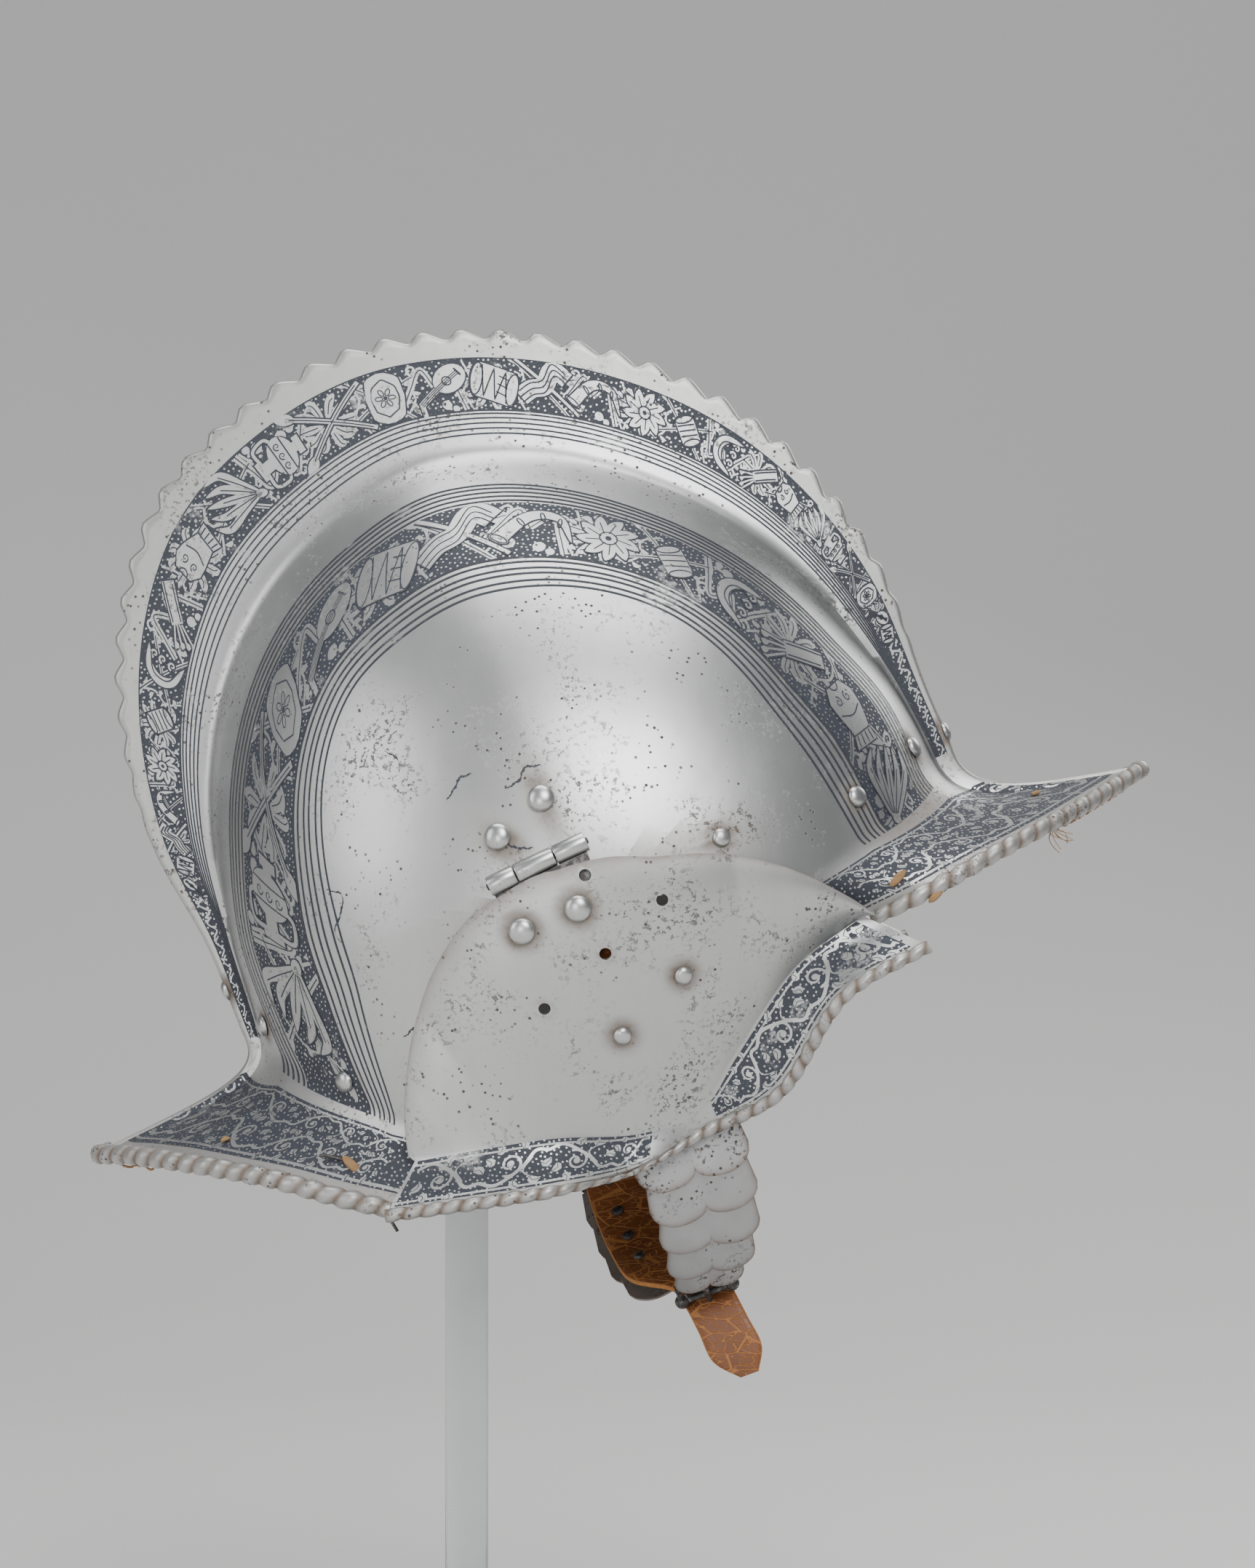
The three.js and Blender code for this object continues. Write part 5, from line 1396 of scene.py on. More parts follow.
def trophies(etching, band, first, least=3.0):
    """A close row of trophies before poles, leaves or ribbons, as large as the band is wide there."""
    u = 0.0
    index = first
    while u < band.length:
        half = band.half_at(u)
        if half < least:
            tendril(etching, band, u, min(band.length, u + 7))
            u += 6.6
            continue
        u += 0.98 * half
        if u + 0.7 * half > band.length:
            break
        kind = index % len(TROPHIES)
        flip = -1 if (index // len(TROPHIES) + index) % 2 else 1
        BACKDROPS[index % 3](Pen(etching, band, u + 0.2 * half, -12 * flip, 1.0, -flip))
        sprig(Pen(etching, band, u + 1.02 * half, 14 * flip, 0.98, flip))
        TROPHIES[kind](Pen(etching, band, u, TROPHY_TURNS[kind] * flip, 1.04, flip, level=4))
        u += 0.98 * half
        index += 1


def tendril(etching, band, start, end):
    """A short shoot for a place where the band is too narrow for a trophy."""
    pen = Pen(etching, band, start)
    reach = (end - start) / pen.unit
    pen.stem([(0, -0.4), (0.33 * reach, 0.5), (0.66 * reach, -0.5), (reach, 0.4)], 0.24)
    for share in (0.2, 0.5, 0.8):
        pen.bead(share * reach, -0.45 if share == 0.5 else 0.5, 0.25, 0.16, 40)


# Leaves of one bay of the scrolls: share along it, place across it and lean in degrees
BAY_LEAVES = ((0.12, 0.1, 120), (0.2, 0.7, 70), (0.5, -0.62, -60))
BAY_LEAVES += ((0.72, -0.55, -20), (0.88, 0.0, 20), (0.6, 0.78, 100))


def rinceau(etching, band, start=0.0, end=1.0, pitch=2.8, size=0.95, across=0.0):
    """Scrolling stems: a wave along the band with a curling shoot, leaves and a bud in every bay."""
    u = start * band.length
    side = 1
    stop = end * band.length
    while u < stop - 1.0:
        pen = Pen(etching, band, u, 0, size, side, across)
        bay = min(pitch, (stop - u) / pen.unit)
        if pen.unit < 1.5 or bay < 0.8:
            break
        stem = [(0, -0.55), (0.25 * bay, -0.75), (0.6 * bay, -0.1), (0.8 * bay, 0.6), (bay, 0.55)]
        pen.stem(stem, 0.15)
        pen.spiral(BRIGHT, 0.42 * bay, 0.12, 0.56, 1.35, 0.13, 250, 1)
        pen.bead(0.43 * bay, 0.14, 0.15, 0.15)
        for share, y, lean in BAY_LEAVES:
            angle = math.radians(lean)
            x = share * bay
            tip = (x + 0.48 * math.cos(angle), y + 0.48 * math.sin(angle))
            middle = (x + 0.24 * math.cos(angle - 0.7), y + 0.24 * math.sin(angle - 0.7))
            pen.leaf([(x, y), middle, tip], 0.36)
            pen.vein([(x, y), middle, tip], 0.5)
        pen.curve(BRIGHT, [(0.75 * bay, 0.35), (0.62 * bay, -0.3), (0.85 * bay, -0.75)], 0.1, 1)
        u += bay * pen.unit
        side = -side


def etching_piece(name, etching, side):
    """The strokes and grounds of an etching, whose kinds are ground, bright and dark."""
    points, faces, kinds = merged(etching.parts)
    if side == "both":
        kinds = kinds * 2
    new_piece(name, points, faces, "etched_ground figure_steel etched_ground", "steel", kinds, side=side)


# Bright dots of the ground, scattered on its faces and turned to lie on them
SCATTER = {"Density Max": 1.1e6, "Seed": 7}
STIPPLE_NODES = (
    ("scatter", "GeometryNodeDistributePointsOnFaces", {"distribute_method": "POISSON"}, SCATTER),
    ("dot", "GeometryNodeMeshCircle", {"fill_type": "NGON"}, {"Vertices": 6}),
    ("placed", "GeometryNodeInstanceOnPoints", {}, {}),
)
STIPPLE_LINKS = (
    ("start", "Geometry", "scatter", "Mesh"),
    ("start", "Spacing", "scatter", "Distance Min"),
    ("start", "Radius", "dot", "Radius"),
    ("scatter", "Points", "placed", "Points"),
    ("scatter", "Rotation", "placed", "Rotation"),
    ("dot", "Mesh", "placed", "Instance"),
    ("placed", "Instances", "real", "Geometry"),
)


def stipple_piece(name, etching, side):
    points, faces = on_sides(*merged(etching.ground_parts)[:2], side)
    mesh = bpy.data.meshes.new(name + "_ground")
    mesh.from_pydata(in_frame(points).tolist(), [], faces)
    normals = np.zeros(len(mesh.vertices) * 3, np.float32)
    mesh.vertices.foreach_get("normal", normals)
    places = np.zeros(len(mesh.vertices) * 3, np.float32)
    mesh.vertices.foreach_get("co", places)
    mesh.vertices.foreach_set("co", places + 0.6 * sizes().etch_lift * normals)
    tree = node_geometry("stipple", {"Spacing": "Float", "Radius": "Float"}, STIPPLE_NODES, STIPPLE_LINKS)
    values = {"Spacing": sizes().stipple_pitch, "Radius": sizes().stipple_radius}
    values["Finish"] = finish_of("figure_steel")
    return grown(bare_object(name, mesh), tree, values, name)


def brim_band(name, low, high, count):
    """The whole brim from the right ear round the point to the left one."""
    right = brim_lines(name)
    whole = np.concatenate([right, mirrored(right[::-1][1:])])
    return slice_band(whole, grid_normals(whole, (0, 0, 1)), low, high, count)


def skull_slice(low_column, high_column, brim_reach=0):
    """The skull's grid between two columns, with brim_reach cells of each brim."""
    rows = np.where((COLUMNS >= low_column - 1e-6) & (COLUMNS <= high_column + 1e-6))[0]
    first = BRIM_CELLS - brim_reach
    last = SKULL.shape[1] - first
    return (grid[rows, first:last].transpose(1, 0, 2) for grid in (SKULL, SKULL_NORMALS))

# Operators


class PieceOperator:
    bl_options = {"REGISTER", "UNDO"}


# How strong the skull's patina is, and where it lies
SKULL_STAINS = {"brim": 0.36, "ear": 0.30, "comb": 0.2, "brow": 0.6, "inside": 0.35}
EAR_STAIN_TOP = 34
EAR_STAIN_RADIUS = 30
EAR_STAIN_SPREAD = 500
BROW_STAIN_PLACE = (106.0, -50.0, 8.0)


class MORION_OT_skull(PieceOperator, bpy.types.Operator):
    """Build the skull with its comb, brims and their twisted ropes"""

    bl_idname = "morion.skull"
    bl_label = "Skull"

    def execute(self, context):
        rim = int(np.where(COLUMNS >= LINES.index("rim") - 1e-6)[0][0])
        half = np.concatenate([SKULL, self.rounded_edge()])
        outer = np.concatenate([half, mirrored(half[::-1][1:])])
        under = SKULL - SKULL_NORMALS * SKULL_THICKNESS
        low = under[rim]
        low[:, 1] = np.minimum(low[:, 1], -0.4)
        t = np.linspace(0, 1, len(outer) - 2 * rim)[:, None, None]
        bridge = low[None] * (1 - t) + mirrored(low)[None] * t
        inner = np.concatenate([under[:rim], bridge, mirrored(under[:rim][::-1])])
        points = np.concatenate([outer.reshape(-1, 3), inner.reshape(-1, 3)])
        faces = plate_faces(*outer.shape[:2])
        sample = len(faces) // 8
        away = points[faces[sample][0]] - np.array([0, 0, EAR_HEIGHT])
        meshes = [(points, facing(points, faces, away, sample))]
        stains = [self.patina_and_shade(outer, rim).ravel(), np.full(outer[..., 0].size, SKULL_STAINS["inside"])]
        for name in BRIMS:
            rope, groove = self.rope(name)
            meshes.append(rope)
            stains.append(groove)
        marks = {"patina_and_shade": np.concatenate(stains)}
        skull = new_piece("skull_plate", *joined(meshes), "plate_steel", "steel", marks=marks)
        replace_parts(skull, "skull")
        return {"FINISHED"}

    def rounded_edge(self):
        """Lines that close the comb's rim, from the right side to its middle."""
        edge = SKULL[-1]
        inward = unit(np.cross(np.gradient(edge, axis=0), np.array([0.0, 1.0, 0.0])))
        if np.dot(inward[len(inward) // 2], (0, 0, 1)) < 0:
            inward = -inward
        rounds = []
        for degrees in (35, 65, 90):
            lift = 1.1 * math.sin(math.radians(degrees))
            line = edge + inward * lift
            line[:, 1] = edge[:, 1] * math.cos(math.radians(degrees))
            rounds.append(line)
        return np.array(rounds)

    def patina_and_shade(self, outer, rim):
        """Patina round the rivets, on the brims, round the ears, on the comb and at the brow."""
        right = outer.copy()
        right[..., 1] = -np.abs(right[..., 1])
        patina_and_shade = rivet_stain(right, "right")
        column = np.arange(outer.shape[1])
        brim = np.clip((BRIM_CELLS - np.minimum(column, column[::-1])) / BRIM_CELLS, 0, 1)
        patina_and_shade = np.maximum(patina_and_shade, SKULL_STAINS["brim"] * brim[None, :])
        low = right[..., 2] < EAR_STAIN_TOP
        from_ear = np.hypot(right[..., 0], right[..., 2] - EAR_HEIGHT)
        near_ear = np.exp(-((from_ear - EAR_STAIN_RADIUS) ** 2) / EAR_STAIN_SPREAD)
        patina_and_shade = np.maximum(patina_and_shade, SKULL_STAINS["ear"] * near_ear * low)
        brow = halo(right, np.array(BROW_STAIN_PLACE), 10, 12)
        patina_and_shade[rim:-rim] = np.maximum(patina_and_shade[rim:-rim], SKULL_STAINS["comb"])
        return np.maximum(patina_and_shade, SKULL_STAINS["brow"] * brow)

    def rope(self, name):
        brim = BRIMS[name]
        fine = brim_curve(brim)(np.linspace(0, 1, 800))
        count = int(lengths(fine)[-1] / BRIM_ROPE_STEP)
        ends = np.minimum(np.arange(count + 1), count - np.arange(count + 1))
        radius = brim["rope"] * np.clip(0.72 + 0.06 * ends, 0, 1)
        return rope_tube(resample(fine, count), radius, sizes().rope_pitch / MM)


class MORION_OT_skull_etching(PieceOperator, bpy.types.Operator):
    """Build the etched bands of the comb, the bowl and the brims"""

    bl_idname = "morion.skull_etching"
    bl_label = "Skull etching"

    def execute(self, context):
        line = sizes().guard_line / MM
        comb = Etching()
        band = slice_band(*skull_slice(4, 5), 0.0, 1.0, 10)
        comb.ground(band)
        trophies(comb, band, 0)
        comb.long_lines(band, (-0.97, 0.98), line)
        foot = Band(*skull_slice(3, 4))
        comb.long_lines(foot, (-0.9, -0.45, 0.0, 0.42, 0.8), 0.8 * line)
        bowl = Etching()
        points, normals = skull_slice(1, 2, 5)
        band = slice_band(points, normals, 0.27, 0.79, 10)
        bowl.ground(band)
        trophies(bowl, band, 5)
        wide = Band(points, normals)
        bowl.long_lines(wide, (0.63, 0.72, 0.81, 0.90, 0.98), line)
        bowl.long_lines(wide, (-0.98, -0.88, -0.76, -0.67, -0.56, -0.48), line)
        brims = Etching()
        for name in BRIMS:
            band = brim_band(name, 0.32, 0.93, 10)
            brims.ground(band)
            for across in (-0.43, 0.43):
                rinceau(brims, band, 0.04, 0.96, 3.0, 0.46, across)
            brims.long_lines(band, (-0.86,), 0.9, BRIGHT)
            brims.long_lines(band, (0.9,), 0.8, BRIGHT)
        layers = (("comb", comb, "both"), ("bowl", bowl, "both"), ("brim", brims, "right"))
        for name, etching, side in layers:
            etching_piece(name + "_etching", etching, side)
            stipple_piece(name + "_stipple", etching, side)
        return {"FINISHED"}


SCARS = (
    ((-77, 54), (-73, 51), (-75, 46), (-79, 41), (-78, 36)),
    ((-32, 67), (-28, 70), (-26, 72), (-22, 72)),
    ((-14, 64), (-9, 65), (-6, 68), (-1, 67)),
    ((-70, 3), (-64, 5), (-58, 3)),
    ((-21, 50), (-17, 46), (-12, 44)),
    ((-45, 88), (-42, 84), (-43, 80)),
)


def skull_patch(points, margin):
    """A small band of the skull round some points of the side view."""
    points = np.array(points, float)
    low = points.min(axis=0) - margin
    high = points.max(axis=0) + margin
    x = np.linspace(low[0], high[0], 12)
    z = np.linspace(low[1], high[1], 8)
    seats, normals = skull_seat(*np.meshgrid(x, z, indexing="ij"))
    band = Band(seats, normals)
    u = np.interp(points[:, 0], x, band.along)
    v = 2 * (points[:, 1] - low[1]) / (high[1] - low[1]) - 1
    return band, u, v


class MORION_OT_scars(PieceOperator, bpy.types.Operator):
    """Draw the short cracks and scratches of the bowl's plain panel"""

    bl_idname = "morion.scars"
    bl_label = "Scars"

    def execute(self, context):
        scars = Etching()
        scars.lift = 0.06
        for path in SCARS:
            band, u, v = skull_patch(path, 3.0)
            t = np.linspace(0, 1, 40)
            line = route(np.stack([u, v], axis=1))(t)
            shake = 0.35 * np.sin(t * 31) * np.sin(t * 57)
            width = 0.3 + 0.9 * np.sin(np.pi * t) * (0.6 + 0.4 * np.sin(t * 43))
            half = np.interp(line[:, 0], band.along, band.half)
            v_low = line[:, 1] + (shake - width / 2) / half
            v_high = line[:, 1] + (shake + width / 2) / half
            sides = [np.stack([line[:, 0], value], axis=1) for value in (v_low, v_high)]
            scars.sheet(band, np.stack(sides, axis=1), GROUND)
        etching_piece("panel_scars", scars, "right")
        return {"FINISHED"}


class MORION_OT_cheekpieces(PieceOperator, bpy.types.Operator):
    """Build both cheekpieces with their breath holes, ropes and etched bands"""

    bl_idname = "morion.cheekpieces"
    bl_label = "Cheekpieces"

    def execute(self, context):
        for side in ("right", "left"):
            plate = self.plate(side)
            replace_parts(plate, side + "_cheekpiece")
            self.rope(side)
            self.etching(side)
        return {"FINISHED"}

    def plate(self, side):
        inner = CHEEK - CHEEK_NORMALS * CHEEK_THICKNESS
        points = np.concatenate([CHEEK.reshape(-1, 3), inner.reshape(-1, 3)])
        faces = plate_faces(*CHEEK.shape[:2])
        faces = facing(points, faces, (0, -1, 0), len(faces) // 8)
        rows = np.arange(CHEEK.shape[1])
        patina_and_shade = np.maximum(rivet_stain(CHEEK, "right"), 0.65 * np.exp(-rows / 1.6))
        patina_and_shade = np.maximum(patina_and_shade, 0.35 * np.exp(-rows[::-1] / 2.5))
        for place, _ in self.hole_seats():
            patina_and_shade = np.maximum(patina_and_shade, 0.4 * halo(CHEEK, place, BREATH_HOLE_RADIUS, 0.8))
        marks = {"patina_and_shade": np.concatenate([patina_and_shade.ravel(), np.full(patina_and_shade.size, 0.4)])}
        name = side + "_cheek_plate"
        piece = new_piece(name, points, faces, "plate_steel", "steel", marks=marks, side=side)
        self.pierce(piece, side)
        return piece

    def hole_seats(self):
        return [cheek_seat(x * BOWL_RADIUS, z * BOWL_RADIUS) for x, z in BREATH_HOLES]

    def pierce(self, piece, side):
        drills = []
        for place, normal in self.hole_seats():
            centres = np.array([place + normal * depth for depth in (4.0, 0.0, -4.0)])
            drills.append(tube(centres, BREATH_HOLE_RADIUS, 20))
        points, faces = on_sides(*joined(drills), side)
        mesh = bpy.data.meshes.new("breath_holes")
        mesh.from_pydata(in_frame(points).tolist(), [], faces)
        cutter = bare_object("breath_holes", mesh)
        cut = piece.modifiers.new("breath_holes", "BOOLEAN")
        cut.operation = "DIFFERENCE"
        cut.solver = "EXACT"
        cut.object = cutter
        piece.data = modified_mesh(piece, cut)
        bpy.data.objects.remove(cutter)

    def rope(self, side):
        fine = CHEEK_ROPE(np.linspace(0, 1, 600))
        count = int(lengths(fine)[-1] / CHEEK_ROPE_STEP)
        chin = chin_share(np.linspace(0, 1, count + 1))
        radius = CHEEK_ROPE_RADIUS + (0.62 * CHEEK_THICKNESS - CHEEK_ROPE_RADIUS) * chin
        rope, patina_and_shade = rope_tube(resample(fine, count), radius, 0.88 * sizes().rope_pitch / MM)
        new_piece(side + "_cheek_rope", *rope, "plate_steel", "steel", marks={"patina_and_shade": patina_and_shade}, side=side)

    def etching(self, side):
        etching = Etching()
        for start, end in CHEEK_BANDS:
            rows = slice(int(start * CHEEK_COLUMNS), int(end * CHEEK_COLUMNS) + 1)
            flange, normals = (grid[rows, CHEEK_ROWS - 1 :] for grid in (CHEEK, CHEEK_NORMALS))
            band = slice_band(flange, normals, 0.1, 0.93, 8)
            etching.ground(band)
            rinceau(etching, band, 0.02, 0.99)
            etching.long_lines(band, (-0.78, 0.88), 0.7, BRIGHT)
        etching_piece(side + "_cheek_etching", etching, side)
        stipple_piece(side + "_cheek_stipple", etching, side)


def rivet_head_mesh():
    """A domed head of radius 1 with a flat rim, standing on the plate at height 0."""
    profile = [(0.0, 0.0), (0.97, 0.0), (1.0, 0.06), (0.98, 0.14)]
    profile += [(0.98 * math.cos(a), 0.14 + 0.5 * math.sin(a)) for a in np.radians((14, 28, 42, 56, 70, 82))]
    return lathe("rivet_head", profile, 28, closed_top=0.64)


def lathe(name, profile, sides, closed_top):
    points = [(0.0, 0.0, profile[0][1])]
    rings = profile[1:]
    for radius, height in rings:
        for k in range(sides):
            angle = 2 * math.pi * k / sides
            points.append((radius * math.cos(angle), radius * math.sin(angle), height))
    points.append((0.0, 0.0, closed_top))
    faces = []
    for k in range(sides):
        after = (k + 1) % sides
        faces.append((0, 1 + after, 1 + k))
        for ring in range(len(rings) - 1):
            low = 1 + ring * sides
            faces.append((low + k, low + after, low + sides + after, low + sides + k))
        last = 1 + (len(rings) - 1) * sides
        faces.append((last + k, last + after, len(points) - 1))
    mesh = bpy.data.meshes.new(name)
    mesh.from_pydata(points, [], faces)
    mesh.shade_smooth()
    return mesh


def fastener_tree():
    """A head outside and a shank with a hammered end inside, at every point of a mesh."""
    vector = {"data_type": "FLOAT_VECTOR"}
    nodes = [
        ("normal", "GeometryNodeInputNamedAttribute", vector, {"Name": "seat_normal"}),
        ("align", "FunctionNodeAlignEulerToVector", {"axis": "Z"}, {}),
        ("join", "GeometryNodeJoinGeometry", {}, {}),
    ]
    links = [("normal", "Attribute", "align", "Vector")]
    for part in ("head", "shank"):
        shape, size, placed = (part + suffix for suffix in ("_shape", "_scale", "_placed"))
        nodes += [
            (shape, "GeometryNodeObjectInfo", {}, {}),
            (size, "GeometryNodeInputNamedAttribute", vector, {"Name": size}),
            (placed, "GeometryNodeInstanceOnPoints", {}, {}),
        ]
        links += [
            ("start", part.title(), shape, "Object"),
            ("start", "Geometry", placed, "Points"),
            (shape, "Geometry", placed, "Instance"),
            ("align", "Rotation", placed, "Rotation"),
            (size, "Attribute", placed, "Scale"),
            (placed, "Instances", "join", "Geometry"),
        ]
    links.append(("join", "Geometry", "real", "Geometry"))
    return node_geometry("fasteners", {"Head": "Object", "Shank": "Object"}, nodes, links)


def fasteners(name, seats, finish):
    """One piece with a rivet on every seat: place, normal, head radius and grip in level millimetres."""
    places = np.array([place + normal * PIECE_GAP for place, normal, _, _ in seats])
    normals = in_frame(np.array([seat[1] for seat in seats])) - in_frame(np.zeros(3))
    mesh = bpy.data.meshes.new(name)
    mesh.from_pydata(in_frame(places).tolist(), [], [])
    heads = np.array([[seat[2] * MM] * 3 for seat in seats])
    shanks = np.array([[SHANK_RADIUS * MM, SHANK_RADIUS * MM, (seat[3] + PIECE_GAP) * MM] for seat in seats])
    for key, values in (("seat_normal", unit(normals)), ("head_scale", heads), ("shank_scale", shanks)):
        layer = mesh.attributes.new(key, "FLOAT_VECTOR", "POINT")
        layer.data.foreach_set("vector", values.astype(np.float32).ravel())
    head = bare_object(name + "_head", rivet_head_mesh())
    shank_profile = [(0, -1.35), (1.25, -1.35), (1.7, -1.2), (1.5, -1.02), (1.0, -1.0), (1.0, -0.02)]
    shank = bare_object(name + "_shank", lathe(name + "_shank", shank_profile, 16, closed_top=-0.02))
    values = {"Head": head, "Shank": shank, "Finish": finish_of(finish)}
    piece = grown(bare_object(name, mesh), fastener_tree(), values, name, 40)
    bpy.data.objects.remove(head)
    bpy.data.objects.remove(shank)
    return piece


class MORION_OT_rivets(PieceOperator, bpy.types.Operator):
    """Set every domed rivet of the plates, the hinges and the strap"""

    bl_idname = "morion.rivets"
    bl_label = "Rivets"

    def execute(self, context):
        seats = [(place, normal, RIVET_RADIUS[kind], grip) for _, place, normal, kind, grip in RIVETS]
        piece = fasteners("rivets", seats, "rivet_head_steel")
        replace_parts(piece, *[row[0] for row in RIVETS])
        return {"FINISHED"}


# The hinges

HINGE_CENTRE = skull_seat(*HINGE_PLACE)[0] + (0.0, 0.2, 0.0)
HINGE_AXIS = np.array([math.cos(HINGE_SLOPE), 0.0, math.sin(HINGE_SLOPE)])


def along_hinge(share):
    return HINGE_CENTRE + HINGE_AXIS * (share - 0.5) * HINGE_LENGTH


def knuckle(start, end):
    """A rolled knuckle with softened ends, bored for its pin."""
    ends = ((0.0, 0.86), (0.012, 0.97), (0.03, 1.0), (0.97, 1.0), (0.988, 0.97), (1.0, 0.86))
    centres = np.array([along_hinge(start + (end - start) * s) for s, _ in ends])
    return tube(centres, [HINGE_RADIUS * r for _, r in ends], 24)


def leaf_plate(seat, thickness, low, high):
    """A hinge leaf inside its plate: a thin slab that follows the plate's inner face."""
    columns, rows = 12, 8
    grid = np.zeros((columns + 1, rows + 1, 3))
    for i in range(columns + 1):
        for k in range(rows + 1):
            x = HINGE_CENTRE[0] + (i / columns - 0.5) * (HINGE_LENGTH - 2)
            z = low + (high - low) * k / rows + (x - HINGE_CENTRE[0]) * math.tan(HINGE_SLOPE)
            place, normal = seat(x, z)
            grid[i, k] = place - normal * (thickness + PIECE_GAP)
    inner = grid + np.array([0.0, LEAF_THICKNESS, 0.0])
    points = np.concatenate([grid.reshape(-1, 3), inner.reshape(-1, 3)])
    return points, facing(points, plate_faces(columns + 1, rows + 1), (0, -1, 0))


def cheek_or_skull(x, z):
    """Above the cheekpiece's outline its surface is the skull's, moved out."""
    radius = math.hypot(x, z - EAR_HEIGHT)
    if radius <= side_radius("ear", turn_of(x, z - EAR_HEIGHT)) - 2:
        return cheek_seat(x, z)
    place, normal = skull_seat(x, z)
    return place + normal * (CHEEK_THICKNESS + PLATE_CLEARANCE), normal


class MORION_OT_hinges(PieceOperator, bpy.types.Operator):
    """Build the two cheekpiece hinges with their leaves and pins"""

    bl_idname = "morion.hinges"
    bl_label = "Hinges"

    def execute(self, context):
        z = HINGE_CENTRE[2]
        leaves = {
            "upper": (skull_seat, SKULL_THICKNESS, z + HINGE_RADIUS, z + LEAF_HEIGHT),
            "lower": (cheek_or_skull, CHEEK_THICKNESS, z - LEAF_HEIGHT, z - HINGE_RADIUS),
        }
        for side in ("right", "left"):
            for leaf, spans in KNUCKLES.items():
                parts = [(0, knuckle(*span)) for span in spans] + [(1, leaf_plate(*leaves[leaf]))]
                points, faces, kinds = merged(parts)
                name = f"{side}_hinge_{leaf}"
                steels = "rivet_head_steel dark_iron"
                piece = new_piece(name, points, faces, steels, "steel", kinds, sharp=35, side=side)
                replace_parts(piece, name + "_leaf")
            centres = np.array([along_hinge(s) for s in (-0.018, -0.008, 1.008, 1.018)])
            rod = tube(centres, (0.8, 1.1, 1.1, 0.8), 16)
            pin = new_piece(side + "_hinge_pin_rod", *rod, "dark_iron", "steel", side=side)
            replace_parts(pin, side + "_hinge_pin")
        return {"FINISHED"}


# The chin strap


def hung(x, y, z):
    """A place below the cheekpieces, from its shares of the strap's hang and drop."""
    return np.array([x * STRAP_HANG, y * STRAP_HANG, z * STRAP_DROP])


def strap_rows(side):
    """Places down the middle of a strap, each with its share of the half width."""
    rows = []
    for x, z, depth in STRAP_SEATS[side]:
        place, normal = cheek_seat(x * BOWL_RADIUS, z * BOWL_RADIUS)
        place = place - normal * depth
        rows.append((mirrored(place) if side == "left" else place, 1))
    rows += [(hung(x, y, z), half) for x, y, z, half in STRAP_POINTS[side]]
    if side == "left":
        for x, y, drop, half in TAIL_POINTS:
            rows.append((hung(x, y, -1) - np.array([0, 0, drop * TAIL_LENGTH]), half))
    return rows


class Strap:
    """The middle line of one side's strap, its half width and its directions."""

    def __init__(self, side):
        self.side = side
        rows = strap_rows(side)
        knots = np.linspace(0, 1, len(rows))
        self.count = len(rows)
        self.curve = route([row[0] for row in rows])
        self.half = smooth(knots, [row[1] * STRAP_HALF_WIDTH for row in rows])
        self.fine = np.linspace(0, 1, STRAP_SAMPLES)
        self.along = lengths(self.curve(self.fine))
        # The scales end where the left strap narrows to its tail, and at the end of the right one
        shoulder = (len(STRAP_SEATS[side]) + 3) / (self.count - 1) if side == "left" else 1.0
        self.scale_end = np.interp(shoulder, self.fine, self.along)

    def share_at(self, distance):
        return np.interp(distance, self.along, self.fine)

    def axes(self, share):
        down = unit(self.curve(np.minimum(share + 0.01, 1)) - self.curve(np.maximum(share - 0.01, 0)))
        out = unit(np.cross(down, np.array([-1.0 if self.side == "left" else 1.0, 0.0, 0.0])))
        return down, out


def strap_mesh(strap):
    """Leather with rounded edges: a raw_edge mark tells its cut sides from its faces."""
    shares = np.linspace(0, 1, 150)
    centre = strap.curve(shares)
    _, out = strap.axes(shares)
    half = strap.half(shares)
    bevel = 0.45
    thick = STRAP_THICKNESS / 2
    ring = [(edge, -0.5 if abs(edge) == 1 else 0, thick, 0.0) for edge in np.linspace(-1, 1, 9)]
    ring += [(1, 0, height, 1.0) for height in (thick - bevel, bevel - thick)]
    ring += [(-edge, inset, -height, mark) for edge, inset, height, mark in ring]
    points = []
    for edge, inset, height, _ in ring:
        line = centre + out * height
        line[:, 0] += edge * (half + inset)
        points.append(line)
    points = np.stack(points, axis=1)
    rows, columns = points.shape[:2]
    faces = sleeve_faces(rows, columns)
    faces.append(tuple(range(columns)))
    faces.append(tuple((rows - 1) * columns + k for k in reversed(range(columns))))
    flat = points.reshape(-1, 3)
    sample = 40
    outwards = (flat[faces[sample][0]] + flat[faces[sample][2]]) / 2 - centre[sample // columns]
    return flat, facing(flat, faces, outwards, sample), np.tile([row[3] for row in ring], rows)


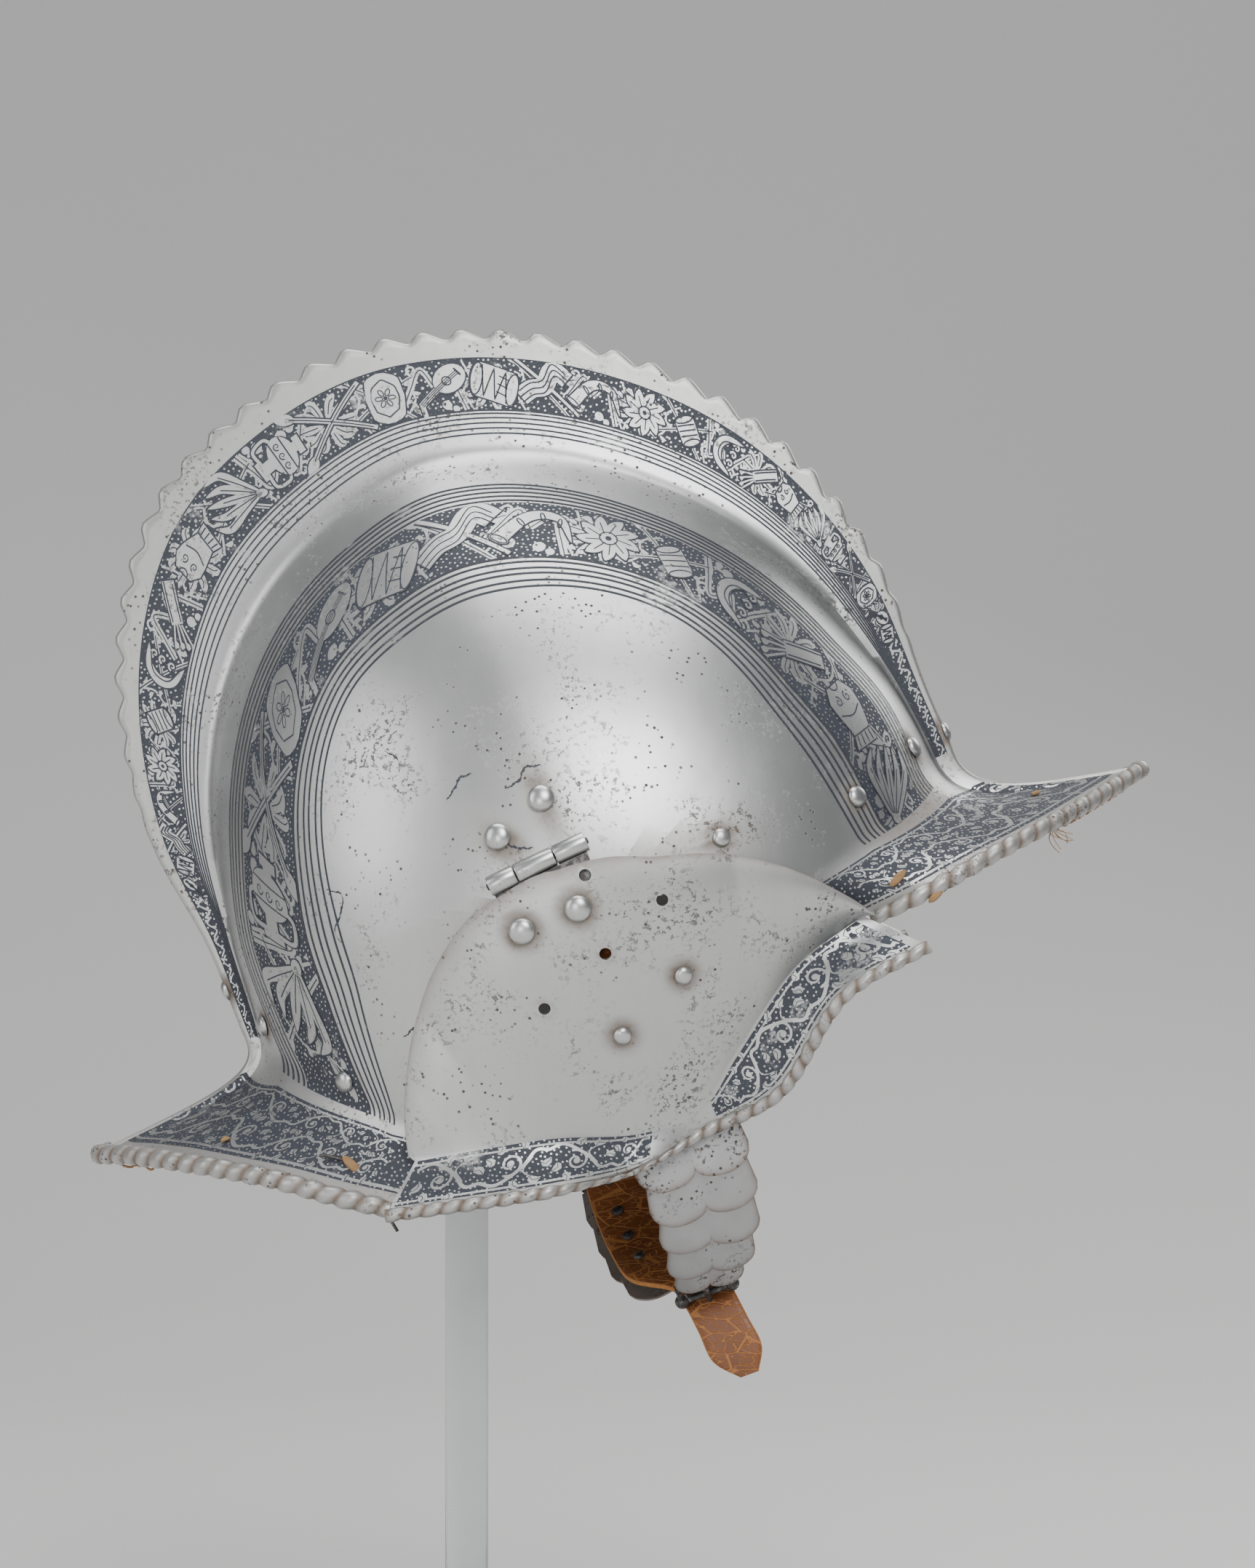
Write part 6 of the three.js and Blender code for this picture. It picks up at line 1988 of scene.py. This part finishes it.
def scale_mesh(strap, index):
    """One thin scale with two lobes below, crowned and softened at its edges, with painted shade along its
    lower and side edges.
    """
    start = strap.scale_end + SCALE_START[strap.side] - SCALE_HEIGHT / 2
    share = strap.share_at(start - index * SCALE_PITCH)
    down, out = strap.axes(share)
    lean = (SCALE_THICKNESS + SCALE_GAPS[strap.side] * PIECE_GAP) / SCALE_PITCH
    up = unit(-down - out * lean)
    across = unit(np.cross(up, out))
    face = np.cross(across, up)
    middle = strap.curve(share)
    at = np.interp(share, strap.fine, strap.along)
    spots = strap.share_at(at + np.linspace(-0.5, 0.5, 9) * SCALE_HEIGHT)
    under = (strap.curve(np.minimum(spots, 1)) - middle) @ face
    place = middle + face * (under.max() + STRAP_THICKNESS / 2 + 3 * PIECE_GAP)
    half = SCALE_HALVES[strap.side][index] * SCALE_HALF_WIDTH
    columns, rows = 56, 20
    x = np.linspace(-1, 1, columns + 1)
    t = np.linspace(0, 1, rows + 1)
    lobe = np.abs((np.abs(x) - 0.5) / 0.5)
    trim = 3.2 if index == 0 and strap.side == "right" else 0.0
    notch = 1 - np.sqrt(np.maximum(1 - lobe**2, 0))
    low = trim - SCALE_HEIGHT / 2 + 0.42 * half * notch * (0.55 + 0.45 * (np.abs(x) > 0.5))
    top = np.full_like(low, SCALE_HEIGHT / 2)
    height = top[:, None] + (low - top)[:, None] * t[None, :]
    width = half * (0.93 + 0.07 * t)[None, :] * x[:, None]
    knock = 0.12 * np.sin(3.1 * index + 0.5 * width) * np.sin(0.4 * height + index)
    dome = (1 - lobe**2)[:, None] * np.sin(0.5 * np.pi * t)[None, :]
    crown = 0.6 * (1 - x[:, None] ** 2) * t[None, :] + 0.22 * dome - 0.3 * t[None, :] ** 4 + knock
    lift = face * (crown + SCALE_THICKNESS)[..., None]
    grid = place + across * width[..., None] + up * height[..., None] + lift
    inner = grid - face * SCALE_THICKNESS
    points = np.concatenate([grid.reshape(-1, 3), inner.reshape(-1, 3)])
    # Painted shade: the scale is tinted darker and browner towards its lower edge and its sides. Its face
    # also gets a faint even tint, and its back a stronger one.
    edge = np.exp(-(1 - t) * 16)[None, :] + 0.8 * np.exp(-(1 - np.abs(x)) * 22)[:, None]
    edge = np.minimum(edge + 0.12, 1.0)
    patina_and_shade = np.concatenate([0.9 * edge.ravel(), np.full(edge.size, 0.6)])
    return points, facing(points, plate_faces(columns + 1, rows + 1), face), patina_and_shade


class MORION_OT_chin_strap(PieceOperator, bpy.types.Operator):
    """Build both leather straps with their scales and rivet ends"""

    bl_idname = "morion.chin_strap"
    bl_label = "Chin strap"

    def execute(self, context):
        for side in ("right", "left"):
            strap = Strap(side)
            points, faces, raw = strap_mesh(strap)
            name, marks = side + "_strap_leather", {"raw_edge": raw}
            piece = new_piece(name, points, faces, "old_leather", "strap_leather", marks=marks)
            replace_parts(piece, side + "_strap")
            for index in range(SCALE_COUNT):
                # The scale's mark is painted shade along its lower and side edges.
                points, faces, patina_and_shade = scale_mesh(strap, index)
                name = f"{side}_scale_{index + 1}"
                looks = ("scale_plate_steel", "scale_steel")
                scale = new_piece(name + "_plate", points, faces, *looks, marks={"patina_and_shade": patina_and_shade}, sharp=40)
                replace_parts(scale, name)
            self.rivet_ends(strap)
        return {"FINISHED"}

    def rivet_ends(self, strap):
        """Dark ends of the scales' rivets on the strap's inner face, in two columns."""
        seats = []
        for index in range(SCALE_COUNT):
            share = strap.share_at(strap.scale_end - 0.9 * SCALE_PITCH - index * SCALE_PITCH)
            _, out = strap.axes(share)
            for offset in (-0.5, 0.5):
                place = strap.curve(share) - out * (STRAP_THICKNESS / 2 - 0.25)
                place = place + np.array([offset * strap.half(share), 0.0, 0.0])
                seats.append((place, -out, sizes().strap_spot / MM, 1.2))
        fasteners(strap.side + "_strap_rivet_ends", seats, "dark_iron")


class MORION_OT_buckle(PieceOperator, bpy.types.Operator):
    """Build the buckle's frame with its knobs, and its prong"""

    bl_idname = "morion.buckle"
    bl_label = "Buckle"

    def execute(self, context):
        left = Strap("left")
        right = Strap("right")
        tongue = hung(*STRAP_POINTS["left"][-1][:3])
        share = (len(STRAP_SEATS["left"]) + len(STRAP_POINTS["left"]) - 1) / (left.count - 1)
        _, out = left.axes(share)
        low = tongue - out * (STRAP_THICKNESS / 2 + 3 * PIECE_GAP + BUCKLE_BAR_RADIUS)
        high = right.curve(1.0) + right.axes(1.0)[0] * (PIECE_GAP + BUCKLE_BAR_RADIUS + 0.2)
        high[0] = low[0]
        reach = np.array([BUCKLE_HALF_WIDTH, 0.0, 0.0])
        meshes = [self.bar(place - reach, place + reach, BUCKLE_BAR_RADIUS) for place in (low, high)]
        meshes += [self.bar(low + end, high + end, 0.8 * BUCKLE_BAR_RADIUS) for end in (-reach, reach)]
        turn = np.linspace(0.12, np.pi - 0.12, 11)
        for side in (-1, 1):
            centres = low + side * reach + np.outer(np.cos(turn) * BUCKLE_KNOB_RADIUS, (-1.0, 0.0, 0.0))
            meshes.append(tube(centres, np.sin(turn) * BUCKLE_KNOB_RADIUS, 18))
        bars = new_piece("buckle_bars", *joined(meshes), "dark_iron", "buckle_iron")
        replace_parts(bars, "buckle_frame")
        side = unit(np.cross(high - low, np.array([-1.0, 0.0, 0.0])))
        side = side if side[1] < 0 else -side
        lift = side * (BUCKLE_BAR_RADIUS + PRONG_RADIUS + PIECE_GAP)
        back = unit(high - low) * 0.5 * PRONG_RADIUS
        prong = self.bar(low + lift - back, high + lift - back, PRONG_RADIUS)
        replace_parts(new_piece("buckle_prong_rod", *prong, "dark_iron", "buckle_iron"), "buckle_prong")
        return {"FINISHED"}

    def bar(self, a, b, radius):
        shares = np.array([0.0, 0.02, 0.06, 0.3, 0.5, 0.7, 0.94, 0.98, 1.0])
        swell = np.array([0.6, 0.9, 1.0, 0.94, 0.9, 0.94, 1.0, 0.9, 0.6])
        return tube(a + (b - a) * shares[:, None], radius * swell, 16)


# Remains of the lining: flat leather ends through slits, loose cords and a bent wire

THONGS = (
    ("front_thong_upper", (90, -4), (-8, -4), 7.0, 2.6),
    ("front_thong_lower", (99, None), (-9, -4), 6.0, 2.4),
    ("front_thong_far", (142, 4), (-3, 0), 3.2, 2.0),
    ("rear_thong", (-99, -29), (4, -8), 8.0, 3.0),
    ("rear_thong_small", (-135, -9), (-3, 0), 3.2, 1.8),
)


class MORION_OT_lining_remains(PieceOperator, bpy.types.Operator):
    """Build the ends of leather, cord and wire that the lining left on the brim"""

    bl_idname = "morion.lining_remains"
    bl_label = "Lining remains"

    def execute(self, context):
        t = np.linspace(-0.5, 0.5, 9)
        angle = np.linspace(0, 2 * np.pi, 12, endpoint=False)
        for name, (x, z), (lean_x, lean_z), length, width in THONGS:
            place, normal = self.rope_seat(x) if z is None else self.brim_seat(x, z)
            along = unit(np.array([lean_x, 0.0, lean_z], float))
            arch = 0.5 + 0.5 * np.cos(np.pi * t)
            centres = place + normal * arch[:, None] + along * (t * length)[:, None]
            flat = np.hypot(0.5 * width * np.cos(angle), 0.6 * np.sin(angle))
            radii = np.sqrt(np.maximum(1 - (2 * t) ** 2, 0.03))[:, None] * flat
            new_piece(name, *tube(centres, radii, 12, normal), "lining_fibre", "strap_leather")
        self.strip()
        self.cords()
        self.wires()
        self.tongue()
        return {"FINISHED"}

    def rope_seat(self, x):
        """A place low on the front rope's outer side."""
        fine = brim_curve(BRIMS["front"])(np.linspace(0.0, 0.5, 200))
        place = fine[np.argmin(np.abs(fine[:, 0] - x))]
        return place + np.array([0.0, -0.8, -2.3]), np.array([0.0, -1.0, 0.0])

    def brim_seat(self, x, z):
        """A place on the front brim or the rear one, whichever side x is on."""
        lines = brim_lines("front" if x > 0 else "rear")
        return grid_seat(lines, grid_normals(lines, (0, 0, 1)), x, z)

    def strip(self):
        """The edge of the lining's leather, which shows below the front rope."""
        curve = brim_curve(BRIMS["front"])
        centres = curve(np.linspace(0.30, 0.44, 60)) + (-1.5, 1.0, -2.6)
        wave = 0.7 + 0.25 * np.sin(np.arange(60) * 1.3) * np.sin(np.arange(60) * 0.41)
        new_piece("front_lining_edge", *tube(centres, wave, 10), "lining_fibre", "strap_leather")

    def cords(self):
        """Loose threads below the front rope, and three cords below the rear one."""
        meshes = []
        rng = np.random.default_rng(5)
        root = brim_curve(BRIMS["front"])(0.27) + (0.0, 1.0, -2.0)
        t = np.linspace(0, 1, 10)[:, None]
        for _ in range(9):
            lean = np.array([rng.uniform(-5, 7), rng.uniform(-1, 1), rng.uniform(-8, -3)])
            bow = np.array([rng.uniform(-2, 2), 0.0, rng.uniform(-1, 1)])
            meshes.append(tube(root + lean * t + bow * np.sin(np.pi * t), 0.13, 5))
        rear = brim_curve(BRIMS["rear"])
        t = np.linspace(0, 1, 26)[:, None]
        turn = np.arange(26)[:, None] * 1.9 + np.arange(6) * 1.05
        for k, share in enumerate((0.44, 0.455, 0.40)):
            root = rear(share) + (0.0, 1.0, -1.5)
            bow = np.array([0.0, 0.5, -2.2 - 0.6 * k]) * np.sin(np.pi * t)
            centres = root + np.array([11.0 - 3 * k, 0.0, -4.5 + 1.5 * k]) * t + bow
            meshes.append(tube(centres, 0.42 + 0.12 * np.sin(turn), 6))
        new_piece("lining_cords", *joined(meshes), "lining_fibre", "lining_cord")

    def wires(self):
        """A bent wire through the rear brim, and the end of another under its corner."""
        place, normal = self.brim_seat(-102.5, -26)
        turn = np.linspace(0, np.pi, 14)
        reach = np.array([5.0, 0.0, -3.4])
        loop = place - np.outer(np.cos(turn), reach) + np.outer(np.sin(turn) * 1.6 - 0.3, normal)
        root = brim_curve(BRIMS["rear"])(0.012)
        t = np.linspace(0, 1, 12)[:, None]
        end = root + np.array([0.5, 0.0, -2.0]) + np.array([1.4, -0.6, -6.5]) * t
        wires = joined([tube(line, 0.55, 8) for line in (loop, end)])
        new_piece("lining_wires", *wires, "dark_iron", "wire")

    def tongue(self):
        """A stiff leather end that hangs inside the far cheekpiece's rear corner."""
        t = np.linspace(0, 1, 24)
        centres = route([(-93, 81, -44), (-87, 80, -51.5), (-78, 80, -53), (-70, 81, -48)])(t)
        angle = np.linspace(0, 2 * np.pi, 16, endpoint=False)
        flat = np.hypot(0.7 * np.cos(angle), 3.6 * np.sin(angle))
        radii = np.sqrt(np.maximum(1 - (2 * t - 1) ** 4, 0.05))[:, None] * flat[None, :]
        points, faces = tube(centres, radii, 16)
        marks = {"raw_edge": np.zeros(len(points))}
        new_piece("far_leather_end", points, faces, "old_leather", "strap_leather", marks=marks)


class MORION_OT_stand(PieceOperator, bpy.types.Operator):
    """Polish the clear stand and cover its pad with felt"""

    bl_idname = "morion.stand"
    bl_label = "Stand"

    def execute(self, context):
        bevel = sizes().stand_bevel
        for node, name, finish, slot, width in (
            ("stand", "stand_acrylic", "hazed_acrylic", "clear_acrylic", bevel),
            ("stand_pad", "stand_pad_felt", "pad_felt", "stand_felt", 1.2 * bevel),
        ):
            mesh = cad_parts[node].data.copy()
            mesh.materials.clear()
            shape = bmesh.new()
            shape.from_mesh(mesh)
            bmesh.ops.remove_doubles(shape, verts=shape.verts, dist=1e-6)
            parts = {"verts": shape.verts, "edges": shape.edges, "use_dissolve_boundaries": False}
            bmesh.ops.dissolve_limit(shape, angle_limit=math.radians(2), **parts)
            inner = [edge for edge in shape.edges if len(edge.link_faces) == 2]
            sharp = [edge for edge in inner if edge.calc_face_angle(0) > math.radians(30)]
            rounding = {"segments": 3, "profile": 0.5, "affect": "EDGES", "clamp_overlap": True}
            bmesh.ops.bevel(shape, geom=sharp, offset=width, **rounding)
            bmesh.ops.triangulate(shape, faces=[f for f in shape.faces if len(f.verts) > 4])
            shape.to_mesh(mesh)
            shape.free()
            mesh.materials.append(finish_of(finish))
            piece = finished(name, mesh, 35)
            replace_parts(piece, node)
        return {"FINISHED"}


# The studio

FRAME_CENTRE = Vector((0.0513, 0.0, 0.2967))
FRAME_HEIGHT = 0.5009
CAMERA_DISTANCE = 2.2
SENSOR_HEIGHT = 36.0
LIGHTS = (
    ("key", (0.45, -1.9, 1.5), (0.8, 1.1), 36.0),
    ("fill", (-1.8, -1.0, 0.9), (0.9, 1.6), 15.0),
    ("top", (0.0, -0.1, 1.9), (1.4, 0.8), 19.0),
    ("low", (-0.62, -2.3, 0.22), (0.45, 0.8), 10.0),
    ("rim", (0.9, 1.3, 1.2), (1.2, 0.8), 11.0),
)


class MORION_OT_studio(PieceOperator, bpy.types.Operator):
    """Lay a pale floor, hang soft lights and stand the camera at the photographed side"""

    bl_idname = "morion.studio"
    bl_label = "Studio"

    def execute(self, context):
        scene = context.scene
        self.floor(scene)
        for name, place, size, power in LIGHTS:
            light = bpy.data.lights.new(name + "_light", "AREA")
            light.shape = "RECTANGLE"
            light.size, light.size_y = size
            light.energy = power
            lamp = bpy.data.objects.new(name + "_light", light)
            lamp.location = place
            lamp.rotation_euler = (FRAME_CENTRE - Vector(place)).to_track_quat("-Z", "Y").to_euler()
            scene.collection.objects.link(lamp)
        world = bpy.data.worlds.new("studio_air")
        world.use_nodes = True
        world.node_tree.nodes["Background"].inputs["Color"].default_value = (0.30, 0.30, 0.315, 1.0)
        world.node_tree.nodes["Background"].inputs["Strength"].default_value = 0.75
        scene.world = world
        lens = bpy.data.cameras.new("portrait_camera")
        lens.sensor_fit = "VERTICAL"
        lens.sensor_height = SENSOR_HEIGHT
        lens.lens = SENSOR_HEIGHT * CAMERA_DISTANCE / FRAME_HEIGHT
        camera = bpy.data.objects.new("portrait_camera", lens)
        camera.location = FRAME_CENTRE - Vector((0.0, CAMERA_DISTANCE, 0.0))
        camera.rotation_euler = (math.radians(90), 0.0, 0.0)
        scene.collection.objects.link(camera)
        scene.camera = camera
        return {"FINISHED"}

    def floor(self, scene):
        """A floor that runs up in one sweep behind the stand."""
        angles = np.radians(np.arange(10, 91, 10))
        sweep = [(1.2 + 1.5 * math.sin(a), 1.5 - 1.5 * math.cos(a)) for a in angles]
        profile = [(-6.0, 0.0), (1.2, 0.0), *sweep, (2.7, 6.0)]
        points = [(x, y, z - 0.0004) for x in (-7.0, 7.0) for y, z in profile]
        count = len(profile)
        faces = [(i, i + count, i + count + 1, i + 1) for i in range(count - 1)]
        mesh = bpy.data.meshes.new("studio_floor")
        mesh.from_pydata(points, [], faces)
        mesh.shade_smooth()
        mesh.materials.append(finish_of("studio_paint"))
        floor = bpy.data.objects.new("studio_floor", mesh)
        scene.collection.objects.link(floor)


STEPS = (
    MORION_OT_studio,
    MORION_OT_skull,
    MORION_OT_skull_etching,
    MORION_OT_scars,
    MORION_OT_cheekpieces,
    MORION_OT_hinges,
    MORION_OT_rivets,
    MORION_OT_chin_strap,
    MORION_OT_buckle,
    MORION_OT_lining_remains,
    MORION_OT_stand,
)


class MORION_PT_panel(bpy.types.Panel):
    bl_idname = "MORION_PT_panel"
    bl_label = "Morion"
    bl_space_type = "VIEW_3D"
    bl_region_type = "UI"
    bl_category = "Morion"

    def draw(self, context):
        layout = self.layout
        for step in STEPS:
            layout.operator(step.bl_idname)
        for group in (context.scene.morion_sizes, context.scene.morion_colours):
            box = layout.box()
            for name in group.__annotations__:
                box.prop(group, name)


CLASSES = (MorionSizes, MorionColours, *STEPS, MORION_PT_panel)


def register():
    for cls in CLASSES:
        bpy.utils.register_class(cls)
    bpy.types.Scene.morion_sizes = bpy.props.PointerProperty(type=MorionSizes)
    bpy.types.Scene.morion_colours = bpy.props.PointerProperty(type=MorionColours)


def unregister():
    del bpy.types.Scene.morion_colours
    del bpy.types.Scene.morion_sizes
    for cls in reversed(CLASSES):
        bpy.utils.unregister_class(cls)


def main():
    register()
    for step in STEPS:
        group, name = step.bl_idname.split(".")
        getattr(getattr(bpy.ops, group), name)()


if __name__ == "__main__":
    main()
